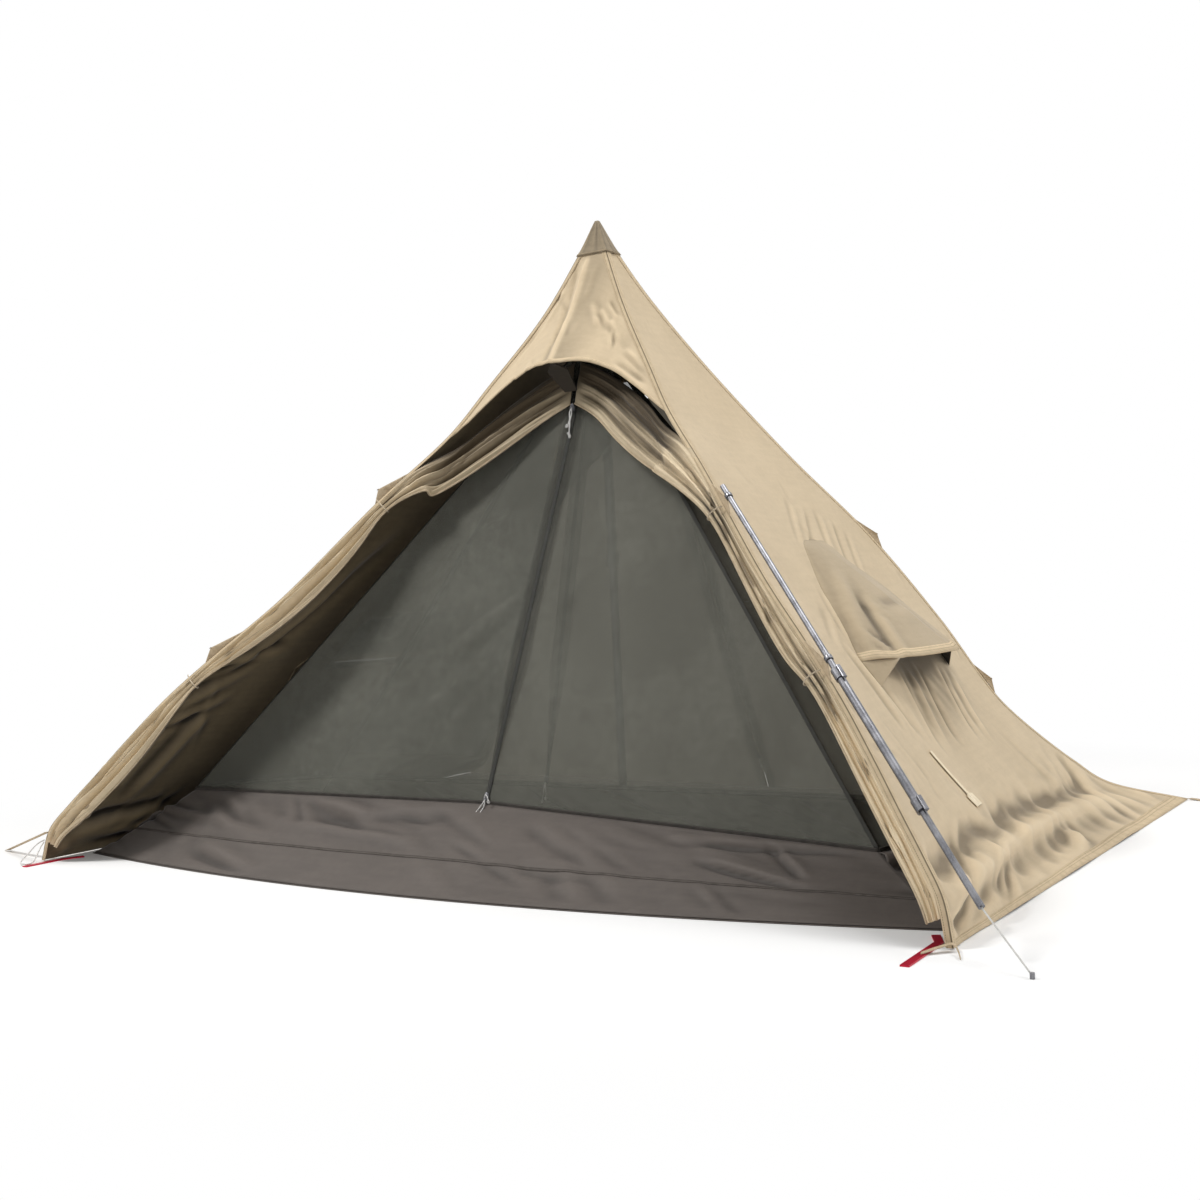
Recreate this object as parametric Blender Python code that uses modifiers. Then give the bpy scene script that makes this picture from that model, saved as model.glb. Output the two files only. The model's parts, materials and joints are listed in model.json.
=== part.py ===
"""Pyramid tent: a four-sided fly over a half-depth net inner tent.

Metres, +Z up. The tent faces -Y, its left is -X, and its floor lies on Z = 0.
The origin is on the floor, below the peak.
"""

import math

import bmesh
import bpy
from mathutils import Matrix, Vector

# Overall size of the fly
WIDTH = 2.400
DEPTH = 1.744
HEIGHT = 1.573
HALF_WIDTH = WIDTH / 2
HALF_DEPTH = DEPTH / 2

# Cloth, webbing and clearances
CLOTH = 0.0020
DOOR_CLOTH = 0.0015
NET = 0.0010
FLOOR_SHEET = 0.0015
WEBBING = 0.0012
SEAM_GAP = 0.0004
TOUCH_GAP = 0.0005
JOIN_GAP = 0.000005
RUNNING_GAP = 0.0004
HEM_LIFT = CLOTH + SEAM_GAP
SEAM_SETBACK = 0.0035
MITRE_LIMIT_SHARE = 0.3
HIDDEN_SETBACK = 0.0160
TAPE_WALL_WIDTH = 0.0180
TAPE_END_WIDTH = 0.0120

# Height levels of the fly's rows, as shares of the height, from the cap to the hem
LEVEL_SHARES = (
    0.944, 0.870, 0.790, 0.710, 0.655, 0.600, 0.555, 0.500, 0.430, 0.365,
    0.315, 0.285, 0.250, 0.200, 0.150, 0.100, 0.060, 0.030, 0.000,
)
CAP_LEVEL_SHARES = (0.928, 0.960, 0.990)
CAP_EASE = 0.0026
LIP_END_SHARE = 0.655
FLUSH_SHARE = 0.600

# How far out the ridges reach, as (height share, reach share) pairs
FRONT_RIDGE_SHARES = (
    (1.000, 0.002), (0.944, 0.034), (0.842, 0.104), (0.731, 0.204), (0.655, 0.275),
    (0.559, 0.395), (0.404, 0.573), (0.311, 0.700), (0.252, 0.776), (0.184, 0.850),
    (0.133, 0.902), (0.087, 0.950), (0.050, 0.984), (0.000, 1.000),
)
BACK_RIDGE_SHARES = (
    (1.000, 0.002), (0.944, 0.034), (0.868, 0.086), (0.770, 0.165), (0.678, 0.246),
    (0.588, 0.330), (0.467, 0.451), (0.318, 0.573), (0.228, 0.636), (0.179, 0.674),
    (0.130, 0.727), (0.071, 0.803), (0.032, 0.868), (0.000, 1.000),
)

# Side walls: columns between the two ridges, inward sag and the vent hole in the grid
WALL_COLUMN_SHARES = (0.0, 0.12, 0.24, 0.36, 0.48, 0.60, 0.72, 0.86, 1.0)
WALL_SAG_SHARE = 0.020
SAG_FADE_SHARE = 0.300
VENT_COLUMNS = (4, 7)
VENT_ROWS = (9, 11)
VENT_SEAM = 0.0006

# Hood panels over the front and the back
HOOD_COLUMN_SHARES = (-1.0, -0.66, -0.33, 0.0, 0.33, 0.66, 1.0)
LIP_TOP_SHARE = 0.752
LIP_ARCH_POWER = 3.6
FRONT_BROW_PUSH = 0.071
REAR_BROW_PUSH = 0.060
BROW_BOW_POWER = 1.3

# Rear panels: the straight line of the zip, and where it tucks under the brow
REAR_COLUMN_SHARES = (0.0, 0.25, 0.5, 0.75, 1.0)
REAR_TOP_SHARE = 0.715
ZIP_TOP_HEIGHT_SHARE = 0.5912
ZIP_TOP_REACH_SHARE = 0.4083
REAR_HEM_REACH_SHARE = 0.9346
REAR_TUCK_REACH_SHARE = 0.1950
HIDDEN_RECESS = 0.014
ZIP_HALF_GAP = 0.0012
FLAP_HALF_WIDTH = 0.026
FLAP_TOP_SHARE = 0.555
FLAP_BOTTOM_SHARE = 0.030
REAR_SLIDER_SHARE = 0.060

# Door leaves: attached edge and free edge of the upper band as shares of the half width, the half
# depth and the height, then widths along the ridge
LEAF_BAND_SHARES = (
    ((0.0075, -0.1353, 0.7629), (0.0057, -0.1743, 0.6923)),
    ((0.0708, -0.1514, 0.7406), (0.0667, -0.1972, 0.6675)),
    ((0.1417, -0.1778, 0.7088), (0.1367, -0.2546, 0.6262)),
    ((0.2042, -0.2133, 0.6726), (0.2167, -0.3073, 0.5849)),
    ((0.2567, -0.2615, 0.6389), (0.2850, -0.3498, 0.5575)),
)
LEAF_FIRST_LEVEL = 5
LEAF_WIDTHS_LEFT = (
    0.098, 0.047, 0.080, 0.092, 0.080, 0.056, 0.045, 0.066, 0.088, 0.092, 0.084, 0.062, 0.046,
)
LEAF_SWELLS_LEFT = (
    0.009, 0.006, 0.014, 0.018, 0.015, 0.008, 0.006, 0.012, 0.018, 0.020, 0.018, 0.013, 0.009,
)
LEAF_WIDTHS_RIGHT = (
    0.104, 0.070, 0.040, 0.040, 0.048, 0.052, 0.041, 0.040, 0.042, 0.042, 0.041, 0.040, 0.038,
)
LEAF_SWELLS_RIGHT = (
    0.009, 0.008, 0.005, 0.005, 0.006, 0.006, 0.005, 0.005, 0.005, 0.004, 0.004, 0.003, 0.003,
)
LEAF_BAND_SWELLS = (0.0, 0.006, 0.010, 0.011, 0.010)
LEAF_PLEATS = 2.5
LEAF_PLEAT_STEPS = 15
LEAF_SIDE_SET = 0.004

# Ties round the door leaves
TIE_LEVELS_LEFT = (6, 11)
TIE_LEVELS_RIGHT = (7, 11)
TIE_CORD = 0.0030
TIE_CLEAR = 0.0032
TIE_SHARES = (
    (0.12, 0.9), (0.45, 1.25), (0.90, 1.0), (1.12, 0.3),
    (1.12, -0.3), (0.90, -1.0), (0.45, -1.25), (0.2, -1.2),
)

# Pull-out tabs on the ridges
TAB_SPREAD_SHARE = 0.026
TAB_FRONT_SHARES = (0.575, 0.330)
TAB_BACK_SHARES = (0.467, 0.218)
TAB_REACH = 0.036
TAB_ROOT = 0.0008
TAB_THICKNESS = 0.0016

# Side hoods
SIDE_HOOD_LEVEL_SHARES = (0.458, 0.430, 0.365, 0.315, 0.285)
SIDE_HOOD_LOW_SHARE = 0.250
SIDE_HOOD_CENTRE_Y = 0.000
SIDE_HOOD_TOP_HALF = 0.070
SIDE_HOOD_LIP_HALF = 0.330
SIDE_HOOD_REACH = 0.140
SIDE_HOOD_SEAM = 0.0012
SIDE_HOOD_COLUMN_SHARES = (-1.0, -0.74, -0.4, 0.0, 0.4, 0.74, 1.0)
SIDE_HOOD_PUSH_SHARES = (0.0, 0.48, 0.82, 1.0, 0.82, 0.48, 0.0)

# Strap and patch on the right wall
WALL_STRAP_ROUTE_SHARES = ((-0.375, 0.165), (-0.366, 0.140), (-0.357, 0.116), (-0.355, 0.110), (-0.345, 0.094))
WALL_STRAP_WIDTHS = (0.008, 0.008, 0.008, 0.030, 0.030)

# Centre pole: its shoulder and tip are set below the fly's peak, its collar is a share of the height
POLE_SHOULDER_SET = 0.1330
POLE_TIP_SET = 0.0108
POLE_COLLAR_SHARE = 0.8023
POLE_LOWER_RADIUS = 0.0105
POLE_UPPER_RADIUS = 0.0125
POLE_WALL = 0.0014
POLE_FOOT_RADIUS = 0.0170
POLE_FOOT_HEIGHT = 0.0280
POLE_LOWER_TOP = 0.820
POLE_UPPER_BOTTOM = 0.680
POLE_UPPER_TOP = HEIGHT - POLE_SHOULDER_SET
POLE_TIP_TOP = HEIGHT - POLE_TIP_SET
POLE_TIP_RADIUS = 0.0050
POLE_COLLAR_Z = HEIGHT * POLE_COLLAR_SHARE
POLE_COLLAR_HEIGHT = 0.010
POLE_COLLAR_RADIUS = 0.0180
POLE_LOCK_HEIGHT = 0.034
POLE_LOCK_RADIUS = 0.0170
POLE_SIDES = 20
HANGER_RADIUS = 0.062
HANGER_THICKNESS = 0.003

# Inner tent
PEAK_Y = -0.045
PEAK_SET = 0.0002
PEAK_Z = POLE_COLLAR_Z - PEAK_SET
PEAK_HALF = 0.0060
INNER_FRONT_Y = -0.575
INNER_CORNER_Y = -0.580
INNER_HALF_WIDTH = 0.950
INNER_BACK_Y = -0.100
INNER_BACK_HALF_WIDTH = 0.920
BINDING_Z = 0.152
BINDING_RIGHT_Z = 0.099
BINDING_BACK_Z = 0.125
BINDING_SIDE_BULGE = 0.060
BACK_ZIP_X = -0.170
INNER_SETBACK = 0.0022
INNER_ROW_SHARES = (0.0, 0.2, 0.4, 0.6, 0.8, 1.0)

# Tub floor
FLOOR_FRONT_HALF = 1.165
FLOOR_BACK_HALF = 1.110
FLOOR_CORNER_Y = -0.745
FLOOR_FRONT_BULGE = 0.138
FLOOR_BACK_Y = -0.032
FLOOR_STEPS = 12
SEAM_SHARE = 0.42
TUB_SLUMP = 0.006

# Ridge pole: its top stands off the ridge, and it aims at a point beyond the corner
RIDGE_POLE_TOP_SHARE = 0.5301
RIDGE_POLE_STAND_OFF = 0.0413
RIDGE_POLE_FOOT_BEYOND = 0.1776
RIDGE_POLE_FOOT_Z = 0.0120
RIDGE_POLE_UPPER_LENGTH = 0.5930
RIDGE_POLE_TWO_TUBE_LENGTH = 0.9550
RIDGE_POLE_END_LENGTH = 0.2100
RIDGE_POLE_FULL_LENGTH = RIDGE_POLE_TWO_TUBE_LENGTH + RIDGE_POLE_END_LENGTH
RIDGE_POLE_INSERT = 0.050
RIDGE_POLE_THIN_RADIUS = 0.0062
RIDGE_POLE_MID_RADIUS = 0.0082
RIDGE_POLE_MID_BORE = 0.0067
LOCK_RADIUS = 0.0105
LOCK_LENGTH = 0.026
LEVER_LENGTH = 0.034
LEVER_WIDTH = 0.009
LEVER_THICKNESS = 0.004
LEVER_EDGE = 0.001
RIDGE_POLE_SIDES = 16

# Rings of the front right ridge tape that hold the ridge pole
RING_WALL = 0.0016
RING_WIDTH = 0.012
UPPER_RING_PLACE = 0.0300
LOWER_RING_PLACE = 0.5550

# Guy line and pegs
GUY_RADIUS = 0.0015
GUY_STEPS = 4
GUY_PEG_OFFSET = (0.1720, -0.1240)
GUY_PEG_RADIUS = 0.004
GUY_PEG_HEIGHT = 0.010
PEG_THICKNESS = 0.003
PEG_WIDTH = 0.016
PEG_OFFSETS_LEFT = ((-0.0600, 0.0800), (-0.0370, 0.0340), (-0.0330, -0.0760))
PEG_OFFSETS_RIGHT = ((-0.0600, 0.0800), (-0.0370, 0.0340), (-0.0320, -0.1330))
CORNER_STRAP_WIDTH = 0.016
DRAPED_STRAP_ACROSS_SHARES = (0.35, -1.0)
STRAP_FRONT_LEFT = ((0.0149, 0.0100, 0.0740), (-0.1200, 0.0370, 0.0350), (-0.2400, 0.0700, 0.0015))
STRAP_FRONT_RIGHT = ((-0.0360, -0.0520, 0.0037), (-0.0150, -0.0280, 0.0100), (0.0031, -0.0074, 0.0130),
                     (0.0200, -0.0300, 0.0090), (0.0340, -0.0560, 0.0012))
STRAP_BACK = ((0.0045, 0.0020, 0.0040), (0.0230, -0.0030, 0.0030), (0.0420, -0.0160, 0.0012))
LOOP_CORD = 0.0032
LOOP_FRONT_LEFT = ((0.0062, 0.0047, 0.0530), (-0.0060, -0.0080, 0.0440), (-0.0130, -0.0280, 0.0250),
                   (-0.0110, -0.0500, 0.0100), (0.0020, -0.0640, 0.0053), (0.0180, -0.0680, 0.0053),
                   (0.0310, -0.0620, 0.0053), (0.0310, -0.0480, 0.0090), (0.0200, -0.0280, 0.0230),
                   (0.0100, -0.0100, 0.0370), (0.0052, 0.0039, 0.0478))

# Zip sliders and brow props
SLIDER_WIDTH = 0.012
SLIDER_LENGTH = 0.018
SLIDER_THICKNESS = 0.006
PULL_LENGTH = 0.082
PULL_WIDTH = 0.005
PULL_THICKNESS = 0.003
TAIL_LENGTH = 0.060
PULL_TILT_DEGREES = 15.5
PROP_NECK = 0.016
PROP_SHOULDER = 0.020
PROP_WIDTH = 0.060
PROP_END_WIDTH = 0.036
PROP_LENGTH = 0.092
PROP_THICKNESS = 0.004
PROP_BARREL_RADIUS = 0.0028
PROP_TILT_DEGREES = 40
FRONT_PROP_SET = 0.0060
REAR_PROP_SET = 0.0055
PROP_DROP = 0.0036

SHARP_DEGREES = 35
PARTS = "Pyramid tent"
CUTTERS = "Cutters"


def clear_scene():
    """Remove what the start-up scene holds."""
    for item in list(bpy.data.objects):
        bpy.data.objects.remove(item, do_unlink=True)


def collection(name):
    """Return the collection of that name, made at its first use."""
    found = bpy.data.collections.get(name)
    if found is None:
        found = bpy.data.collections.new(name)
        bpy.context.scene.collection.children.link(found)
    return found


def material(name, colour, roughness, metallic=0.0):
    """Return a Principled material with a plain colour."""
    found = bpy.data.materials.get(name)
    if found is not None:
        return found
    made = bpy.data.materials.new(name)
    made.use_nodes = True
    shader = made.node_tree.nodes["Principled BSDF"]
    shader.inputs["Base Color"].default_value = (*colour, 1.0)
    shader.inputs["Roughness"].default_value = roughness
    shader.inputs["Metallic"].default_value = metallic
    return made


def fly_cloth():
    return material("tan fly cloth", (0.62, 0.50, 0.33), 0.75)


def door_cloth():
    return material("tan door cloth", (0.66, 0.54, 0.37), 0.75)


def tape_cloth():
    return material("tan seam tape", (0.50, 0.40, 0.26), 0.8)


def net_cloth():
    return material("grey net", (0.13, 0.13, 0.12), 0.9)


def tub_cloth():
    return material("taupe tub cloth", (0.14, 0.12, 0.10), 0.7)


def silver():
    return material("bare aluminium", (0.80, 0.80, 0.82), 0.3, 1.0)


def black_plastic():
    return material("black plastic", (0.03, 0.03, 0.03), 0.5)


def white_cord():
    return material("white cord", (0.75, 0.74, 0.70), 0.8)


def red_paint():
    return material("red anodised metal", (0.50, 0.0, 0.03), 0.4, 0.6)


def spline_value(table, position):
    """Read a smooth curve through (position, value) pairs that fall in position."""
    if position >= table[0][0]:
        return table[0][1]
    if position <= table[-1][0]:
        return table[-1][1]
    index = 0
    while table[index + 1][0] > position:
        index += 1
    start, end = table[index], table[index + 1]
    before = table[index - 1] if index > 0 else start
    after = table[index + 2] if index + 2 < len(table) else end
    span = end[0] - start[0]
    slope_in = (end[1] - before[1]) / (end[0] - before[0])
    slope_out = (after[1] - start[1]) / (after[0] - start[0])
    t = (position - start[0]) / span
    return (
        (2 * t**3 - 3 * t**2 + 1) * start[1]
        + (t**3 - 2 * t**2 + t) * span * slope_in
        + (3 * t**2 - 2 * t**3) * end[1]
        + (t**3 - t**2) * span * slope_out
    )


def level_height(level):
    """Height of a level: the hem sits one cloth thickness above the ground."""
    return HEM_LIFT + (HEIGHT - HEM_LIFT) * level


def ridge_point(side, end, level):
    """Point on a ridge: side -1 left or 1 right, end -1 front or 1 back."""
    reach = spline_value(FRONT_RIDGE_SHARES if end < 0 else BACK_RIDGE_SHARES, level)
    return Vector((side * HALF_WIDTH * reach, end * HALF_DEPTH * reach, level_height(level)))


def ridge_tangent(side, end, row):
    """Direction down a ridge at a row of the level table."""
    above = LEVEL_SHARES[max(row - 1, 0)]
    below = LEVEL_SHARES[min(row + 1, len(LEVEL_SHARES) - 1)]
    return (ridge_point(side, end, below) - ridge_point(side, end, above)).normalized()


def rear_line(level):
    """Point on the rear centre line, straight along the zip and tucked in above it."""
    z = level_height(level)
    zip_top = HEIGHT * ZIP_TOP_HEIGHT_SHARE
    if z <= zip_top:
        reach = REAR_HEM_REACH_SHARE + (ZIP_TOP_REACH_SHARE - REAR_HEM_REACH_SHARE) * z / zip_top
        return Vector((0, HALF_DEPTH * reach, z))
    share = (z - zip_top) / (level_height(REAR_TOP_SHARE) - zip_top)
    reach = ZIP_TOP_REACH_SHARE + (REAR_TUCK_REACH_SHARE - ZIP_TOP_REACH_SHARE) * share
    return Vector((0, HALF_DEPTH * reach, z))


def wall_direction(side, end, level):
    """Direction from a ridge across the side wall."""
    return (ridge_point(side, -end, level) - ridge_point(side, end, level)).normalized()


def end_direction(side, end, level):
    """Direction from a ridge across the front or the back."""
    if end > 0 and level < LIP_END_SHARE:
        return (rear_line(level) - ridge_point(side, end, level)).normalized()
    return Vector((-side, 0, 0))


def outward(normal, guide):
    """Return the normal on the side that the guide points to."""
    return normal if normal.dot(guide) > 0 else -normal


def ridge_normals(side, end, row):
    """Outward normals of the two faces that meet at a ridge."""
    level = LEVEL_SHARES[row]
    tangent = ridge_tangent(side, end, row)
    up = Vector((0, 0, 1))
    wall = tangent.cross(wall_direction(side, end, level)).normalized()
    face = tangent.cross(end_direction(side, end, level)).normalized()
    return outward(wall, Vector((side, 0, 0)) + up), outward(face, Vector((0, end, 0)) + up)


def new_object(name, mesh, look):
    """Link a mesh object to the parts, with its material."""
    made = bpy.data.objects.new(name, mesh)
    collection(PARTS).objects.link(made)
    made.data.materials.append(look)
    return made


def grid_mesh(name, rows, hole=None, extra=()):
    """Build an open sheet from rows of points, with an optional hole and extra triangles.

    Each four-sided cell is split along its shorter diagonal, so neighbouring sheets fold alike.
    The hole is given as first and last row and first and last column of points.
    An extra triangle is two (row, column) points and a third point of its own.
    """
    vertices = [point for row in rows for point in row]
    width = len(rows[0])
    faces = []
    for i in range(len(rows) - 1):
        for j in range(width - 1):
            if hole and hole[0] <= i < hole[1] and hole[2] <= j < hole[3]:
                continue
            here, right = i * width + j, i * width + j + 1
            below, across = here + width, right + width
            falling = (rows[i][j] - rows[i + 1][j + 1]).length
            rising = (rows[i][j + 1] - rows[i + 1][j]).length
            if falling <= rising + JOIN_GAP:
                faces += [(here, right, across), (here, across, below)]
            else:
                faces += [(here, right, below), (right, across, below)]
    for first, second, point in extra:
        vertices.append(point)
        faces.append((first[0] * width + first[1], second[0] * width + second[1], len(vertices) - 1))
    mesh = bpy.data.meshes.new(name)
    mesh.from_pydata([tuple(point) for point in vertices], [], faces)
    shape = bmesh.new()
    shape.from_mesh(mesh)
    loose = [vertex for vertex in shape.verts if not vertex.link_faces]
    bmesh.ops.delete(shape, geom=loose, context="VERTS")
    bmesh.ops.recalc_face_normals(shape, faces=shape.faces)
    shape.to_mesh(mesh)
    shape.free()
    return mesh


def mean_normal_along(mesh, guide):
    """Sum of face normals, measured along a guide direction."""
    return sum(face.normal.dot(guide) * face.area for face in mesh.polygons)


def sheet(name, rows, thickness, guide, look, inward=True, hole=None, extra=()):
    """Make a thin shell from rows of points; guide points out of the tent."""
    mesh = grid_mesh(name, rows, hole, extra)
    if mean_normal_along(mesh, guide) < 0:
        mesh.flip_normals()
    made = new_object(name, mesh, look)
    solid = made.modifiers.new("Thickness", "SOLIDIFY")
    solid.thickness = thickness
    solid.offset = -1.0 if inward else 1.0
    solid.use_even_offset = True
    return made


def evaluated_mesh(source, name):
    """Return the object's evaluated mesh, in world space, with coincident points joined."""
    bpy.context.view_layer.update()
    graph = bpy.context.evaluated_depsgraph_get()
    mesh = bpy.data.meshes.new_from_object(source.evaluated_get(graph))
    mesh.transform(source.matrix_world)
    mesh.name = name
    shape = bmesh.new()
    shape.from_mesh(mesh)
    bmesh.ops.remove_doubles(shape, verts=shape.verts, dist=JOIN_GAP)
    shape.to_mesh(mesh)
    shape.free()
    return mesh


def fixed_copy(source, look):
    """Replace an object by its evaluated mesh, with the name kept."""
    name = source.name
    mesh = evaluated_mesh(source, name)
    bpy.data.objects.remove(source, do_unlink=True)
    made = bpy.data.objects.new(name, mesh)
    collection(PARTS).objects.link(made)
    mesh.materials.clear()
    mesh.materials.append(look)
    return made


def helper_object(name, mesh):
    """Link a hidden wire object that cuts or joins a part."""
    made = bpy.data.objects.new(name, mesh)
    collection(CUTTERS).objects.link(made)
    made.hide_render = True
    made.display_type = "WIRE"
    return made


def combine(target, helper, operation):
    """Add a Boolean of the helper to the target."""
    step = target.modifiers.new(operation.title(), "BOOLEAN")
    step.operation = operation
    step.object = helper
    step.solver = "EXACT"


def tube_curve(name, points, radius, look, resolution=2, cyclic=False):
    """Make a round cord or rod along points."""
    curve = bpy.data.curves.new(name, "CURVE")
    curve.dimensions = "3D"
    curve.bevel_depth = radius
    curve.bevel_resolution = resolution
    curve.use_fill_caps = not cyclic
    spline = curve.splines.new("POLY")
    spline.points.add(len(points) - 1)
    for target, point in zip(spline.points, points):
        target.co = (*point, 1.0)
    spline.use_cyclic_u = cyclic
    made = bpy.data.objects.new(name, curve)
    collection(PARTS).objects.link(made)
    curve.materials.append(look)
    return made


def turned(name, profile, sides, look, place=None):
    """Turn an (radius, height) outline, listed top to bottom, about its Z axis."""
    mesh = bpy.data.meshes.new(name)
    points = [(radius, 0, height) for radius, height in profile]
    mesh.from_pydata(points, [(i, i + 1) for i in range(len(points) - 1)], [])
    made = new_object(name, mesh, look)
    screw = made.modifiers.new("Turn", "SCREW")
    screw.steps = sides
    screw.render_steps = sides
    screw.use_merge_vertices = True
    screw.merge_threshold = JOIN_GAP
    made = fixed_copy(made, look)
    shade_round(made.data)
    if place is not None:
        made.matrix_world = place
    return made


def shade_round(mesh):
    """Shade a round piece smooth, with its rims kept sharp."""
    mesh.shade_smooth()
    mesh.set_sharp_from_angle(angle=math.radians(SHARP_DEGREES))


def box_mesh(name, low, high):
    """Return a box between two corners."""
    shape = bmesh.new()
    bmesh.ops.create_cube(shape, size=1)
    for vertex in shape.verts:
        vertex.co = Vector(
            (high[axis] if vertex.co[axis] > 0 else low[axis]) for axis in range(3)
        )
    mesh = bpy.data.meshes.new(name)
    shape.to_mesh(mesh)
    shape.free()
    return mesh


def ribbon(name, points, widths, across, thickness, look, normal):
    """Make a flat strap along points, each row laid out along the across direction."""
    rows = [
        (Vector(point) - across * width / 2, Vector(point) + across * width / 2)
        for point, width in zip(points, widths)
    ]
    return sheet(name, rows, thickness, normal, look, inward=False)


def wall_row(side, row):
    """Points of a side wall at one level, from the front ridge to the back ridge."""
    level = LEVEL_SHARES[row]
    front = ridge_point(side, -1, level)
    back = ridge_point(side, 1, level)
    span = (back - front).length
    along = (back - front).normalized()
    fade = min(level / SAG_FADE_SHARE, 1.0)
    inner_span = span - 2 * TAPE_WALL_WIDTH
    points = [front + along * SEAM_SETBACK]
    for share in WALL_COLUMN_SHARES:
        sag = WALL_SAG_SHARE * span * 4 * share * (1 - share) * fade
        along_part = along * (TAPE_WALL_WIDTH + inner_span * share)
        points.append(front + along_part - Vector((side * sag, 0, 0)))
    points.append(back - along * SEAM_SETBACK)
    return points


def wall_surface(side, y, level):
    """Point on a side wall's grid at a given Y and level."""
    row = 0
    while LEVEL_SHARES[row + 1] > level and row + 2 < len(LEVEL_SHARES):
        row += 1
    share = (LEVEL_SHARES[row] - level) / (LEVEL_SHARES[row] - LEVEL_SHARES[row + 1])
    upper, lower = wall_row(side, row), wall_row(side, row + 1)
    blended = [a.lerp(b, share) for a, b in zip(upper, lower)]
    column = 0
    while blended[column + 1].y < y and column + 2 < len(blended):
        column += 1
    start, end = blended[column], blended[column + 1]
    return start.lerp(end, (y - start.y) / (end.y - start.y))


def wall_normal(side, y, level):
    """Outward normal of a side wall near a point."""
    step = TAPE_WALL_WIDTH
    level_step = step / HEIGHT
    across = wall_surface(side, y + step, level) - wall_surface(side, y - step, level)
    down = wall_surface(side, y, level - level_step) - wall_surface(side, y, level + level_step)
    return outward(across.cross(down).normalized(), Vector((side, 0, 1)))


def make_wall(side, name):
    """Side wall with the vent hole under its hood."""
    rows = [wall_row(side, row) for row in range(len(LEVEL_SHARES))]
    hole = (*VENT_ROWS, *VENT_COLUMNS)
    sheet(name, rows, CLOTH, Vector((side, 0, 1)), fly_cloth(), hole=hole)


def make_vent_net(side, name):
    """Net that closes the vent hole, in the plane of the wall."""
    first, last = VENT_COLUMNS
    rows = [wall_row(side, row)[first:last + 1] for row in range(VENT_ROWS[0], VENT_ROWS[1] + 1)]
    middle = sum((point for row in rows for point in row), Vector()) / (len(rows) * len(rows[0]))
    last_row, last_column = len(rows) - 1, len(rows[0]) - 1
    inset = []
    for i, row in enumerate(rows):
        line = []
        for j, point in enumerate(row):
            moved = point.copy()
            if i in (0, last_row):
                moved += (rows[1][j] - rows[0][j]).normalized() * VENT_SEAM * (1 if i == 0 else -1)
            if j in (0, last_column):
                moved += (row[1] - row[0]).normalized() * VENT_SEAM * (1 if j == 0 else -1)
            line.append(moved)
        inset.append(line)
    sheet(name, inset, NET, middle.normalized(), net_cloth())


def make_side_hood(side, name):
    """Eyelid hood that stands off the side wall, with a gusset at each end of its lip."""
    rows = []
    top, lip = SIDE_HOOD_LEVEL_SHARES[0], SIDE_HOOD_LEVEL_SHARES[-1]
    for level in SIDE_HOOD_LEVEL_SHARES:
        row_share = (top - level) / (top - lip)
        half = SIDE_HOOD_TOP_HALF + (SIDE_HOOD_LIP_HALF - SIDE_HOOD_TOP_HALF) * row_share
        line = []
        for share, push in zip(SIDE_HOOD_COLUMN_SHARES, SIDE_HOOD_PUSH_SHARES):
            y = SIDE_HOOD_CENTRE_Y + half * share
            base = wall_surface(side, y, level) + wall_normal(side, y, level) * SIDE_HOOD_SEAM
            line.append(base + Vector((side * SIDE_HOOD_REACH * push * row_share, 0, 0)))
        rows.append(line)
    last, width = len(rows) - 1, len(rows[0])
    gussets = []
    for share, corner, mouth in ((-1.0, 0, 1), (1.0, width - 1, width - 2)):
        y = SIDE_HOOD_CENTRE_Y + SIDE_HOOD_LIP_HALF * share
        low = wall_surface(side, y, SIDE_HOOD_LOW_SHARE)
        low = low + wall_normal(side, y, SIDE_HOOD_LOW_SHARE) * SIDE_HOOD_SEAM
        gussets.append(((last, corner), (last, mouth), low))
    sheet(name, rows, CLOTH, Vector((side, 0, 1)), fly_cloth(), inward=False, extra=gussets)


def make_hood(end, push, name):
    """Hood panel from the cap to an arched lip that is pushed out at the middle."""
    top = LEVEL_SHARES[0]
    rows = []
    for level in LEVEL_SHARES[: LEVEL_SHARES.index(LIP_END_SHARE) + 1]:
        down = (top - level) / (top - LIP_END_SHARE)
        line = [hood_edge_point(-1, end, level, SEAM_SETBACK)]
        for share in HOOD_COLUMN_SHARES:
            lip = LIP_END_SHARE + (LIP_TOP_SHARE - LIP_END_SHARE) * (1 - abs(share) ** LIP_ARCH_POWER)
            here = top + (lip - top) * down
            reach = spline_value(FRONT_RIDGE_SHARES if end < 0 else BACK_RIDGE_SHARES, here)
            half = HALF_WIDTH * reach - TAPE_END_WIDTH
            bow = push * (1 - abs(share) ** BROW_BOW_POWER) * down**2
            line.append(Vector((share * half, end * (HALF_DEPTH * reach + bow), level_height(here))))
        line.append(hood_edge_point(1, end, level, SEAM_SETBACK))
        rows.append(line)
    sheet(name, rows, CLOTH, Vector((0, end, 1)), fly_cloth())


def hood_edge_point(side, end, level, setback):
    """Point of a hood panel's sewn edge, a little in from the ridge."""
    return ridge_point(side, end, level) + end_direction(side, end, LIP_END_SHARE) * setback


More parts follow.
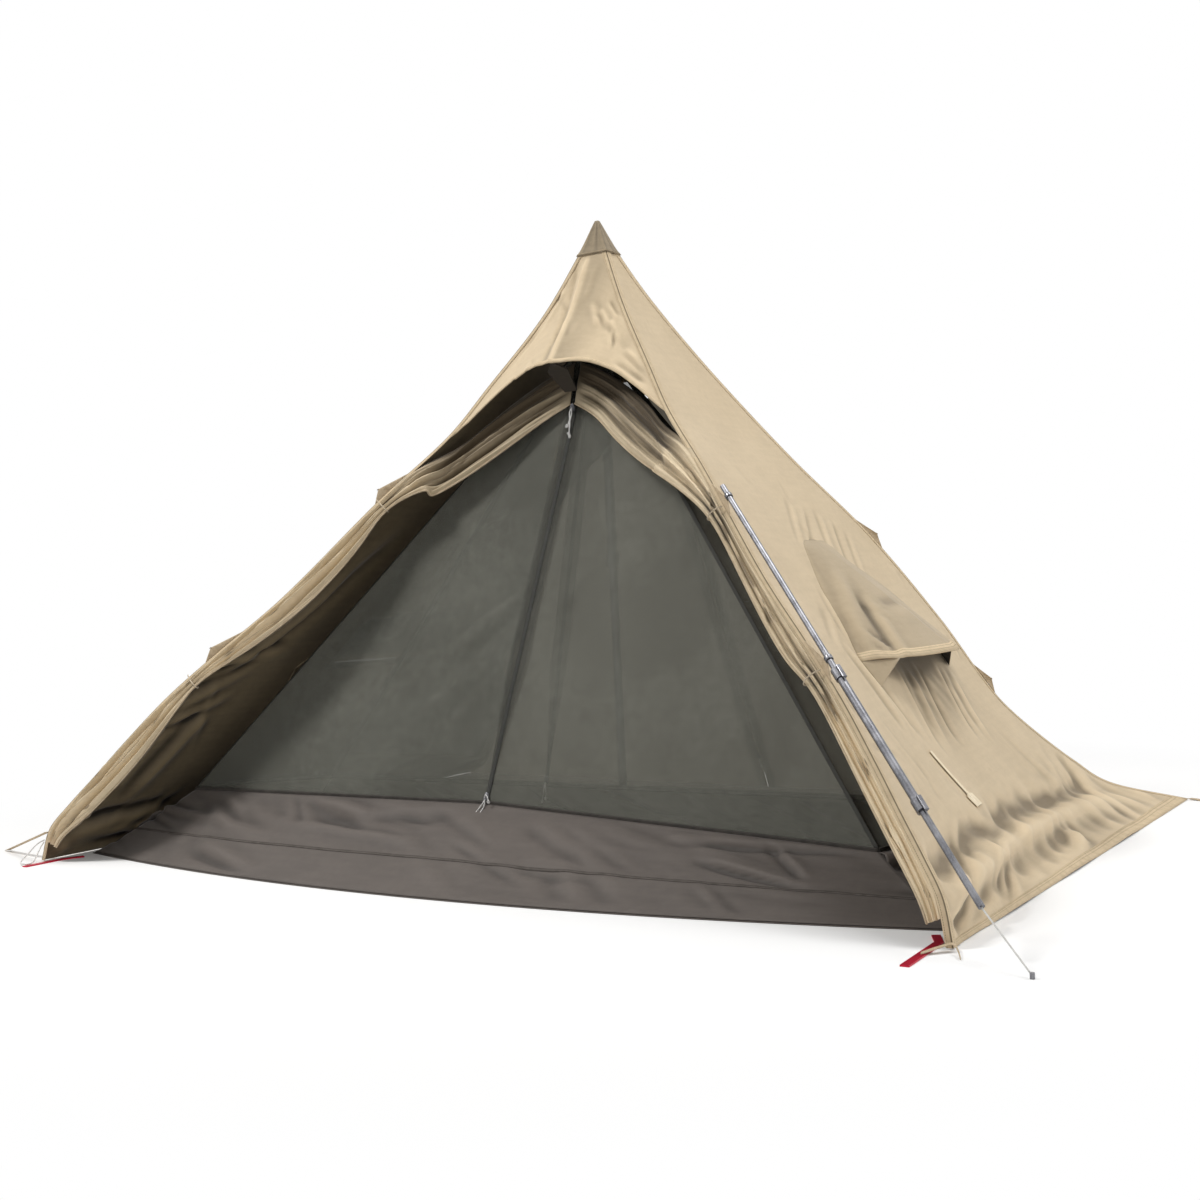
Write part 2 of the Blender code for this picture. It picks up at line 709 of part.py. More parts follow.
def make_cap():
    """Four-sided cap over the peak, open below."""
    rings = []
    for level in CAP_LEVEL_SHARES:
        rings.append([
            ridge_point(side, end, level) + Vector((side * CAP_EASE, end * CAP_EASE, 0))
            for side, end in ((-1, -1), (1, -1), (1, 1), (-1, 1))
        ])
    peak = Vector((0, 0, HEIGHT - WEBBING))
    shape = bmesh.new()
    loops = [[shape.verts.new(point) for point in ring] for ring in rings]
    for lower, upper in zip(loops, loops[1:]):
        for i in range(4):
            shape.faces.new((lower[i], lower[(i + 1) % 4], upper[(i + 1) % 4], upper[i]))
    tip = shape.verts.new(peak)
    for i in range(4):
        shape.faces.new((loops[-1][i], loops[-1][(i + 1) % 4], tip))
    bmesh.ops.recalc_face_normals(shape, faces=shape.faces)
    mesh = bpy.data.meshes.new("apex_cap")
    shape.to_mesh(mesh)
    shape.free()
    if mean_normal_along(mesh, Vector((0, 0, 1))) < 0:
        mesh.flip_normals()
    made = new_object("apex_cap", mesh, tape_cloth())
    solid = made.modifiers.new("Thickness", "SOLIDIFY")
    solid.thickness = WEBBING
    solid.offset = 1.0
    solid.use_even_offset = True


def rear_row(side, level):
    """Points of a rear panel at one level, from its ridge to the zip."""
    edge = ridge_point(side, 1, level)
    middle = rear_line(level)
    hidden = min(max((level - FLUSH_SHARE) / (LIP_END_SHARE - FLUSH_SHARE), 0), 1)
    setback = SEAM_SETBACK + (HIDDEN_SETBACK - SEAM_SETBACK) * hidden
    along = (middle - edge).normalized()
    recess = Vector((0, HIDDEN_RECESS * hidden, 0))
    start = edge + along * setback - recess
    flap = edge + along * (TAPE_END_WIDTH + HIDDEN_SETBACK * hidden) - recess
    finish = middle + Vector((side * ZIP_HALF_GAP, 0, 0))
    return [start] + [flap.lerp(finish, share) for share in REAR_COLUMN_SHARES]


def make_rear_panel(side, name):
    """Half of the back, closed at the zip and tucked under the rear hood."""
    first = LEVEL_SHARES.index(LIP_END_SHARE)
    levels = (REAR_TOP_SHARE,) + LEVEL_SHARES[first:]
    rows = [rear_row(side, level) for level in levels]
    sheet(name, rows, CLOTH, Vector((0, 1, 1)), fly_cloth())


def make_rear_flap():
    """Storm flap over the rear zip."""
    rows = []
    levels = [level for level in LEVEL_SHARES if FLAP_BOTTOM_SHARE <= level <= FLAP_TOP_SHARE]
    for level in levels:
        middle = rear_line(level)
        left = rear_row(-1, level)[-2] - rear_row(-1, level)[-1]
        right = rear_row(1, level)[-2] - rear_row(1, level)[-1]
        lift = rear_normal() * SEAM_GAP * 2
        rows.append([
            middle + left.normalized() * FLAP_HALF_WIDTH + lift,
            middle + lift,
            middle + right.normalized() * FLAP_HALF_WIDTH + lift,
        ])
    sheet("rear_zip_flap", rows, DOOR_CLOTH, Vector((0, 1, 1)), tape_cloth(), inward=False)


def rear_normal():
    """Outward normal of the straight rear centre line."""
    down = (rear_line(0) - rear_line(FLAP_TOP_SHARE)).normalized()
    return outward(down.cross(Vector((1, 0, 0))).normalized(), Vector((0, 1, 0)))


def tape_rows(side, end):
    """Rows of a ridge tape: wall side, ridge line, front or back side."""
    rows = []
    for row, level in enumerate(LEVEL_SHARES):
        wall, face = ridge_normals(side, end, row)
        ridge = ridge_point(side, end, level)
        bisector = (wall + face).normalized()
        mitre = SEAM_GAP / max(bisector.dot(wall), MITRE_LIMIT_SHARE)
        rows.append([
            ridge + wall_direction(side, end, level) * TAPE_WALL_WIDTH + wall * SEAM_GAP,
            ridge + bisector * mitre,
            ridge + end_direction(side, end, level) * TAPE_END_WIDTH + face * SEAM_GAP,
        ])
    return rows


def tab_mesh(name, side, end, share, reach):
    """Triangular pull-out tab, in the upright plane of the ridge."""
    outward_flat = Vector((side * HALF_WIDTH, end * HALF_DEPTH, 0)).normalized()
    across = Vector((-outward_flat.y, outward_flat.x, 0)) * TAB_THICKNESS / 2
    upper = ridge_point(side, end, share + TAB_SPREAD_SHARE)
    lower = ridge_point(side, end, share - TAB_SPREAD_SHARE)
    tip = ridge_point(side, end, share) + outward_flat * reach
    root = outward_flat * TAB_ROOT
    outline = (upper + root, tip, lower + root)
    shape = bmesh.new()
    near = [shape.verts.new(point - across) for point in outline]
    far = [shape.verts.new(point + across) for point in outline]
    shape.faces.new(near)
    shape.faces.new(far[::-1])
    for i in range(3):
        shape.faces.new((near[(i + 1) % 3], near[i], far[i], far[(i + 1) % 3]))
    bmesh.ops.recalc_face_normals(shape, faces=shape.faces)
    mesh = bpy.data.meshes.new(name)
    shape.to_mesh(mesh)
    shape.free()
    return mesh


def ridge_pole_frame():
    """Place of the ridge pole: origin at its top end, +Z along it towards the ground."""
    corner = Vector((HALF_WIDTH, -HALF_DEPTH, 0))
    flat = corner.normalized()
    top = ridge_point(1, -1, RIDGE_POLE_TOP_SHARE) + flat * RIDGE_POLE_STAND_OFF
    foot = corner + flat * RIDGE_POLE_FOOT_BEYOND + Vector((0, 0, RIDGE_POLE_FOOT_Z))
    along = (foot - top).normalized()
    across = Vector((-flat.y, flat.x, 0))
    away = across.cross(along)
    away = outward(away, Vector((0, 0, 1)))
    turn = Matrix((away, along.cross(away), along)).transposed().to_4x4()
    return Matrix.Translation(top) @ turn


def ring_mesh(name, at):
    """Ring round the ridge pole with a foot that reaches the ridge tape."""
    place = ridge_pole_frame()
    outer = RIDGE_POLE_THIN_RADIUS + RUNNING_GAP * 2 + RING_WALL
    ring = turned(
        name,
        (
            (outer - RING_WALL, at), (outer, at), (outer, at + RING_WIDTH),
            (outer - RING_WALL, at + RING_WIDTH), (outer - RING_WALL, at),
        ),
        RIDGE_POLE_SIDES,
        tape_cloth(),
    )
    mesh = evaluated_mesh(ring, name)
    bpy.data.objects.remove(ring, do_unlink=True)
    mesh.transform(place)
    return mesh


def ring_tab(name, at):
    """Tab from the front right ridge up to a pole ring."""
    ring_middle = RIDGE_POLE_THIN_RADIUS + RUNNING_GAP * 2 + RING_WALL / 2
    tip = ridge_pole_frame() @ Vector((-ring_middle, 0, at + RING_WIDTH / 2))
    share = (tip.z - HEM_LIFT) / (HEIGHT - HEM_LIFT)
    return tab_mesh(name, 1, -1, share, (tip - ridge_point(1, -1, share)).length)


def make_tape(side, end, name):
    """Ridge tape with its pull-out tabs; the front right one also holds the ridge pole."""
    tape = sheet(
        name, tape_rows(side, end), WEBBING, Vector((side, end, 1)), tape_cloth(), inward=False
    )
    tape = fixed_copy(tape, tape_cloth())
    if side > 0 and end < 0:
        places = (UPPER_RING_PLACE, LOWER_RING_PLACE)
        additions = [ring_mesh(name, at) for at in places] + [ring_tab(name, at) for at in places]
    else:
        shares = TAB_FRONT_SHARES if end < 0 else TAB_BACK_SHARES
        additions = [tab_mesh(name, side, end, share, TAB_REACH) for share in shares]
    for number, mesh in enumerate(additions):
        combine(tape, helper_object(f"{name} addition {number}", mesh), "UNION")


def leaf_frame(side, row):
    """Attached point, side direction and outward direction of a door leaf at a ridge row."""
    level = LEVEL_SHARES[row]
    tangent = ridge_tangent(side, -1, row)
    inward = Vector((-side, 0, 0))
    down = (inward - tangent * inward.dot(tangent)).normalized()
    _, face = ridge_normals(side, -1, row)
    return ridge_point(side, -1, level), down, face


def pleat(share, swell):
    """Offset of a pleated row: flat at both edges, waving between."""
    envelope = math.sin(math.pi * share) ** 0.5 if 0 < share < 1 else 0
    return swell * envelope * math.sin(2 * math.pi * LEAF_PLEATS * share)


def band_point(side, shares):
    """Point of a door leaf's upper band, from shares of the fly's half width, half depth and height."""
    across, out, up = shares
    return Vector((side * HALF_WIDTH * across, HALF_DEPTH * out, HEIGHT * up))


def leaf_sizes(side):
    """Widths and swells of a door leaf below its upper band, row by row."""
    if side < 0:
        return tuple(zip(LEAF_WIDTHS_LEFT, LEAF_SWELLS_LEFT))
    return tuple(zip(LEAF_WIDTHS_RIGHT, LEAF_SWELLS_RIGHT))


def leaf_rows(side):
    """Rows of a door leaf from the top of the doorway to the corner."""
    rows = []
    steps = [step / LEAF_PLEAT_STEPS for step in range(LEAF_PLEAT_STEPS + 1)]
    for (attached, free), swell in zip(LEAF_BAND_SHARES, LEAF_BAND_SWELLS):
        start, finish = band_point(side, attached), band_point(side, free)
        out = (finish - start).cross(Vector((side, 0, 0)))
        out = outward(out.normalized(), Vector((0, -1, 0)))
        first = start.lerp(finish, SEAM_SETBACK / (finish - start).length)
        row = [first]
        second = start.lerp(finish, TAPE_END_WIDTH / (finish - start).length)
        row += [second.lerp(finish, share) + out * pleat(share, swell) for share in steps]
        rows.append(row)
    for row_number, (width, swell) in enumerate(leaf_sizes(side), LEAF_FIRST_LEVEL):
        edge, down, face = leaf_frame(side, row_number)
        inward = Vector((-side, 0, 0))
        second = edge + inward * TAPE_END_WIDTH
        finish = edge + down * width
        row = [edge + inward * SEAM_SETBACK]
        row += [
            second.lerp(finish, share) + face * (pleat(share, swell) - LEAF_SIDE_SET * math.sin(math.pi * share))
            for share in steps
        ]
        rows.append(row)
    return rows


def make_leaf(side, name):
    """Door leaf, swept to the ridge and gathered at the two ties."""
    sheet(name, leaf_rows(side), DOOR_CLOTH, Vector((0, -1, 1)), door_cloth())


def make_tie(side, row, name):
    """Cord loop round the gathered leaf, from the ridge tape back to the ridge's inside."""
    width, swell = leaf_sizes(side)[row - LEAF_FIRST_LEVEL]
    edge, down, face = leaf_frame(side, row)
    depth = swell + LEAF_SIDE_SET / 2 + TIE_CLEAR
    points = [edge + down * width * across + face * (depth * out) for across, out in TIE_SHARES]
    tube_curve(name, points, TIE_CORD / 2, white_cord())


def make_wall_strap():
    """Strap with a square reinforcement patch, flat on the right wall."""
    rows = []
    for (share, level), width in zip(WALL_STRAP_ROUTE_SHARES, WALL_STRAP_WIDTHS):
        y = share * HALF_DEPTH
        line = []
        for step in (-0.5, 0.5):
            here = y + step * width
            line.append(wall_surface(1, here, level) + wall_normal(1, here, level) * SIDE_HOOD_SEAM)
        rows.append(line)
    sheet("wall_strap_right", rows, WEBBING, Vector((1, 0, 1)), tape_cloth(), inward=False)


def inner_panel(name, foot_start, foot_end, peak_start, peak_end, guide, bulge=0.0):
    """Net panel between two feet and the peak, set back from its seams."""
    rows = []
    for share in INNER_ROW_SHARES:
        left = foot_start.lerp(peak_start, share)
        right = foot_end.lerp(peak_end, share)
        along = (right - left).normalized()
        start, finish = left + along * INNER_SETBACK, right - along * INNER_SETBACK
        middle = start.lerp(finish, 0.5) + guide.normalized() * bulge * (1 - share) ** 2
        rows.append([start, middle, finish])
    sheet(name, rows, NET, guide, net_cloth())


def lifted(x, y, z):
    """Foot of a net panel, just above the tub's binding."""
    return Vector((x, y, z + TOUCH_GAP))


def make_inner_net():
    """The six net panels of the inner tent."""
    corner_left = lifted(-INNER_HALF_WIDTH, INNER_CORNER_Y, BINDING_Z)
    corner_right = lifted(INNER_HALF_WIDTH, INNER_CORNER_Y, BINDING_RIGHT_Z)
    back_left = lifted(-INNER_BACK_HALF_WIDTH, INNER_BACK_Y, BINDING_BACK_Z)
    back_right = lifted(INNER_BACK_HALF_WIDTH, INNER_BACK_Y, BINDING_BACK_Z)
    front_zip = lifted(0, INNER_FRONT_Y, BINDING_Z)
    back_zip = lifted(BACK_ZIP_X, INNER_BACK_Y, BINDING_BACK_Z)
    peak_front = Vector((0, PEAK_Y - PEAK_HALF, PEAK_Z))
    peak_back = Vector((0, PEAK_Y + PEAK_HALF, PEAK_Z))
    peak_left_front = Vector((-PEAK_HALF * 2, PEAK_Y - PEAK_HALF, PEAK_Z))
    peak_right_front = Vector((PEAK_HALF * 2, PEAK_Y - PEAK_HALF, PEAK_Z))
    peak_left_back = Vector((-PEAK_HALF * 2, PEAK_Y + PEAK_HALF, PEAK_Z))
    peak_right_back = Vector((PEAK_HALF * 2, PEAK_Y + PEAK_HALF, PEAK_Z))
    front, back = Vector((0, -1, 0.5)), Vector((0, 1, 0))
    inner_panel("inner_front_left", corner_left, front_zip, peak_left_front, peak_front, front)
    inner_panel("inner_front_right", front_zip, corner_right, peak_front, peak_right_front, front)
    inner_panel("inner_back_left", back_left, back_zip, peak_left_back, peak_back, back)
    inner_panel("inner_back_right", back_zip, back_right, peak_back, peak_right_back, back)
    inner_panel(
        "inner_side_left", back_left, corner_left, peak_left_back, peak_left_front,
        Vector((-1, 0, 0)), BINDING_SIDE_BULGE,
    )
    inner_panel(
        "inner_side_right", corner_right, back_right, peak_right_front, peak_right_back,
        Vector((1, 0, 0)), BINDING_SIDE_BULGE,
    )


def floor_front(share):
    """Point on the front edge of the floor, share -1 at the left to 1 at the right."""
    bulge = FLOOR_FRONT_BULGE * (1 - share**2)
    return Vector((share * FLOOR_FRONT_HALF, FLOOR_CORNER_Y - bulge, 0))


def binding_front(share):
    """Point on the front binding, share -1 at the left to 1 at the right, where it hangs lower."""
    y = INNER_FRONT_Y + (INNER_CORNER_Y - INNER_FRONT_Y) * share**2
    return Vector((share * INNER_HALF_WIDTH, y, BINDING_Z + (BINDING_RIGHT_Z - BINDING_Z) * max(share, 0)))


def make_floor():
    """Flat floor sheet with a bowed front edge."""
    outline = [floor_front(-1 + 2 * step / FLOOR_STEPS) for step in range(FLOOR_STEPS + 1)]
    outline += [Vector((FLOOR_BACK_HALF, FLOOR_BACK_Y, 0)), Vector((-FLOOR_BACK_HALF, FLOOR_BACK_Y, 0))]
    shape = bmesh.new()
    face = shape.faces.new([shape.verts.new(point) for point in outline])
    grown = bmesh.ops.extrude_face_region(shape, geom=[face])
    top = [item for item in grown["geom"] if isinstance(item, bmesh.types.BMVert)]
    bmesh.ops.translate(shape, verts=top, vec=(0, 0, FLOOR_SHEET))
    bmesh.ops.recalc_face_normals(shape, faces=shape.faces)
    mesh = bpy.data.meshes.new("tub_floor")
    shape.to_mesh(mesh)
    shape.free()
    new_object("tub_floor", mesh, tub_cloth())


def tub_wall(name, feet, tops, guide, seam=True):
    """Sloping tub wall from the floor's edge to the binding, with a slack middle.

    The sheet thickens downwards, so its foot stands clear of the floor by that thickness.
    """
    middle = len(feet) // 2
    rise = (tops[middle] - feet[middle]).normalized()
    base = FLOOR_SHEET + TOUCH_GAP + FLOOR_SHEET * math.hypot(rise.x, rise.y)
    rows = []
    shares = (0.0, SEAM_SHARE, 1.0) if seam else (0.0, 1.0)
    for share in shares:
        line = []
        for foot, top in zip(feet, tops):
            start = Vector((foot.x, foot.y, base))
            point = start.lerp(top, share)
            point.z -= TUB_SLUMP * 4 * share * (1 - share)
            line.append(point)
        along = (line[-1] - line[0]).normalized()
        line[0] = line[0] + along * INNER_SETBACK
        line[-1] = line[-1] - along * INNER_SETBACK
        rows.append(line)
    sheet(name, rows, FLOOR_SHEET, guide, tub_cloth())


def make_tub():
    """The four sloping walls of the tub."""
    shares = [-1 + 2 * step / FLOOR_STEPS for step in range(FLOOR_STEPS + 1)]
    inset = FLOOR_SHEET * 3
    feet = [floor_front(share) + Vector((-share * inset, inset, 0)) for share in shares]
    tops = [binding_front(share) for share in shares]
    tub_wall("tub_wall_front", feet, tops, Vector((0, -1, 1)))
    for side, name in ((-1, "tub_wall_left"), (1, "tub_wall_right")):
        front_foot = Vector((side * (FLOOR_FRONT_HALF - inset), FLOOR_CORNER_Y + inset, 0))
        back_foot = Vector((side * (FLOOR_BACK_HALF - inset), FLOOR_BACK_Y - inset, 0))
        front_top = binding_front(side)
        back_top = Vector((side * INNER_BACK_HALF_WIDTH, INNER_BACK_Y, BINDING_BACK_Z))
        middle_foot = front_foot.lerp(back_foot, 0.5)
        middle_top = front_top.lerp(back_top, 0.5) + Vector((side * BINDING_SIDE_BULGE, 0, 0))
        feet, tops = [front_foot, middle_foot, back_foot], [front_top, middle_top, back_top]
        tub_wall(name, feet, tops, Vector((side, 0, 1)))
    back_feet = [
        Vector((share * (FLOOR_BACK_HALF - inset), FLOOR_BACK_Y - inset, 0)) for share in (-1, 0, 1)
    ]
    back_tops = [Vector((share * INNER_BACK_HALF_WIDTH, INNER_BACK_Y, BINDING_BACK_Z)) for share in (-1, 0, 1)]
    tub_wall("tub_wall_back", back_feet, back_tops, Vector((0, 1, 1)), seam=False)


def make_centre_pole():
    """Upper tube with tip, collar and lock; lower tube with its foot; hanger disc."""
    bore = POLE_UPPER_RADIUS - POLE_WALL
    turned(
        "centre_pole_upper",
        (
            (0, POLE_TIP_TOP), (POLE_TIP_RADIUS, POLE_TIP_TOP),
            (POLE_TIP_RADIUS, POLE_UPPER_TOP), (POLE_UPPER_RADIUS, POLE_UPPER_TOP),
            (POLE_UPPER_RADIUS, POLE_COLLAR_Z),
            (POLE_COLLAR_RADIUS, POLE_COLLAR_Z), (POLE_COLLAR_RADIUS, POLE_COLLAR_Z - POLE_COLLAR_HEIGHT),
            (POLE_UPPER_RADIUS, POLE_COLLAR_Z - POLE_COLLAR_HEIGHT),
            (POLE_UPPER_RADIUS, POLE_UPPER_BOTTOM + POLE_LOCK_HEIGHT),
            (POLE_LOCK_RADIUS, POLE_UPPER_BOTTOM + POLE_LOCK_HEIGHT),
            (POLE_LOCK_RADIUS, POLE_UPPER_BOTTOM), (bore, POLE_UPPER_BOTTOM),
            (bore, POLE_UPPER_TOP - POLE_WALL), (0, POLE_UPPER_TOP - POLE_WALL),
        ),
        POLE_SIDES, silver(),
    )
    turned(
        "centre_pole_lower",
        (
            (0, POLE_FOOT_HEIGHT), (POLE_LOWER_RADIUS - POLE_WALL, POLE_FOOT_HEIGHT),
            (POLE_LOWER_RADIUS - POLE_WALL, POLE_LOWER_TOP), (POLE_LOWER_RADIUS, POLE_LOWER_TOP),
            (POLE_LOWER_RADIUS, POLE_FOOT_HEIGHT), (POLE_FOOT_RADIUS, POLE_FOOT_HEIGHT),
            (POLE_FOOT_RADIUS, 0), (0, 0),
        ),
        POLE_SIDES, silver(),
    )
    hole = POLE_UPPER_RADIUS + RUNNING_GAP
    low = POLE_COLLAR_Z + TOUCH_GAP
    turned(
        "inner_hanger",
        (
            (hole, low + HANGER_THICKNESS), (HANGER_RADIUS, low + HANGER_THICKNESS),
            (HANGER_RADIUS, low), (hole, low), (hole, low + HANGER_THICKNESS),
        ),
        POLE_SIDES, black_plastic(),
    )


def make_ridge_pole():
    """Three telescoping tubes with a lock collar at each joint of the middle one."""
    place = ridge_pole_frame()
    first = RIDGE_POLE_UPPER_LENGTH
    second = RIDGE_POLE_TWO_TUBE_LENGTH
    turned(
        "ridge_pole_upper",
        ((0, first + RIDGE_POLE_INSERT), (RIDGE_POLE_THIN_RADIUS, first + RIDGE_POLE_INSERT),
         (RIDGE_POLE_THIN_RADIUS, 0), (0, 0)),
        RIDGE_POLE_SIDES, silver(), place,
    )
    turned(
        "ridge_pole_middle",
        (
            (RIDGE_POLE_MID_BORE, second), (LOCK_RADIUS, second), (LOCK_RADIUS, second - LOCK_LENGTH),
            (RIDGE_POLE_MID_RADIUS, second - LOCK_LENGTH), (RIDGE_POLE_MID_RADIUS, first + LOCK_LENGTH),
            (LOCK_RADIUS, first + LOCK_LENGTH), (LOCK_RADIUS, first), (RIDGE_POLE_MID_BORE, first),
            (RIDGE_POLE_MID_BORE, second),
        ),
        RIDGE_POLE_SIDES, silver(), place,
    )
    turned(
        "ridge_pole_lower",
        ((0, RIDGE_POLE_FULL_LENGTH), (RIDGE_POLE_THIN_RADIUS, RIDGE_POLE_FULL_LENGTH),
         (RIDGE_POLE_THIN_RADIUS, second - RIDGE_POLE_INSERT), (0, second - RIDGE_POLE_INSERT)),
        RIDGE_POLE_SIDES, silver(), place,
    )
    for name, at in (("lock_lever_upper", first), ("lock_lever_lower", second - LOCK_LENGTH)):
        low = LOCK_RADIUS + TOUCH_GAP
        mesh = box_mesh(
            name, (0, -LEVER_WIDTH / 2, 0), (LEVER_THICKNESS, LEVER_WIDTH / 2, LEVER_LENGTH)
        )
        lever = new_object(name, mesh, silver())
        lever.matrix_world = place @ Matrix.Translation((low, 0, at))
        bevel = lever.modifiers.new("Rounded edges", "BEVEL")
        bevel.width = LEVER_EDGE
        bevel.segments = 1


def make_guy_and_pegs():
    """Guy line from the ridge pole's end to its peg, and the two red corner pegs."""
    place = ridge_pole_frame()
    along = (place.to_3x3() @ Vector((0, 0, 1))).normalized()
    start = place @ Vector((0, 0, RIDGE_POLE_FULL_LENGTH + TOUCH_GAP))
    seat = Vector((HALF_WIDTH + GUY_PEG_OFFSET[0], GUY_PEG_OFFSET[1] - HALF_DEPTH, 0))
    finish = seat + Vector((0, 0, GUY_PEG_HEIGHT / 2))
    toward = finish - start
    finish -= toward.normalized() * (GUY_PEG_RADIUS + GUY_RADIUS + TOUCH_GAP * 2)
    route = [start, start + along * GUY_RADIUS * 2]
    route += [route[1].lerp(finish, (step + 1) / GUY_STEPS) for step in range(GUY_STEPS)]
    tube_curve("guy_line", route, GUY_RADIUS, white_cord())
    turned(
        "guy_peg",
        ((0, GUY_PEG_HEIGHT), (GUY_PEG_RADIUS, GUY_PEG_HEIGHT), (GUY_PEG_RADIUS, 0), (0, 0)),
        POLE_SIDES, silver(), Matrix.Translation(seat),
    )
    pegs = ((-1, "peg_front_left", PEG_OFFSETS_LEFT), (1, "peg_front_right", PEG_OFFSETS_RIGHT))
    for side, name, offsets in pegs:
        points = [Vector((side * (HALF_WIDTH + x), y - HALF_DEPTH, 0)) for x, y in offsets]
        rows = []
        for i, point in enumerate(points):
            before, after = points[max(i - 1, 0)], points[min(i + 1, len(points) - 1)]
            along = (after - before).normalized()
            across = Vector((-along.y, along.x, 0)) * PEG_WIDTH / 2
            rows.append((point - across, point + across))
        sheet(name, rows, PEG_THICKNESS, Vector((0, 0, 1)), red_paint(), inward=False)


def from_corner(side, end, route):
    """Place a route's offsets at a corner of the fly."""
    corner = Vector((side * HALF_WIDTH, end * HALF_DEPTH, 0))
    return [corner + Vector(offset) for offset in route]


def make_corner_straps():
    """Webbing straps at the corners and the white cord loop at the front left one."""
    mirrored = [(-x, y, z) for x, y, z in STRAP_BACK]
    routes = {
        "corner_strap_front_left": from_corner(-1, -1, STRAP_FRONT_LEFT),
        "corner_strap_front_right": from_corner(1, -1, STRAP_FRONT_RIGHT),
        "corner_strap_back_right": from_corner(1, 1, STRAP_BACK),
        "corner_strap_back_left": from_corner(-1, 1, mirrored),
    }
    for name, points in routes.items():
        run = points[-1] - points[0]
        across = Vector((-run.y, run.x, 0)).normalized()
        if name == "corner_strap_front_right":
            across = Vector((*DRAPED_STRAP_ACROSS_SHARES, 0)).normalized()
        widths = [CORNER_STRAP_WIDTH] * len(points)
        ribbon(name, points, widths, across, WEBBING, tape_cloth(), Vector((0, 0, 1)))
    tube_curve("corner_loop_front_left", from_corner(-1, -1, LOOP_FRONT_LEFT), LOOP_CORD / 2, white_cord())


def make_front_slider():
    """Front zip slider at the top of the doorway, with its pull below."""
    free = band_point(1, LEAF_BAND_SHARES[0][1])
    top = free.z - TOUCH_GAP
    half = SLIDER_THICKNESS / 2
    mesh = box_mesh(
        "front_zip_slider",
        (-SLIDER_WIDTH / 2, free.y - half, top - SLIDER_LENGTH),
        (SLIDER_WIDTH / 2, free.y + half, top),
    )
    new_object("front_zip_slider", mesh, silver())
    hinge = Vector((0, free.y - half - TOUCH_GAP - PULL_THICKNESS, top - SLIDER_LENGTH / 2))
    pull = box_mesh(
        "front_zip_pull", (-PULL_WIDTH / 2, 0, -PULL_LENGTH), (PULL_WIDTH / 2, PULL_THICKNESS, 0)
    )
    made = new_object("front_zip_pull", pull, white_cord())
    made.matrix_world = Matrix.Translation(hinge) @ Matrix.Rotation(-math.radians(PULL_TILT_DEGREES), 4, "X")


def slider_with_tail(name, seat, up, normal, tail_run, look):
    """Zip slider on a net or flap, with a cord tail below it."""
    side = up.cross(normal).normalized()
    place = Matrix((side, normal, up)).transposed().to_4x4()
    place.translation = seat
    body = box_mesh(
        name, (-SLIDER_WIDTH / 2, TOUCH_GAP, 0), (SLIDER_WIDTH / 2, TOUCH_GAP + SLIDER_THICKNESS, SLIDER_LENGTH)
    )
    body.transform(place)
    made = new_object(name, body, look)
    start = seat + normal * (TOUCH_GAP + SLIDER_THICKNESS / 2) + up * PULL_THICKNESS
    tail = tube_curve(f"{name} tail", [start, start + tail_run], PULL_THICKNESS / 2, white_cord())
    helper = helper_object(f"{name} tail", evaluated_mesh(tail, f"{name} tail"))
    bpy.data.objects.remove(tail, do_unlink=True)
    combine(made, helper, "UNION")


def make_sliders():
    """Sliders of the two net zips and of the rear zip."""
    front_foot = lifted(0, INNER_FRONT_Y, BINDING_Z)
    front_up = (Vector((0, PEAK_Y - PEAK_HALF, PEAK_Z)) - front_foot).normalized()
    front_normal = Vector((0, -front_up.z, front_up.y))
    slope = Vector((0, floor_front(0).y, FLOOR_SHEET * 2)) - Vector((0, INNER_FRONT_Y, BINDING_Z))
    slider_with_tail(
        "inner_front_slider", front_foot + front_up * SLIDER_THICKNESS, front_up, front_normal,
        slope.normalized() * TAIL_LENGTH, silver(),
    )
    back_foot = lifted(BACK_ZIP_X, INNER_BACK_Y, BINDING_BACK_Z)
    back_up = (Vector((0, PEAK_Y + PEAK_HALF, PEAK_Z)) - back_foot).normalized()
    back_normal = back_up.cross(Vector((1, 0, 0))).normalized()
    back_normal = outward(back_normal, Vector((0, -1, 0)))
    slider_with_tail(
        "inner_back_slider", back_foot + back_normal * NET + back_up * SLIDER_THICKNESS, back_up, back_normal,
        Vector((0, -SLIDER_THICKNESS, -TAIL_LENGTH)), silver(),
    )
    rear_up = (rear_line(FLAP_TOP_SHARE) - rear_line(0)).normalized()
    seat = rear_line(REAR_SLIDER_SHARE) - rear_normal() * (CLOTH + SEAM_GAP * 2)
    slider_with_tail(
        "rear_zip_slider", seat, rear_up, -rear_normal(), -rear_up * TAIL_LENGTH / 2, silver()
    )


def prop_plate(name):
    """Flat plate that widens below its neck at the hinge and narrows again to its end."""
    halves = ((PROP_NECK / 2, 0), (PROP_WIDTH / 2, PROP_SHOULDER), (PROP_END_WIDTH / 2, PROP_LENGTH))
    outline = list(halves) + [(-x, y) for x, y in reversed(halves)]
    shape = bmesh.new()
    face = shape.faces.new([shape.verts.new((x, y, -PROP_THICKNESS / 2)) for x, y in outline])
    grown = bmesh.ops.extrude_face_region(shape, geom=[face])
    top = [item for item in grown["geom"] if isinstance(item, bmesh.types.BMVert)]
    bmesh.ops.translate(shape, verts=top, vec=(0, 0, PROP_THICKNESS))
    bmesh.ops.recalc_face_normals(shape, faces=shape.faces)
    mesh = bpy.data.meshes.new(name)
    shape.to_mesh(mesh)
    shape.free()
    return mesh


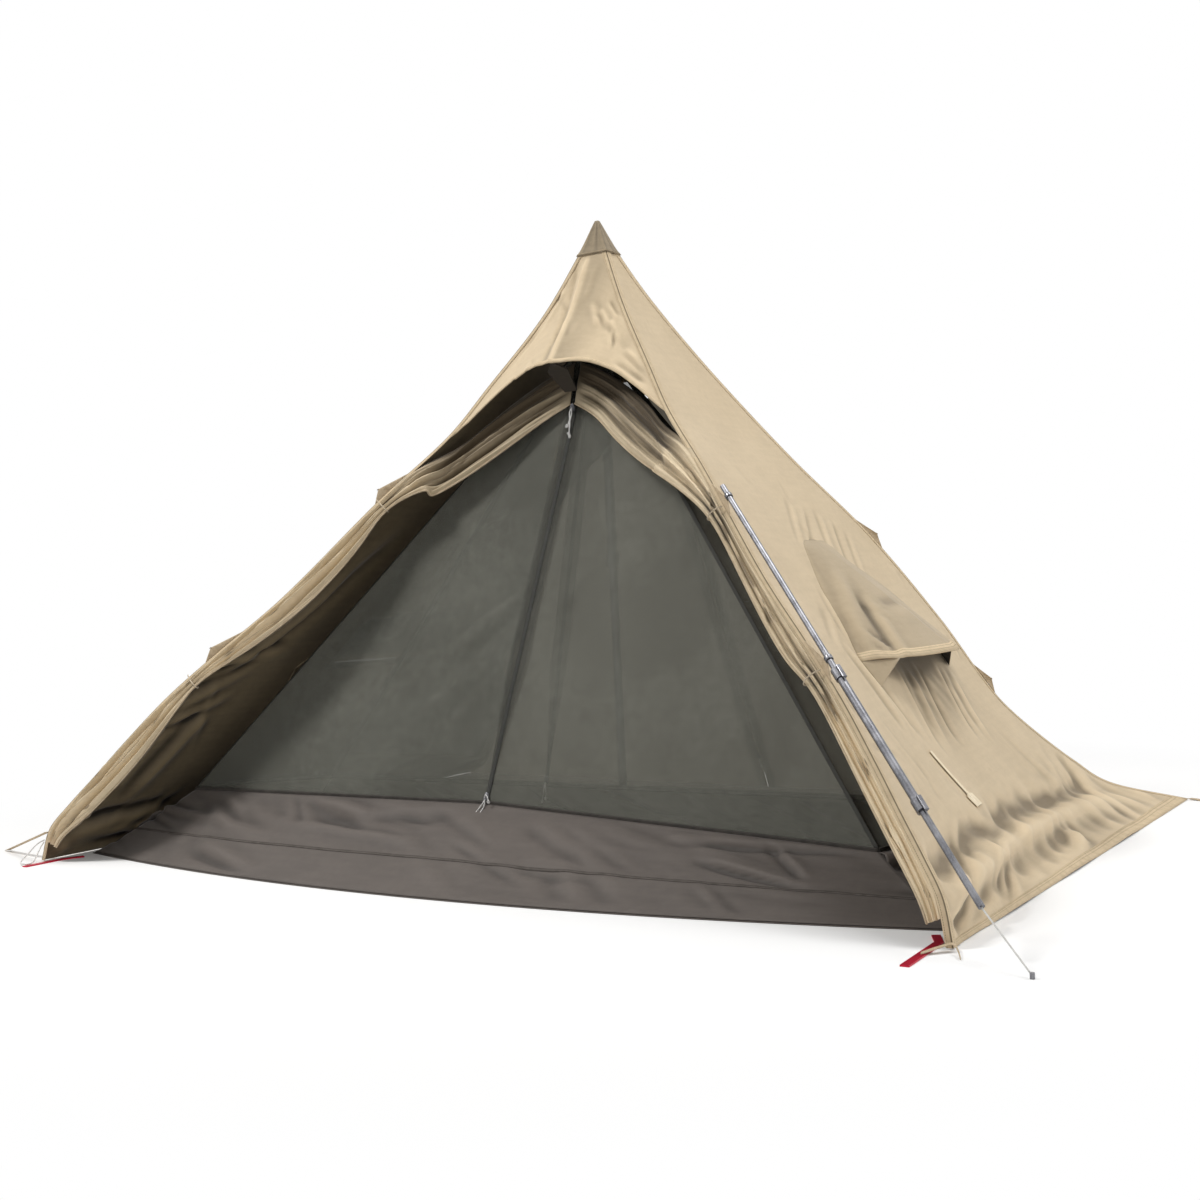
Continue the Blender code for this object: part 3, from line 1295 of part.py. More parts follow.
def make_brow_prop(end, push, inset, name):
    """Flat prop hinged inside a brow's lip, holding it off the tent below."""
    reach = spline_value(FRONT_RIDGE_SHARES if end < 0 else BACK_RIDGE_SHARES, LIP_TOP_SHARE)
    lip_y = end * (HALF_DEPTH * reach + push)
    lip_z = level_height(LIP_TOP_SHARE)
    hinge = Vector((0, lip_y - end * inset, lip_z - PROP_DROP))
    facing = Matrix.Rotation(0 if end < 0 else math.pi, 4, "Z")
    tilt = Matrix.Rotation(-math.radians(PROP_TILT_DEGREES), 4, "X")
    place = Matrix.Translation(hinge) @ facing @ tilt
    made = new_object(name, prop_plate(name), tape_cloth())
    made.matrix_world = place
    across = Matrix.Rotation(math.pi / 2, 4, "Y")
    shape = bmesh.new()
    bmesh.ops.create_cone(
        shape, cap_ends=True, segments=RIDGE_POLE_SIDES, radius1=PROP_BARREL_RADIUS,
        radius2=PROP_BARREL_RADIUS, depth=PROP_NECK, matrix=across,
    )
    barrel = bpy.data.meshes.new(f"{name} barrel")
    shape.to_mesh(barrel)
    shape.free()
    helper = helper_object(f"{name} barrel", barrel)
    helper.matrix_world = place
    combine(made, helper, "UNION")


def main():
    """Build the whole tent."""
    clear_scene()
    make_cap()
    make_hood(-1, FRONT_BROW_PUSH, "front_hood")
    make_hood(1, REAR_BROW_PUSH, "rear_hood")
    for side, word in ((-1, "left"), (1, "right")):
        make_wall(side, f"wall_{word}")
        make_vent_net(side, f"vent_net_{word}")
        make_side_hood(side, f"side_hood_{word}")
        make_rear_panel(side, f"rear_panel_{word}")
        make_leaf(side, f"door_leaf_{word}")
        make_tape(side, -1, f"ridge_tape_front_{word}")
        make_tape(side, 1, f"ridge_tape_back_{word}")
        tie_levels = TIE_LEVELS_LEFT if side < 0 else TIE_LEVELS_RIGHT
        for row, place in zip(tie_levels, ("upper", "lower")):
            make_tie(side, row, f"tie_back_{place}_{word}")
    make_rear_flap()
    make_wall_strap()
    make_inner_net()
    make_floor()
    make_tub()
    make_centre_pole()
    make_ridge_pole()
    make_guy_and_pegs()
    make_corner_straps()
    make_front_slider()
    make_sliders()
    make_brow_prop(-1, FRONT_BROW_PUSH, FRONT_PROP_SET, "brow_prop_front")
    make_brow_prop(1, REAR_BROW_PUSH, REAR_PROP_SET, "brow_prop_rear")


main()
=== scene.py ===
"""Scene of the pyramid tent: fine cloth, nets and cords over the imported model, in a plain pale studio."""

import json
import logging
import math
from dataclasses import dataclass, field, replace
from enum import Enum
from typing import Any, Iterable, Sequence

import bmesh
import bpy
import numpy as np
from mathutils import Matrix, Vector

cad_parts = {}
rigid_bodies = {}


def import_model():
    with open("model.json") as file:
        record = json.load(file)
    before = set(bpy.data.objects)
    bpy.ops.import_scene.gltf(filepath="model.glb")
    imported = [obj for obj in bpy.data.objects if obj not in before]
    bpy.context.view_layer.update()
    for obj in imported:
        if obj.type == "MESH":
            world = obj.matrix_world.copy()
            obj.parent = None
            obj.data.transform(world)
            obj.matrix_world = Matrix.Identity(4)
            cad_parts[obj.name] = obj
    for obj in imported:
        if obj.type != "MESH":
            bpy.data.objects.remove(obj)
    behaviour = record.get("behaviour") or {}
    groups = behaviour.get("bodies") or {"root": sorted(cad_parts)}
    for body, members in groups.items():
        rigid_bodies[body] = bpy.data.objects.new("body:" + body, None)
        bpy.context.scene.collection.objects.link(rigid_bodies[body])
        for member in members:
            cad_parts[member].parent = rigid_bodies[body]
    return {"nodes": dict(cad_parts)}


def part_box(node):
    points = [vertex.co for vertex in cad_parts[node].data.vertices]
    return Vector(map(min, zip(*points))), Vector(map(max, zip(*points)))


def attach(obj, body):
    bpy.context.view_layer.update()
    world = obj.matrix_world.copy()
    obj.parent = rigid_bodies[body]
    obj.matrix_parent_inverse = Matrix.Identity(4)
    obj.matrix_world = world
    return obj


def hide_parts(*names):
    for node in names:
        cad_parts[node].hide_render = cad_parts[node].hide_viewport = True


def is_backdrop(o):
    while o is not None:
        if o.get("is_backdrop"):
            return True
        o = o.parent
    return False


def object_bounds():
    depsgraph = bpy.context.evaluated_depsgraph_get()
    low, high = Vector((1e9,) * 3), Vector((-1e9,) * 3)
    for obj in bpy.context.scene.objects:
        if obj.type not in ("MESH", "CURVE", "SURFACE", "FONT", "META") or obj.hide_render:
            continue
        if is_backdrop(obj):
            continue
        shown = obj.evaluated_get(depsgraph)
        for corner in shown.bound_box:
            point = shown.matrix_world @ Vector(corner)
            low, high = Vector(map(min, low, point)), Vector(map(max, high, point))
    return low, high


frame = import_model()
cad_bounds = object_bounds()

log = logging.getLogger("tent")

Array = np.ndarray
Point = Sequence[float]
Colour = tuple[float, float, float]
Table = Sequence[tuple[float, float]]
Mesh = bpy.types.Mesh

CELL = 0.009
GROUND_GAP = 0.0016
LIP_HEM = 0.012
FOLD_DEPTH = 0.0030
PLY = 0.0012


class Body(str, Enum):
    """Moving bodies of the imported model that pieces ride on."""

    TENT = "tent"
    DOOR_PULL = "door_pull"
    NET_SLIDER = "net_slider"
    NET_BACK_SLIDER = "net_back_slider"
    REAR_SLIDER = "rear_slider"


class Slot(str, Enum):
    """Material slots of the record."""

    FLY = "fly"
    DOOR = "door"
    TAPE = "tape"
    NET = "net"
    TUB = "tub"
    POLE = "pole"
    PLASTIC = "plastic"
    CORD = "cord"
    PEG = "peg"


# Sums on grids of points


def unit(vectors: Array) -> Array:
    """Scale vectors to length one."""
    return vectors / np.maximum(np.linalg.norm(vectors, axis=-1, keepdims=True), 1e-12)


def soft_step(value: Array | float, low: float, high: float) -> Array:
    """Rise smoothly from 0 at low to 1 at high."""
    share = np.clip((np.asarray(value, float) - low) / (high - low), 0, 1)
    return share * share * (3 - 2 * share)


def curve_value(table: Table, position: Array | float) -> Array:
    """Read a smooth curve through pairs that fall in position.

    Args:
        table: (position, value) pairs, the highest position first.
        position: where to read it.

    Returns:
        The values there.
    """
    knots = np.array(table, float)[::-1]
    x, y = knots[:, 0], knots[:, 1]
    slopes = np.empty_like(y)
    slopes[1:-1] = (y[2:] - y[:-2]) / (x[2:] - x[:-2])
    slopes[0] = (y[1] - y[0]) / (x[1] - x[0])
    slopes[-1] = (y[-1] - y[-2]) / (x[-1] - x[-2])
    where = np.clip(position, x[0], x[-1])
    index = np.clip(np.searchsorted(x, where, side="right") - 1, 0, len(x) - 2)
    span = x[index + 1] - x[index]
    t = (where - x[index]) / span
    return (
        (2 * t**3 - 3 * t**2 + 1) * y[index]
        + (t**3 - 2 * t**2 + t) * span * slopes[index]
        + (3 * t**2 - 2 * t**3) * y[index + 1]
        + (t**3 - t**2) * span * slopes[index + 1]
    )


def through(values: Sequence[Any], at: Array) -> Array:
    """Read a smooth line through evenly spaced values.

    Args:
        values: numbers or points, one at each whole position from 0.
        at: the positions to read.

    Returns:
        The values there.
    """
    knots = np.asarray(values, float)
    at = np.asarray(at, float)
    index = np.clip(np.floor(at).astype(int), 0, len(knots) - 2)
    t = (at - index).reshape(at.shape + (1,) * (knots.ndim - 1))
    before, start = knots[np.maximum(index - 1, 0)], knots[index]
    end, after = knots[index + 1], knots[np.minimum(index + 2, len(knots) - 1)]
    slope_in, slope_out = (end - before) / 2, (after - start) / 2
    return (
        (2 * t**3 - 3 * t**2 + 1) * start
        + (t**3 - 2 * t**2 + t) * slope_in
        + (3 * t**2 - 2 * t**3) * end
        + (t**3 - t**2) * slope_out
    )


def resampled(points: Sequence[Point], step: float) -> Array:
    """Spread points evenly along the smooth line through given points.

    Args:
        points: the points that the line passes.
        step: the distance wanted between neighbours.

    Returns:
        Points along the line.
    """
    fine = through(np.asarray(points, float), np.linspace(0, len(points) - 1, 40 * len(points)))
    lengths = np.concatenate([[0], np.cumsum(np.linalg.norm(np.diff(fine, axis=0), axis=1))])
    count = max(3, int(round(lengths[-1] / step)) + 1)
    even = np.linspace(0, lengths[-1], count)
    return np.stack([np.interp(even, lengths, fine[:, axis]) for axis in range(3)], axis=1)


def grid(rows: int, columns: int) -> tuple[Array, Array]:
    """Shares across and down a grid, each from 0 to 1."""
    down, across = np.meshgrid(np.linspace(0, 1, rows), np.linspace(0, 1, columns), indexing="ij")
    return across, down


# Painted shade: this measure of folds and crests is what the cloth finishes darken and lighten.
def cavity(height: Array, rounds: int = 9) -> Array:
    """Measure how far each place stands above or below the places round it.

    Args:
        height: heights on a grid.
        rounds: rounds of smoothing that make the surroundings.

    Returns:
        Values from -1.5 in a deep fold to 1.5 on a sharp crest; 1 stands for FOLD_DEPTH.
    """
    blurred = height
    for _ in range(rounds):
        padded = np.pad(blurred, 1, mode="edge")
        blurred = (padded[:-2, 1:-1] + padded[2:, 1:-1] + padded[1:-1, :-2] + padded[1:-1, 2:] + blurred) / 5
    return np.clip((height - blurred) / FOLD_DEPTH, -1.5, 1.5)


def steps(length: float, cell: float = CELL) -> int:
    """Count of points along a length at the cell size."""
    return max(4, int(math.ceil(length / cell)) + 1)


@dataclass(frozen=True)
class Crease:
    """One fold in a panel, from one place to another in the panel's own coordinates."""

    start: tuple[float, float]
    end: tuple[float, float]
    width: float = 0.012
    depth: float = 0.004

    def height(self, u: Array, v: Array) -> Array:
        """Height of the fold at grid places; it has a ridge with a valley beside it, and fades at both ends.

        Args:
            u: places along the panel's first direction.
            v: places along its second direction.

        Returns:
            The heights.
        """
        start, run = np.array(self.start), np.array(self.end) - np.array(self.start)
        length = float(np.linalg.norm(run)) or 1e-6
        along = ((u - start[0]) * run[0] + (v - start[1]) * run[1]) / length**2
        aside = ((u - start[0]) * run[1] - (v - start[1]) * run[0]) / length / self.width
        fade = soft_step(along, -0.05, 0.25) * (1 - soft_step(along, 0.65, 1.05))
        return self.depth * fade * (np.exp(-(aside**2)) - 0.55 * np.exp(-((aside - 1.7) ** 2)))


@dataclass(frozen=True)
class Wrinkles:
    """Scattered small creases and slow waves over a panel."""

    seed: int
    count: int = 60
    length: tuple[float, float] = (0.05, 0.22)
    width: tuple[float, float] = (0.006, 0.020)
    depth: float = 0.0022
    angle: float = 1.2
    spread: float = 0.7
    waves: float = 0.0020
    wave_length: float = 0.30

    def height(self, u: Array, v: Array) -> Array:
        """Sum of the creases and waves at grid places.

        Args:
            u: places along the panel's first direction.
            v: places along its second direction.

        Returns:
            The heights.
        """
        random = np.random.default_rng(self.seed)
        total = np.zeros_like(u)
        low_u, high_u, low_v, high_v = u.min(), u.max(), v.min(), v.max()
        for _ in range(self.count):
            middle = np.array([random.uniform(low_u, high_u), random.uniform(low_v, high_v)])
            turn = random.normal(self.angle, self.spread)
            half = random.uniform(*self.length) / 2 * np.array([math.cos(turn), math.sin(turn)])
            width, depth = random.uniform(*self.width), random.normal(0, self.depth)
            total += Crease(tuple(middle - half), tuple(middle + half), width, depth).height(u, v)
        for _ in range(6):
            turn, phase = random.uniform(0, math.pi), random.uniform(0, 2 * math.pi)
            pace = 2 * math.pi / (self.wave_length * random.uniform(0.6, 1.6))
            total += self.waves / 2.4 * np.sin((u * math.cos(turn) + v * math.sin(turn)) * pace + phase)
        return total


# Shaders


class Wire:
    """A shader value that can be used in sums."""

    def __init__(self, graph: "Graph", socket: bpy.types.NodeSocket) -> None:
        """Keep the socket and the graph that it belongs to."""
        self.graph = graph
        self.socket = socket

    def _sum(self, operation: str, first: Any, second: Any = None) -> "Wire":
        """Add one maths node and return its value."""
        inputs = {index: value for index, value in enumerate((first, second)) if value is not None}
        return self.graph.node("ShaderNodeMath", {"operation": operation}, inputs)[0]

    def __add__(self, other: Any) -> "Wire":
        """This value plus another."""
        return self._sum("ADD", self, other)

    def __radd__(self, other: Any) -> "Wire":
        """Another value plus this one."""
        return self._sum("ADD", other, self)

    def __sub__(self, other: Any) -> "Wire":
        """This value less another."""
        return self._sum("SUBTRACT", self, other)

    def __rsub__(self, other: Any) -> "Wire":
        """Another value less this one."""
        return self._sum("SUBTRACT", other, self)

    def __mul__(self, other: Any) -> "Wire":
        """This value times another."""
        return self._sum("MULTIPLY", self, other)

    def __rmul__(self, other: Any) -> "Wire":
        """Another value times this one."""
        return self._sum("MULTIPLY", other, self)

    def __truediv__(self, other: Any) -> "Wire":
        """This value over another."""
        return self._sum("DIVIDE", self, other)

    def __rtruediv__(self, other: Any) -> "Wire":
        """Another value over this one."""
        return self._sum("DIVIDE", other, self)

    def size(self) -> "Wire":
        """This value without its sign."""
        return self._sum("ABSOLUTE", self)

    def wave(self) -> "Wire":
        """Sine of this value."""
        return self._sum("SINE", self)

    def whole_part_off(self) -> "Wire":
        """What is left of this value above the whole number below it."""
        return self._sum("FRACT", self)

    def above(self, limit: Any) -> "Wire":
        """1 where this value is above the limit, else 0."""
        return self._sum("GREATER_THAN", self, limit)

    def within(self, low: float, high: float) -> "Wire":
        """This value held between two limits."""
        return self._sum("MINIMUM", self._sum("MAXIMUM", self, low), high)

    def eased(self, low: float, high: float) -> "Wire":
        """Smooth rise from 0 at low to 1 at high."""
        settings = {"interpolation_type": "SMOOTHSTEP"}
        return self.graph.node("ShaderNodeMapRange", settings, {"Value": self, 1: low, 2: high})[0]


class Graph:
    """The shader nodes of one material or world."""

    def __init__(self, owner: Any) -> None:
        """Start an empty node tree on a material or a world.

        Args:
            owner: a material or a world.
        """
        owner.use_nodes = True
        self.tree = owner.node_tree
        self.tree.nodes.clear()

    def node(
        self, kind: str, settings: dict[str, Any] | None = None, inputs: dict[Any, Any] | None = None,
    ) -> list[Wire]:
        """Add a node, with its settings made before its inputs.

        Args:
            kind: type name of the node.
            settings: properties to set.
            inputs: values or links by socket name or number.

        Returns:
            The node's outputs.
        """
        made = self.tree.nodes.new(kind)
        for name, value in (settings or {}).items():
            setattr(made, name, value)
        for key, value in (inputs or {}).items():
            if isinstance(value, Wire):
                self.tree.links.new(value.socket, made.inputs[key])
            elif isinstance(value, tuple) and len(value) == 3 and made.inputs[key].type == "RGBA":
                made.inputs[key].default_value = (*value, 1.0)
            else:
                made.inputs[key].default_value = value
        return [Wire(self, socket) for socket in made.outputs]

    def mix(self, first: Any, second: Any, factor: Any) -> Wire:
        """Blend two colours."""
        return self.node("ShaderNodeMix", {"data_type": "RGBA"}, {0: factor, 6: first, 7: second})[2]

    def noise(self, place: Wire, scale: float, detail: float = 2.0, roughness: float = 0.5) -> Wire:
        """Noise value at a place."""
        inputs = {"Vector": place, "Scale": scale, "Detail": detail, "Roughness": roughness}
        return self.node("ShaderNodeTexNoise", {"noise_dimensions": "3D"}, inputs)[0]

    def stretched(self, place: Wire, scale: Point) -> Wire:
        """Place multiplied along each axis."""
        return self.node("ShaderNodeVectorMath", {"operation": "MULTIPLY"}, {0: place, 1: tuple(scale)})[0]

    def bump(self, height: Wire, distance: float, strength: float = 1.0) -> Wire:
        """Normal bent by a height."""
        inputs = {"Height": height, "Distance": distance, "Strength": strength}
        return self.node("ShaderNodeBump", None, inputs)[0]

    def coordinates(self) -> tuple[Wire, Wire, Wire, Wire]:
        """Read where a point of the surface lies.

        Returns:
            Its two cloth coordinates, both as one vector, and its place in the object.
        """
        outputs = self.node("ShaderNodeTexCoord")
        parts = self.node("ShaderNodeSeparateXYZ", None, {0: outputs[2]})
        return parts[0], parts[1], outputs[2], outputs[3]

    def principled(self, **inputs: Any) -> None:
        """Add the surface shader and join it to the output.

        Args:
            inputs: its inputs by name, with _ for a space.
        """
        named = {name.replace("_", " "): value for name, value in inputs.items()}
        shader = self.node("ShaderNodeBsdfPrincipled", None, named)[0]
        self.node("ShaderNodeOutputMaterial", None, {"Surface": shader})


@dataclass(frozen=True)
class Finish:
    """Base of every finish: a name and a way to make its material once."""

    name: str

    def material(self) -> bpy.types.Material:
        """Return the finish's material, made at its first use.

        Returns:
            The material.
        """
        found = bpy.data.materials.get(self.name)
        if found is None:
            found = bpy.data.materials.new(self.name)
            self.paint(Graph(found))
        return found

    def paint(self, graph: Graph) -> None:
        """Build the shader."""
        raise NotImplementedError


@dataclass(frozen=True)
class ClothFinish(Finish):
    """Woven coated cloth with a soft mottle, painted shade in its folds and a painted highlight on its crests.
    """

    light: Colour = (0.66, 0.53, 0.355)
    dark: Colour = (0.56, 0.445, 0.29)
    roughness: float = 0.72
    yarn: float = 0.0011
    mottle: float = 5.0
    stain: float = 0.06
    # glow paints light coming through the cloth as emission; doubled paints the storm flap's shadow as a dark
    # strip in that glow
    glow: float = 0.0
    doubled: float = 0.0
    fold_side: float = 1.0
    fold_shade: float = 0.52
    fold_light: float = 0.40
    deepest: Colour = (0.11, 0.092, 0.066)
    crest_highlight: float = 1.28
    palest: float = 0.86
    fold_limit: float = 1.3

    def paint(self, graph: Graph) -> None:
        """Mottle, fine weave, faint handling marks, painted shade and highlight of the folds, and a painted glow
        for daylight through the cloth.

        Args:
            graph: where its nodes go.
        """
        u, v, cloth, place = graph.coordinates()
        broad = graph.noise(place, self.mottle, 3.0, 0.55)
        small = graph.noise(place, self.mottle * 14, 3.0, 0.6)
        streak = graph.noise(graph.stretched(cloth, (9.0, 70.0, 1.0)), 1.0, 2.0)
        blend = (broad * 0.55 + small * 0.30 + streak * 0.25).eased(0.30, 0.80)
        tone = graph.mix(self.dark, self.light, blend)
        marks = graph.noise(place, self.mottle * 3.1, 4.0, 0.65).eased(0.60, 0.78)
        darker = tuple(part * 0.80 for part in self.dark)
        tone = graph.mix(tone, darker, marks * self.stain * 4)
        # Painted shade in the folds and painted highlight on the crests, read from the fold attribute.
        fold = graph.node("ShaderNodeAttribute", {"attribute_name": "fold"})[2] * self.fold_side
        deepest = tuple(part * share for part, share in zip(self.dark, self.deepest))
        tone = graph.mix(tone, deepest, (0.0 - fold).within(0.0, self.fold_limit) * self.fold_shade)
        palest = tuple(min(part * self.crest_highlight, self.palest) for part in self.light)
        tone = graph.mix(tone, palest, fold.within(0.0, self.fold_limit) * self.fold_light)
        pace = 2 * math.pi / self.yarn
        weave = (u * pace).wave() * (v * pace).wave() * 0.5 + 0.5
        relief = weave * 0.5 + small * 0.4
        inputs = {"Base_Color": tone, "Roughness": broad * 0.10 + (self.roughness - 0.05)}
        # Painted light: the cloth glows as if daylight came through it, with a painted shadow along the doubled
        # strip.
        if self.glow:
            painted_glow_colour = tone
            if self.doubled:
                strip = 1 - u.size().eased(self.doubled, self.doubled + 0.004)
                painted_glow_colour = graph.mix(tone, (0.0, 0.0, 0.0), strip * 0.8)
            inputs |= {"Emission_Color": painted_glow_colour, "Emission_Strength": self.glow}
        graph.principled(
            **inputs, Sheen_Weight=0.15, Sheen_Roughness=0.5, Specular_IOR_Level=0.28,
            Normal=graph.bump(relief, 0.00025, 0.55),
        )


@dataclass(frozen=True)
class SeamFinish(Finish):
    """Doubled cloth or tape with rows of stitches along its length."""

    light: Colour = (0.60, 0.47, 0.31)
    dark: Colour = (0.42, 0.32, 0.20)
    thread: Colour = (0.30, 0.23, 0.14)
    pitch: float = 0.0042
    rib_pitch: float = 0.0009
    rows: tuple[float, ...] = (0.0025, 0.0065)
    fold_line: float = 0.0
    roughness: float = 0.75

    def paint(self, graph: Graph) -> None:
        """Tape colour, dark edges of the fold and dashed rows of thread.

        Args:
            graph: where its nodes go.
        """
        u, v, _, place = graph.coordinates()
        mottle = graph.noise(place, 60.0, 3.0)
        tone = graph.mix(self.dark, self.light, mottle.eased(0.25, 0.65))
        dash = (v / self.pitch).whole_part_off().above(0.28)
        stitches = sum((1 - (u.size() - row).size().eased(0.0002, 0.0006)) * dash for row in self.rows)
        rib = (v * (2 * math.pi / self.rib_pitch)).wave() * 0.5 + 0.5
        relief = rib * 0.3 + mottle * 0.2 + stitches * 0.8
        tone = graph.mix(tone, self.thread, stitches.within(0.0, 1.0))
        if self.fold_line:
            fold = 1 - u.size().eased(self.fold_line * 0.4, self.fold_line * 1.4)
            tone = graph.mix(tone, self.thread, fold * 0.9)
            relief = relief - fold
        graph.principled(
            Base_Color=tone, Roughness=mottle * 0.1 + self.roughness - 0.05,
            Specular_IOR_Level=0.25, Normal=graph.bump(relief, 0.0003, 0.6),
        )


@dataclass(frozen=True)
class NetFinish(Finish):
    """Fine net that lets part of the light through, with its mesh in the alpha."""

    light: Colour = (0.245, 0.245, 0.210)
    dark: Colour = (0.192, 0.192, 0.164)
    cover: float = 0.50
    hole: float = 0.0013
    gather_and_shade: float = 0.0

    def paint(self, graph: Graph) -> None:
        """Grey threads over holes, a little denser in broad patches.

        Args:
            graph: where its nodes go.
        """
        u, v, _, place = graph.coordinates()
        broad, fine = graph.noise(place, 3.0, 3.0), graph.noise(place, 45.0, 2.0)
        pace = 2 * math.pi / self.hole
        mesh = (u * pace).wave() * (v * pace).wave()
        alpha = (mesh * 0.12 + broad * 0.10 + fine * 0.04 + (self.cover - 0.07)).within(0.3, 0.95)
        tone = graph.mix(self.dark, self.light, (broad * 0.7 + fine * 0.3).eased(0.3, 0.7))
        # Denser where the net gathers by its free edge, and darkened there as a painted shade of its folds.
        if self.gather_and_shade:
            dense = 1 - u.size().eased(0.0, self.gather_and_shade)
            alpha = (alpha + dense * 0.40).within(0.2, 0.95)
            tone = graph.mix(tone, tuple(part * 0.42 for part in self.dark), dense * 0.75)
        graph.principled(Base_Color=tone, Roughness=0.85, Alpha=alpha, Specular_IOR_Level=0.12)


@dataclass(frozen=True)
class MetalFinish(Finish):
    """Drawn metal tube with fine scratches, or painted metal where metallic is low."""

    light: Colour = (0.25, 0.25, 0.265)
    dark: Colour = (0.09, 0.09, 0.10)
    metallic: float = 1.0
    roughness: float = 0.30

    def paint(self, graph: Graph) -> None:
        """Cloudy tone, fine scratches and slight dents.

        Args:
            graph: where its nodes go.
        """
        place = graph.node("ShaderNodeTexCoord")[3]
        cloud = graph.noise(place, 28.0, 4.0, 0.6)
        scratch = graph.noise(graph.stretched(place, (900.0, 900.0, 60.0)), 1.0, 2.0)
        tone = graph.mix(self.dark, self.light, (cloud * 0.6 + scratch * 0.4).eased(0.25, 0.7))
        rough = (cloud * 0.22 + scratch * 0.12 + self.roughness - 0.15).within(0.08, 0.9)
        graph.principled(
            Base_Color=tone, Roughness=rough, Metallic=self.metallic,
            Normal=graph.bump(scratch * 0.5 + cloud * 0.5, 0.0002, 0.3),
        )


@dataclass(frozen=True)
class CordFinish(Finish):
    """Braided cord: strands that cross along its length."""

    light: Colour = (0.74, 0.73, 0.70)
    dark: Colour = (0.40, 0.39, 0.37)
    pitch: float = 0.0022

    def paint(self, graph: Graph) -> None:
        """Crossing strands, from the length and the turn round the cord.

        Args:
            graph: where its nodes go.
        """
        u, v, _, place = graph.coordinates()
        along = u * (2 * math.pi / self.pitch)
        turn = v * (8 * math.pi)
        braid = (along + turn).wave() * (along - turn).wave() * 0.5 + 0.5
        grime = graph.noise(place, 90.0, 3.0)
        tone = graph.mix(self.dark, self.light, (braid * 0.6 + grime * 0.6).eased(0.15, 0.75))
        graph.principled(
            Base_Color=tone, Roughness=grime * 0.1 + 0.75, Sheen_Weight=0.2,
            Normal=graph.bump(braid, 0.0003, 0.6),
        )


@dataclass(frozen=True)
class PlasticFinish(Finish):
    """Moulded or nylon part with a fine grain."""

    light: Colour = (0.035, 0.035, 0.035)
    dark: Colour = (0.018, 0.018, 0.018)
    roughness: float = 0.5

    def paint(self, graph: Graph) -> None:
        """Grain and slight rubbing.

        Args:
            graph: where its nodes go.
        """
        place = graph.node("ShaderNodeTexCoord")[3]
        grain = graph.noise(place, 700.0, 2.0)
        cloud = graph.noise(place, 40.0, 3.0)
        tone = graph.mix(self.dark, self.light, cloud.eased(0.3, 0.7))
        graph.principled(
            Base_Color=tone, Roughness=cloud * 0.2 + self.roughness - 0.1,
            Normal=graph.bump(grain, 0.0001, 0.4),
        )


@dataclass(frozen=True)
class ZipFinish(Finish):
    """Zip tape with its coil down the middle and stitching near the edges."""

    tape: Colour = (0.030, 0.030, 0.027)
    edge: Colour = (0.012, 0.012, 0.011)
    half_width: float = 0.006
    tooth: float = 0.0022

    def paint(self, graph: Graph) -> None:
        """Dark edges, a lighter middle and the ribs of the coil.

        Args:
            graph: where its nodes go.
        """
        u, v, *_ = graph.coordinates()
        aside = u.size()
        rim = aside.eased(self.half_width * 0.45, self.half_width * 0.75)
        coil = 1 - aside.eased(0.0016, 0.0024)
        teeth = (v * (2 * math.pi / self.tooth)).wave() * 0.5 + 0.5
        tone = graph.mix(self.tape, self.edge, rim)
        tone = graph.mix(tone, self.edge, coil * teeth)
        relief = coil * (teeth * 0.6 + 0.6) + rim * 0.2
        graph.principled(Base_Color=tone, Roughness=0.6 + rim * 0.1, Normal=graph.bump(relief, 0.0005, 0.7))


FLY = ClothFinish("fly cloth")
# Painted shade: the fly cloth darkened for its inner side, which lies in shade.
FLY_INSIDE_SHADE = ClothFinish(
    "fly cloth inner side painted shade", light=(0.175, 0.133, 0.076), dark=(0.118, 0.089, 0.050), roughness=0.62,
    stain=0.03, fold_side=-1.0, fold_shade=0.75, fold_light=0.75,
)
# Painted shade: the fly cloth darker on the side hoods, which lean away from the light.
SIDE_HOOD_SHADE = ClothFinish(
    "side hood cloth painted shade", light=(0.455, 0.363, 0.240), dark=(0.385, 0.304, 0.196), fold_shade=0.6,
)
# Painted shadow: the inner side of the hoods made near black for the shadow under their lips.
HOOD_INSIDE_SHADOW = ClothFinish(
    "hood inner side painted shadow", light=(0.014, 0.011, 0.007), dark=(0.007, 0.0055, 0.0035), roughness=0.8, stain=0.02,
)
# Painted shade and light: the rear panels' inner side darker than the fly cloth, glowing as if daylight came
# through it.
REAR_INSIDE_SHADE_GLOW = ClothFinish(
    "rear cloth inner side painted shade and glow", light=(0.30, 0.27, 0.22), dark=(0.23, 0.205, 0.165), roughness=0.62,
    stain=0.03, glow=0.24, doubled=0.026, fold_side=-1.0, fold_shade=0.3,
)
DOOR = ClothFinish(
    "door cloth", light=(0.66, 0.545, 0.375), dark=(0.54, 0.43, 0.28), mottle=7.0,
    fold_shade=0.74, fold_light=0.7,
)
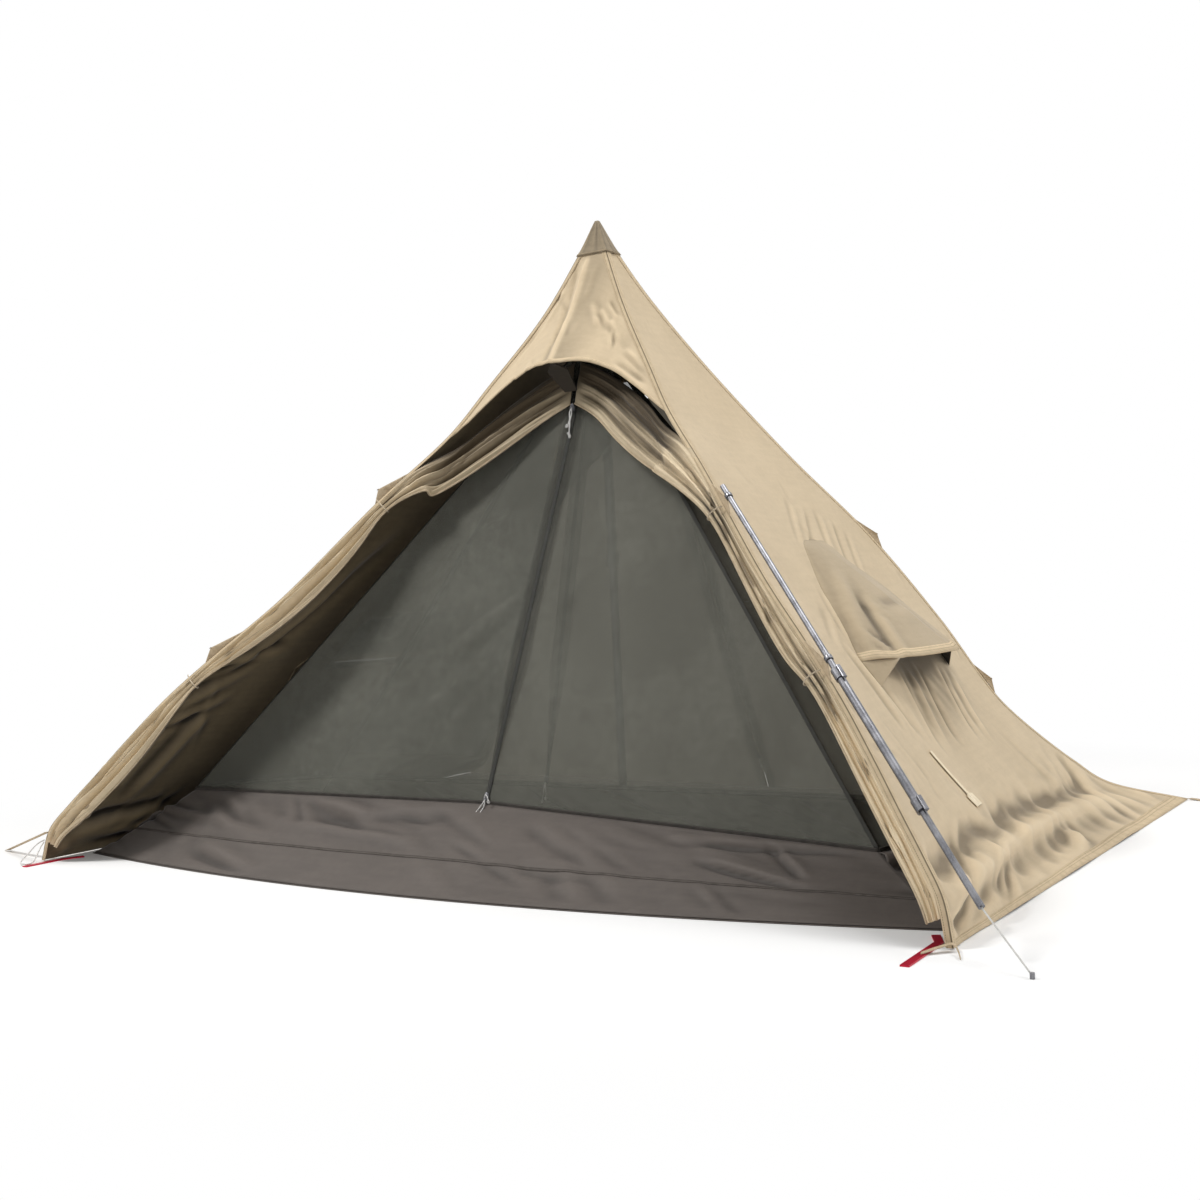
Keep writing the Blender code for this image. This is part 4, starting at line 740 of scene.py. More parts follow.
# Painted shade: the door cloth darkened for the leaves' inner side and the hood lip's lining.
DOOR_SHADE = ClothFinish(
    "door cloth inner side painted shade", light=(0.33, 0.255, 0.165), dark=(0.24, 0.185, 0.118), mottle=7.0,
)
SEAM = SeamFinish("felled seam", light=(0.63, 0.505, 0.335), dark=(0.54, 0.43, 0.28), thread=(0.33, 0.26, 0.17))
CAP_CLOTH = ClothFinish(
    "cap cloth", light=(0.32, 0.255, 0.165), dark=(0.20, 0.155, 0.098), mottle=12.0, stain=0.14,
)
CAP_SEAM = SeamFinish(
    "cap seam", light=(0.30, 0.235, 0.150), dark=(0.20, 0.155, 0.098), thread=(0.08, 0.06, 0.04),
    rows=(0.0020,),
)
TAPE = SeamFinish("woven tape", light=(0.56, 0.45, 0.31), dark=(0.44, 0.34, 0.22), rows=(0.0030,))
STRAP = SeamFinish("pale strap", light=(0.88, 0.77, 0.58), dark=(0.80, 0.68, 0.49), rows=(0.0060,))
NET = NetFinish("inner net")
NET_FLAP = NetFinish("net zip flap", light=(0.080, 0.080, 0.070), dark=(0.058, 0.058, 0.050), cover=0.46)
NET_DOOR = NetFinish(
    "net door", light=(0.165, 0.168, 0.145), dark=(0.130, 0.132, 0.114), cover=0.36, gather_and_shade=0.11,
)
NET_TAPE = SeamFinish(
    "net seam tape", light=(0.050, 0.049, 0.043), dark=(0.036, 0.035, 0.031), thread=(0.02, 0.02, 0.018),
    rows=(0.0140,),
)
VENT_NET = NetFinish("vent net", light=(0.045, 0.042, 0.035), dark=(0.02, 0.019, 0.016), cover=0.85)
TUB = ClothFinish(
    "tub cloth", light=(0.116, 0.097, 0.084), dark=(0.078, 0.065, 0.056), roughness=0.60, mottle=4.0,
    stain=0.05, fold_shade=0.42, fold_light=0.30,
)
BINDING = SeamFinish(
    "dark binding", light=(0.060, 0.052, 0.046), dark=(0.035, 0.031, 0.027), thread=(0.015, 0.014, 0.012),
    rows=(0.0040,),
)
TUB_SEAM = SeamFinish(
    "tub seam", light=(0.105, 0.090, 0.080), dark=(0.070, 0.060, 0.052), thread=(0.035, 0.030, 0.027),
    rows=(0.0020,),
)
ZIP = ZipFinish("zip tape")
CORD = CordFinish("braided cord")
SILVER = MetalFinish("drawn aluminium")
RED = MetalFinish(
    "red anodised metal", light=(0.62, 0.01, 0.04), dark=(0.40, 0.0, 0.03), metallic=0.55, roughness=0.35,
)
BLACK = PlasticFinish("moulded plastic")
# Painted shadow: the prop sleeves made near black for the shade under the hoods.
PROP_CLOTH_SHADE = ClothFinish("prop sleeve painted shadow", light=(0.045, 0.034, 0.021), dark=(0.022, 0.016, 0.010), mottle=12.0)
PULL_CORD = CordFinish("pull cord", light=(0.78, 0.77, 0.75), dark=(0.44, 0.43, 0.42))
TAPE_CORD = CordFinish("tan tie cord", light=(0.60, 0.50, 0.36), dark=(0.40, 0.32, 0.22))
RIDGE_SEAM = SeamFinish(
    "ridge seam", light=(0.65, 0.52, 0.345), dark=(0.57, 0.45, 0.295), thread=(0.13, 0.098, 0.060),
    rows=(0.0098,), fold_line=0.0021,
)


# Pieces


def show(
    name: str,
    mesh: Mesh,
    finish: Finish,
    slot: Slot,
    body: Body = Body.TENT,
    stands_for: Sequence[str] = (),
    lining: Finish | None = None,
    thickness: float = 0.0,
) -> bpy.types.Object:
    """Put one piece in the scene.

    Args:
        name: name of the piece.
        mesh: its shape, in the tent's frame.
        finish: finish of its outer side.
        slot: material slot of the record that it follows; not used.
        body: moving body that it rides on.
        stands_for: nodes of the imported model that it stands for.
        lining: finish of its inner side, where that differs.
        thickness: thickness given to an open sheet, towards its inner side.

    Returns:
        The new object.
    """
    made = bpy.data.objects.new(name, mesh)
    bpy.context.scene.collection.objects.link(made)
    mesh.materials.append(finish.material())
    mesh.materials.append((lining or finish).material())
    mesh.shade_smooth()
    if thickness:
        solid = made.modifiers.new("Thickness", "SOLIDIFY")
        solid.thickness = thickness
        solid.offset = -1.0
        solid.material_offset = 1
        solid.material_offset_rim = 0
    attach(made, body.value)
    if stands_for:
        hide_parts(*stands_for)
    return made


def lay_cloth(mesh: Mesh, cloth: Array) -> None:
    """Give a mesh its cloth coordinates.

    Args:
        mesh: the mesh.
        cloth: (count, 2) coordinates of each point, in metres.
    """
    layer = mesh.uv_layers.new(name="cloth")
    corners = np.empty(len(mesh.loops), np.int32)
    mesh.loops.foreach_get("vertex_index", corners)
    layer.data.foreach_set("uv", cloth[corners].astype(np.float32).ravel())


def build_mesh(name: str, points: Array, faces: Array, cloth: Array, shade: Array) -> Mesh:
    """Make a mesh with its cloth coordinates and its painted fold shade.

    Args:
        name: name of the mesh.
        points: (count, 3) places.
        faces: (count, 4) point numbers.
        cloth: (count, 2) coordinates of each point in the flat cloth, in metres.
        shade: how far each point lies in a fold (below 0) or on a crest (above 0), which the finishes turn into
            painted shade and highlight.

    Returns:
        The mesh.
    """
    mesh = bpy.data.meshes.new(name)
    mesh.from_pydata(points.tolist(), [], faces.tolist())
    lay_cloth(mesh, cloth)
    mesh.attributes.new("fold", "FLOAT", "POINT").data.foreach_set("value", shade.astype(np.float32))
    mesh.validate()
    mesh.update()
    return mesh


@dataclass
class Surface:
    """A sheet of cloth as a grid of points, with its coordinates in the flat cloth."""

    points: Array
    guide: Point
    keep: Array | None = None
    centred: bool = True

    def __post_init__(self) -> None:
        """Measure the cloth coordinates from the grid."""
        aside = np.linalg.norm(np.diff(self.points, axis=1), axis=2)
        self.u = np.concatenate([np.zeros((len(self.points), 1)), np.cumsum(aside, axis=1)], axis=1)
        if self.centred:
            self.u = self.u - self.u[:, -1:] / 2
        middle = self.points[:, self.points.shape[1] // 2]
        down = np.linalg.norm(np.diff(middle, axis=0), axis=1)
        self.v = np.repeat(np.concatenate([[0], np.cumsum(down)])[:, None], self.points.shape[1], axis=1)
        self.shade = np.zeros(self.points.shape[:2])

    def normals(self) -> Array:
        """Normals of the grid on the side that the guide points to."""
        normal = unit(np.cross(np.gradient(self.points, axis=0), np.gradient(self.points, axis=1)))
        return normal if (normal @ np.array(self.guide, float)).sum() > 0 else -normal

    def raised(self, height: Array | float) -> "Surface":
        """Same cloth moved along its normals.

        Args:
            height: one distance, or one for each point; the second kind also paints shade into the folds and a
                highlight on the crests.

        Returns:
            The moved cloth.
        """
        moved = replace(self, points=self.points + self.normals() * np.asarray(height, float)[..., None])
        moved.u, moved.v, moved.shade = self.u, self.v, self.shade
        if np.ndim(height) == 2:
            moved.shade = self.shade + cavity(height)
        return moved

    def at(self, row: Array, column: Array, lift: float) -> Array:
        """Points above the cloth at rows and columns given with fractions.

        Args:
            row: rows, with fractions.
            column: columns, with fractions.
            lift: distance off the cloth.

        Returns:
            The points.
        """
        lifted = self.points + self.normals() * lift
        top = np.clip(np.floor(row).astype(int), 0, lifted.shape[0] - 2)
        left = np.clip(np.floor(column).astype(int), 0, lifted.shape[1] - 2)
        down, across = (row - top)[..., None], (column - left)[..., None]
        upper = lifted[top, left] * (1 - across) + lifted[top, left + 1] * across
        lower = lifted[top + 1, left] * (1 - across) + lifted[top + 1, left + 1] * across
        return upper * (1 - down) + lower * down

    def part(self, rows: slice, columns: slice) -> "Surface":
        """A smaller grid cut from this one."""
        return Surface(self.points[rows, columns], self.guide)

    def band(self, rows: slice, width: float, lift: float) -> "Surface":
        """Strip of rows lifted off the cloth, with its coordinates turned so that it is stitched along.

        Args:
            rows: the rows that it covers.
            width: its width in metres.
            lift: how far it stands off the cloth.

        Returns:
            The strip.
        """
        strip = self.part(rows, slice(None)).raised(lift)
        strip.v = strip.u
        strip.u = np.linspace(0, width, len(strip.points))[:, None] * np.ones_like(strip.v)
        return strip

    def area(self) -> float:
        """Area of the cloth.

        Returns:
            Square metres of the cells that are kept.
        """
        p = self.points
        first = np.cross(p[1:, 1:] - p[:-1, :-1], p[1:, :-1] - p[:-1, 1:])
        cells = np.linalg.norm(first, axis=2) / 2
        return float(cells[self.keep].sum() if self.keep is not None else cells.sum())

    def closed_mesh(self, name: str) -> Mesh:
        """Mesh of a grid that closes on itself, welded and facing outward.

        Args:
            name: name of the mesh.

        Returns:
            The mesh.
        """
        mesh = self.mesh(name)
        shape = bmesh.new()
        shape.from_mesh(mesh)
        bmesh.ops.remove_doubles(shape, verts=shape.verts, dist=1e-6)
        shape.to_mesh(mesh)
        shape.free()
        if sum(face.center.dot(face.normal) * face.area for face in mesh.polygons) < 0:
            mesh.flip_normals()
        return mesh

    def mesh(self, name: str) -> Mesh:
        """Mesh of the grid, facing the guide.

        Args:
            name: name of the mesh.

        Returns:
            The mesh.
        """
        rows, columns = self.points.shape[:2]
        numbers = np.arange(rows * columns).reshape(rows, columns)
        faces = np.stack([numbers[:-1, :-1], numbers[:-1, 1:], numbers[1:, 1:], numbers[1:, :-1]], axis=2)
        faces = faces[self.keep] if self.keep is not None else faces.reshape(-1, 4)
        a, b, c = (self.points.reshape(-1, 3)[faces[:, i]] for i in (0, 1, 3))
        if (np.cross(b - a, c - a) @ np.array(self.guide, float)).sum() < 0:
            faces = faces[:, ::-1]
        used = np.unique(faces)
        renumber = np.zeros(rows * columns, int)
        renumber[used] = np.arange(len(used))
        cloth = np.stack([self.u.ravel(), self.v.ravel()], axis=1)[used]
        points, shade = self.points.reshape(-1, 3)[used], self.shade.ravel()[used]
        return build_mesh(name, points, renumber[faces], cloth, shade)


@dataclass
class Tube:
    """A round cord or rod along points."""

    path: Array
    radius: float
    sides: int = 10

    def mesh(self, name: str) -> Mesh:
        """Mesh of the tube with rounded closed ends.

        Args:
            name: name of the mesh.

        Returns:
            The mesh.
        """
        path = np.asarray(self.path, float)
        along = unit(np.gradient(path, axis=0))
        side = np.cross(along[0], (0.0, 0.0, 1.0))
        if np.linalg.norm(side) < 0.1:
            side = np.cross(along[0], (1.0, 0.0, 0.0))
        frames = []
        for direction in along:
            side = unit(side - direction * float(side @ direction))
            frames.append((side, np.cross(direction, side)))
        turns = np.linspace(0, 2 * math.pi, self.sides + 1)
        radii = np.full(len(path), self.radius)
        past = self.radius * 0.6
        path = np.concatenate([path[:1] - along[:1] * past, path, path[-1:] + along[-1:] * past])
        radii = np.concatenate([[self.radius * 0.55], radii, [self.radius * 0.55]])
        frames = [frames[0], *frames, frames[-1]]
        rings = np.array([
            centre + radius * (np.cos(turns)[:, None] * a + np.sin(turns)[:, None] * b)
            for centre, radius, (a, b) in zip(path, radii, frames)
        ])
        lengths = np.concatenate([[0], np.cumsum(np.linalg.norm(np.diff(path, axis=0), axis=1))])
        count, sides = rings.shape[0], self.sides
        numbers = np.arange(count * sides).reshape(count, sides)
        around = np.roll(numbers, -1, axis=1)
        faces = np.stack([numbers[:-1], around[:-1], around[1:], numbers[1:]], axis=2).reshape(-1, 4)
        points = rings[:, :sides].reshape(-1, 3)
        cloth = np.stack([np.repeat(lengths, sides), np.tile(turns[:sides] / (2 * math.pi), count)], axis=1)
        tips = len(points)
        points = np.concatenate([points, path[:1], path[-1:]])
        cloth = np.concatenate([cloth, [[0, 0]], [[lengths[-1], 0]]])
        mesh = bpy.data.meshes.new(name)
        ends = [[tips, numbers[0, (i + 1) % sides], numbers[0, i]] for i in range(sides)]
        ends += [[tips + 1, numbers[-1, i], numbers[-1, (i + 1) % sides]] for i in range(sides)]
        mesh.from_pydata(points.tolist(), [], faces.tolist() + [[int(n) for n in end] for end in ends])
        lay_cloth(mesh, cloth)
        mesh.update()
        return mesh


def joined(name: str, meshes: Iterable[Mesh]) -> Mesh:
    """Join meshes into one, with their cloth coordinates kept.

    Args:
        name: name of the new mesh.
        meshes: the meshes, which are removed.

    Returns:
        The joined mesh.
    """
    points, faces, cloth, shade, start = [], [], [], [], 0
    for mesh in meshes:
        folds = mesh.attributes.get("fold")
        shade += [item.value for item in folds.data] if folds else [0.0] * len(mesh.vertices)
        points += [tuple(vertex.co) for vertex in mesh.vertices]
        uv = mesh.uv_layers["cloth"].data
        for face in mesh.polygons:
            faces.append([start + index for index in face.vertices])
            cloth += [tuple(uv[loop].uv) for loop in face.loop_indices]
        start = len(points)
        bpy.data.meshes.remove(mesh)
    made = bpy.data.meshes.new(name)
    made.from_pydata(points, [], faces)
    layer = made.uv_layers.new(name="cloth")
    layer.data.foreach_set("uv", np.array(cloth, np.float32).ravel())
    made.attributes.new("fold", "FLOAT", "POINT").data.foreach_set("value", np.array(shade, np.float32))
    made.update()
    return made


def ribbon(path: Array, across: Point | Array, half: float | Array, guide: Point, wide: int = 5) -> Surface:
    """Flat strap along a path.

    Args:
        path: points along the strap's middle.
        across: direction of its width, one for all points or one each.
        half: half its width, one for all points or one each.
        guide: direction that its face looks to.
        wide: points across.

    Returns:
        The strap as a surface.
    """
    spread = np.linspace(-1, 1, wide)
    direction = np.broadcast_to(unit(np.asarray(across, float)), path.shape)
    halves = np.broadcast_to(np.asarray(half, float), (len(path),))
    points = path[:, None] + direction[:, None] * (spread[None, :, None] * halves[:, None, None])
    return Surface(points, guide)


def show_fly(node: str, surface: Surface, finish: Finish, slot: Slot, **settings: Any) -> bpy.types.Object:
    """Put a sheet of the fly in the scene, in place of the node of its name."""
    return show(f"fly_{node}", surface.mesh(node), finish, slot, stands_for=(node,), **settings)


def side_word(side: int) -> str:
    """Name of a side, left for -1 and right for 1."""
    return "left" if side < 0 else "right"


# The fly


@dataclass(frozen=True)
class FlyShape:
    """Outer surface of the fly: its ridges, walls, hoods and rear line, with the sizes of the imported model."""

    half_width: float = 1.200
    half_depth: float = 0.872
    height: float = 1.573
    hem_lift: float = 0.0024
    top: float = 0.952
    lip_end: float = 0.655
    lip_top: float = 0.752
    lip_arch: float = 3.6
    front_push: float = 0.071
    rear_push: float = 0.060
    bow_power: float = 1.3
    setback: float = 0.0035
    wall_seam: float = 0.018
    end_seam: float = 0.012
    sag: float = 0.020
    zip_top: float = 0.5912
    rear_top: float = 0.715
    rear_reaches: tuple[float, float, float] = (0.9346, 0.4083, 0.1950)
    zip_gap: float = 0.0012
    tuck_level: float = 0.600
    tuck_aside: float = 0.0125
    tuck_back: float = 0.014
    front_ridge: Table = (
        (1.000, 0.002), (0.944, 0.034), (0.842, 0.104), (0.731, 0.204), (0.655, 0.275),
        (0.559, 0.395), (0.404, 0.573), (0.311, 0.700), (0.252, 0.776), (0.184, 0.850),
        (0.133, 0.902), (0.087, 0.950), (0.050, 0.984), (0.000, 1.000),
    )
    back_ridge: Table = (
        (1.000, 0.002), (0.944, 0.034), (0.868, 0.086), (0.770, 0.165), (0.678, 0.246),
        (0.588, 0.330), (0.467, 0.451), (0.318, 0.573), (0.228, 0.636), (0.179, 0.674),
        (0.130, 0.727), (0.071, 0.803), (0.032, 0.868), (0.000, 1.000),
    )

    def z(self, level: Array | float) -> Array:
        """Height of a level."""
        return self.hem_lift + (self.height - self.hem_lift) * np.asarray(level, float)

    def level(self, z: float) -> float:
        """Level of a height."""
        return (z - self.hem_lift) / (self.height - self.hem_lift)

    def reach(self, end: int, level: Array | float) -> Array:
        """Reach of a ridge, as a share of the corner's."""
        return curve_value(self.front_ridge if end < 0 else self.back_ridge, level)

    def ridge(self, side: int, end: int, level: Array | float) -> Array:
        """Points on a ridge."""
        reach, z = self.reach(end, level), self.z(level)
        return np.stack([side * self.half_width * reach, end * self.half_depth * reach, z], axis=-1)

    def wall(self, side: int, share: Array, level: Array) -> Array:
        """Points of a side wall, share 0 at the front seam to 1 at the back seam.

        Args:
            side: -1 for the left, 1 for the right.
            share: places across, 0 to 1.
            level: shares of the fly's height.

        Returns:
            The points.
        """
        front, back = self.ridge(side, -1, level), self.ridge(side, 1, level)
        span = np.linalg.norm(back - front, axis=-1)
        reach = self.setback + (span - 2 * self.setback) * share
        part = np.clip((reach - self.wall_seam) / np.maximum(span - 2 * self.wall_seam, 1e-6), 0, 1)
        points = front + (back - front) * (reach / span)[..., None]
        points[..., 0] -= side * self.sag * span * 4 * part * (1 - part) * np.minimum(level / 0.3, 1)
        return points

    def wall_at(self, side: int, y: Array | float, level: Array | float) -> Array:
        """Points of a side wall at given Y and level.

        Args:
            side: -1 for the left, 1 for the right.
            y: places along Y.
            level: shares of the fly's height.

        Returns:
            The points.
        """
        y, level = np.broadcast_arrays(np.asarray(y, float), np.asarray(level, float))
        front, back = self.ridge(side, -1, level), self.ridge(side, 1, level)
        span = np.linalg.norm(back - front, axis=-1)
        reach = (y - front[..., 1]) / (back - front)[..., 1] * span
        return self.wall(side, (reach - self.setback) / (span - 2 * self.setback), level)

    def wall_normal(self, side: int, y: Array | float, level: Array | float) -> Array:
        """Outward normals of a side wall.

        Args:
            side: -1 for the left, 1 for the right.
            y: places along Y.
            level: shares of the fly's height.

        Returns:
            Vectors of length one.
        """
        y, level = np.asarray(y), np.asarray(level)
        aside, rise = 0.02, 0.01
        along = self.wall_at(side, y + aside, level) - self.wall_at(side, y - aside, level)
        up = self.wall_at(side, y, level + rise) - self.wall_at(side, y, level - rise)
        normal = unit(np.cross(along, up))
        return normal * np.sign(normal[..., :1] * side)

    def hood(self, end: int, across: Array, down: Array) -> Array:
        """Points of a hood, across -1 to 1 and down 0 at the cap to 1 at the lip.

        Args:
            end: -1 for the front, 1 for the back.
            across: places across, -1 to 1.
            down: places from the top, 0, to the lip, 1.

        Returns:
            The points.
        """
        edge = self.top + (self.lip_end - self.top) * down
        outer = self.half_width * self.reach(end, edge)
        share = np.clip(across * (outer - self.setback) / (outer - self.end_seam), -1, 1)
        lip = self.lip_end + (self.lip_top - self.lip_end) * (1 - np.abs(share) ** self.lip_arch)
        here = self.top + (lip - self.top) * down
        reach = self.reach(end, here)
        push = self.front_push if end < 0 else self.rear_push
        bow = push * (1 - np.abs(share) ** self.bow_power) * down**2
        return np.stack([
            across * (self.half_width * reach - self.setback),
            end * (self.half_depth * reach + bow),
            self.z(here),
        ], axis=-1)

    def rear_line(self, level: Array | float) -> Array:
        """Points on the rear centre line.

        Args:
            level: shares of the fly's height.

        Returns:
            The points.
        """
        z = self.z(level)
        zip_top, tuck = self.height * self.zip_top, self.z(self.rear_top)
        foot, middle, end = self.rear_reaches
        low = foot + (middle - foot) * z / zip_top
        high = middle + (end - middle) * (z - zip_top) / (tuck - zip_top)
        reach = np.where(z <= zip_top, low, high)
        return np.stack([0 * z, self.half_depth * reach, z], axis=-1)

    def rear(self, side: int, share: Array, level: Array) -> Array:
        """Points of a rear panel, share 0 at the ridge to 1 at the zip.

        Args:
            side: -1 for the left, 1 for the right.
            share: places across, 0 to 1.
            level: shares of the fly's height.

        Returns:
            The points.
        """
        edge, middle = self.ridge(side, 1, level), self.rear_line(level)
        middle[..., 0] += side * self.zip_gap
        hidden = np.clip((level - self.tuck_level) / (self.lip_end - self.tuck_level), 0, 1)
        setback = self.setback + self.tuck_aside * hidden
        along = unit(middle - edge)
        start = edge + along * setback[..., None]
        start[..., 1] -= self.tuck_back * hidden
        return start + (middle - start) * share[..., None]


SHAPE = FlyShape()


@dataclass
class SideWall:
    """One side wall of the fly, with its vent hole, folds, hem and seams."""

    side: int
    vent_shares: tuple[float, float] = (0.367, 0.716)
    vent_levels: tuple[float, float] = (0.285, 0.365)
    thickness: float = PLY
    creases: tuple[Crease, ...] = ()
    calm: tuple[tuple[float, float], ...] = ()
    hem: float = 0.018
    crowding: float = 1.12
    streak_pitch: float = 0.058
    mouth_shade: float = 1.25
    trough_half: float = 0.020
    trough_shade: float = 0.65

    @property
    def word(self) -> str:
        """Name of the side."""
        return side_word(self.side)

    def surface(self) -> Surface:
        """The wall with its folds, and a hem that lies in waves on the ground.

        Returns:
            The wall, without the cells of its vent hole.
        """
        rows, columns = steps(2.15), steps(1.70)
        across, down = grid(rows, columns)
        level = SHAPE.top * (1 - down) ** self.crowding
        points = SHAPE.wall(self.side, across, level)
        surface = Surface(points, (self.side, 0, 0.6))
        y, z = points[..., 1], points[..., 2]
        span = SHAPE.half_depth * (SHAPE.reach(-1, level) + SHAPE.reach(1, level))
        inside = soft_step(across * span, 0.010, 0.05) * soft_step((1 - across) * span, 0.010, 0.05)
        folds = Wrinkles(seed=11 + self.side, count=90, depth=0.0014, waves=0.0016, angle=1.35).height(y, z)
        for crease in self.creases:
            folds = folds + crease.height(y, z)
        low = (1 - soft_step(z, 0.07, 0.20)) * soft_step(z, 0.004, 0.030)
        ripple = Wrinkles(
            seed=31 + self.side, count=90, depth=0.0034, length=(0.08, 0.34), width=(0.007, 0.019),
            angle=0.12, spread=0.30, waves=0.0026, wave_length=0.14,
        ).height(y, np.minimum(z, 0.20))
        for place_y, place_z in self.calm:
            calm = soft_step(np.hypot(y - place_y, z - place_z), 0.03, 0.10)
            folds, ripple = folds * calm, ripple * calm
        taut = 0.35 + 0.65 * soft_step(1 - level, 0.1, 0.4)
        surface = surface.raised((folds + ripple * low) * inside * taut)
        surface.shade = surface.shade + self.painted(y, z)
        surface.points[..., 2] = np.maximum(surface.points[..., 2], GROUND_GAP)
        holes = (
            (across[:-1, :-1] > self.vent_shares[0]) & (across[:-1, :-1] < self.vent_shares[1])
            & (level[:-1, :-1] < self.vent_levels[1]) & (level[1:, 1:] > self.vent_levels[0])
        )
        surface.keep = ~holes
        return surface

    def painted(self, y: Array, z: Array) -> Array:
        """Painted shadow under the side hood, in streaks like pleats, and, on the right, painted shade in the
        trough above the hem.

        Args:
            y: places along Y.
            z: heights.

        Returns:
            The shade, below 0 for dark.
        """
        # Painted shadow of the side hood's mouth, streaked, and painted shade along the hem's trough.
        streaks = 0.72 + 0.28 * np.sin(2 * math.pi * (y + 0.35 * z) / self.streak_pitch)
        mouth = soft_step(y, -0.20, -0.06) * (1 - soft_step(y, 0.26, 0.40))
        mouth = mouth * soft_step(z, 0.245, 0.43) * (z < 0.50)
        mouth = mouth * np.minimum(streaks + soft_step(z, 0.36, 0.43), 1)
        arc = 0.122 - 0.052 * soft_step(y, -0.25, 0.62) + 0.008 * np.sin(2 * math.pi * y / 0.17)
        trough = np.exp(-(((z - arc) / self.trough_half) ** 2))
        trough = trough * soft_step(y, -0.84, -0.70) * (1 - soft_step(y, 0.50, 0.66))
        trough = trough * (0.84 + 0.16 * np.sin(2 * math.pi * (0.3 * y + z) / 0.031)) * (self.side > 0)
        return -self.mouth_shade * mouth - self.trough_shade * trough

    def laid(self, y: Array, level: Array, lift: float) -> Array:
        """Points that lie on the folded wall at given Y and level.

        Args:
            y: places along Y.
            level: shares of the fly's height.
            lift: distance off the cloth.

        Returns:
            The points.
        """
        surface = self.surface()
        rows, columns = surface.points.shape[:2]
        front, back = SHAPE.ridge(self.side, -1, level), SHAPE.ridge(self.side, 1, level)
        share = (y - front[..., 1]) / (back - front)[..., 1]
        down = 1 - (level / SHAPE.top) ** (1 / self.crowding)
        return surface.at(down * (rows - 1), share * (columns - 1), lift)

    def build(self) -> None:
        """Wall, hem band and vent net."""
        surface = self.surface()
        wall = show_fly(
            f"wall_{self.word}", surface, FLY, Slot.FLY, lining=FLY_INSIDE_SHADE, thickness=self.thickness,
        )
        surface.area()
        count = max(2, int(round(self.hem / CELL)) + 1)
        band = surface.band(slice(-count - 1, None), self.hem, 0.0006)
        show(f"fly_hem_{self.word}", band.mesh("hem"), SEAM, Slot.FLY, thickness=0.0010)
        self.vent()

    def vent(self) -> None:
        """Net over the vent hole, with a little slack."""
        across, down = grid(steps(0.14), steps(0.42))
        low, high = self.vent_levels[0] - 0.006, self.vent_levels[1] + 0.006
        share = self.vent_shares[0] - 0.008 + (self.vent_shares[1] - self.vent_shares[0] + 0.016) * across
        points = SHAPE.wall(self.side, share, high + (low - high) * down)
        surface = Surface(points, (self.side, 0, 0.6))
        slack = -0.0018 - 0.004 * np.sin(math.pi * across) * np.sin(math.pi * down)
        surface = surface.raised(slack)
        node = f"vent_net_{self.word}"
        net = show(f"vent_mesh_{self.word}", surface.mesh("vent"), VENT_NET, Slot.NET, stands_for=(node,))
        f"wall_{self.word}"
        min(surface.area(), 0.064)


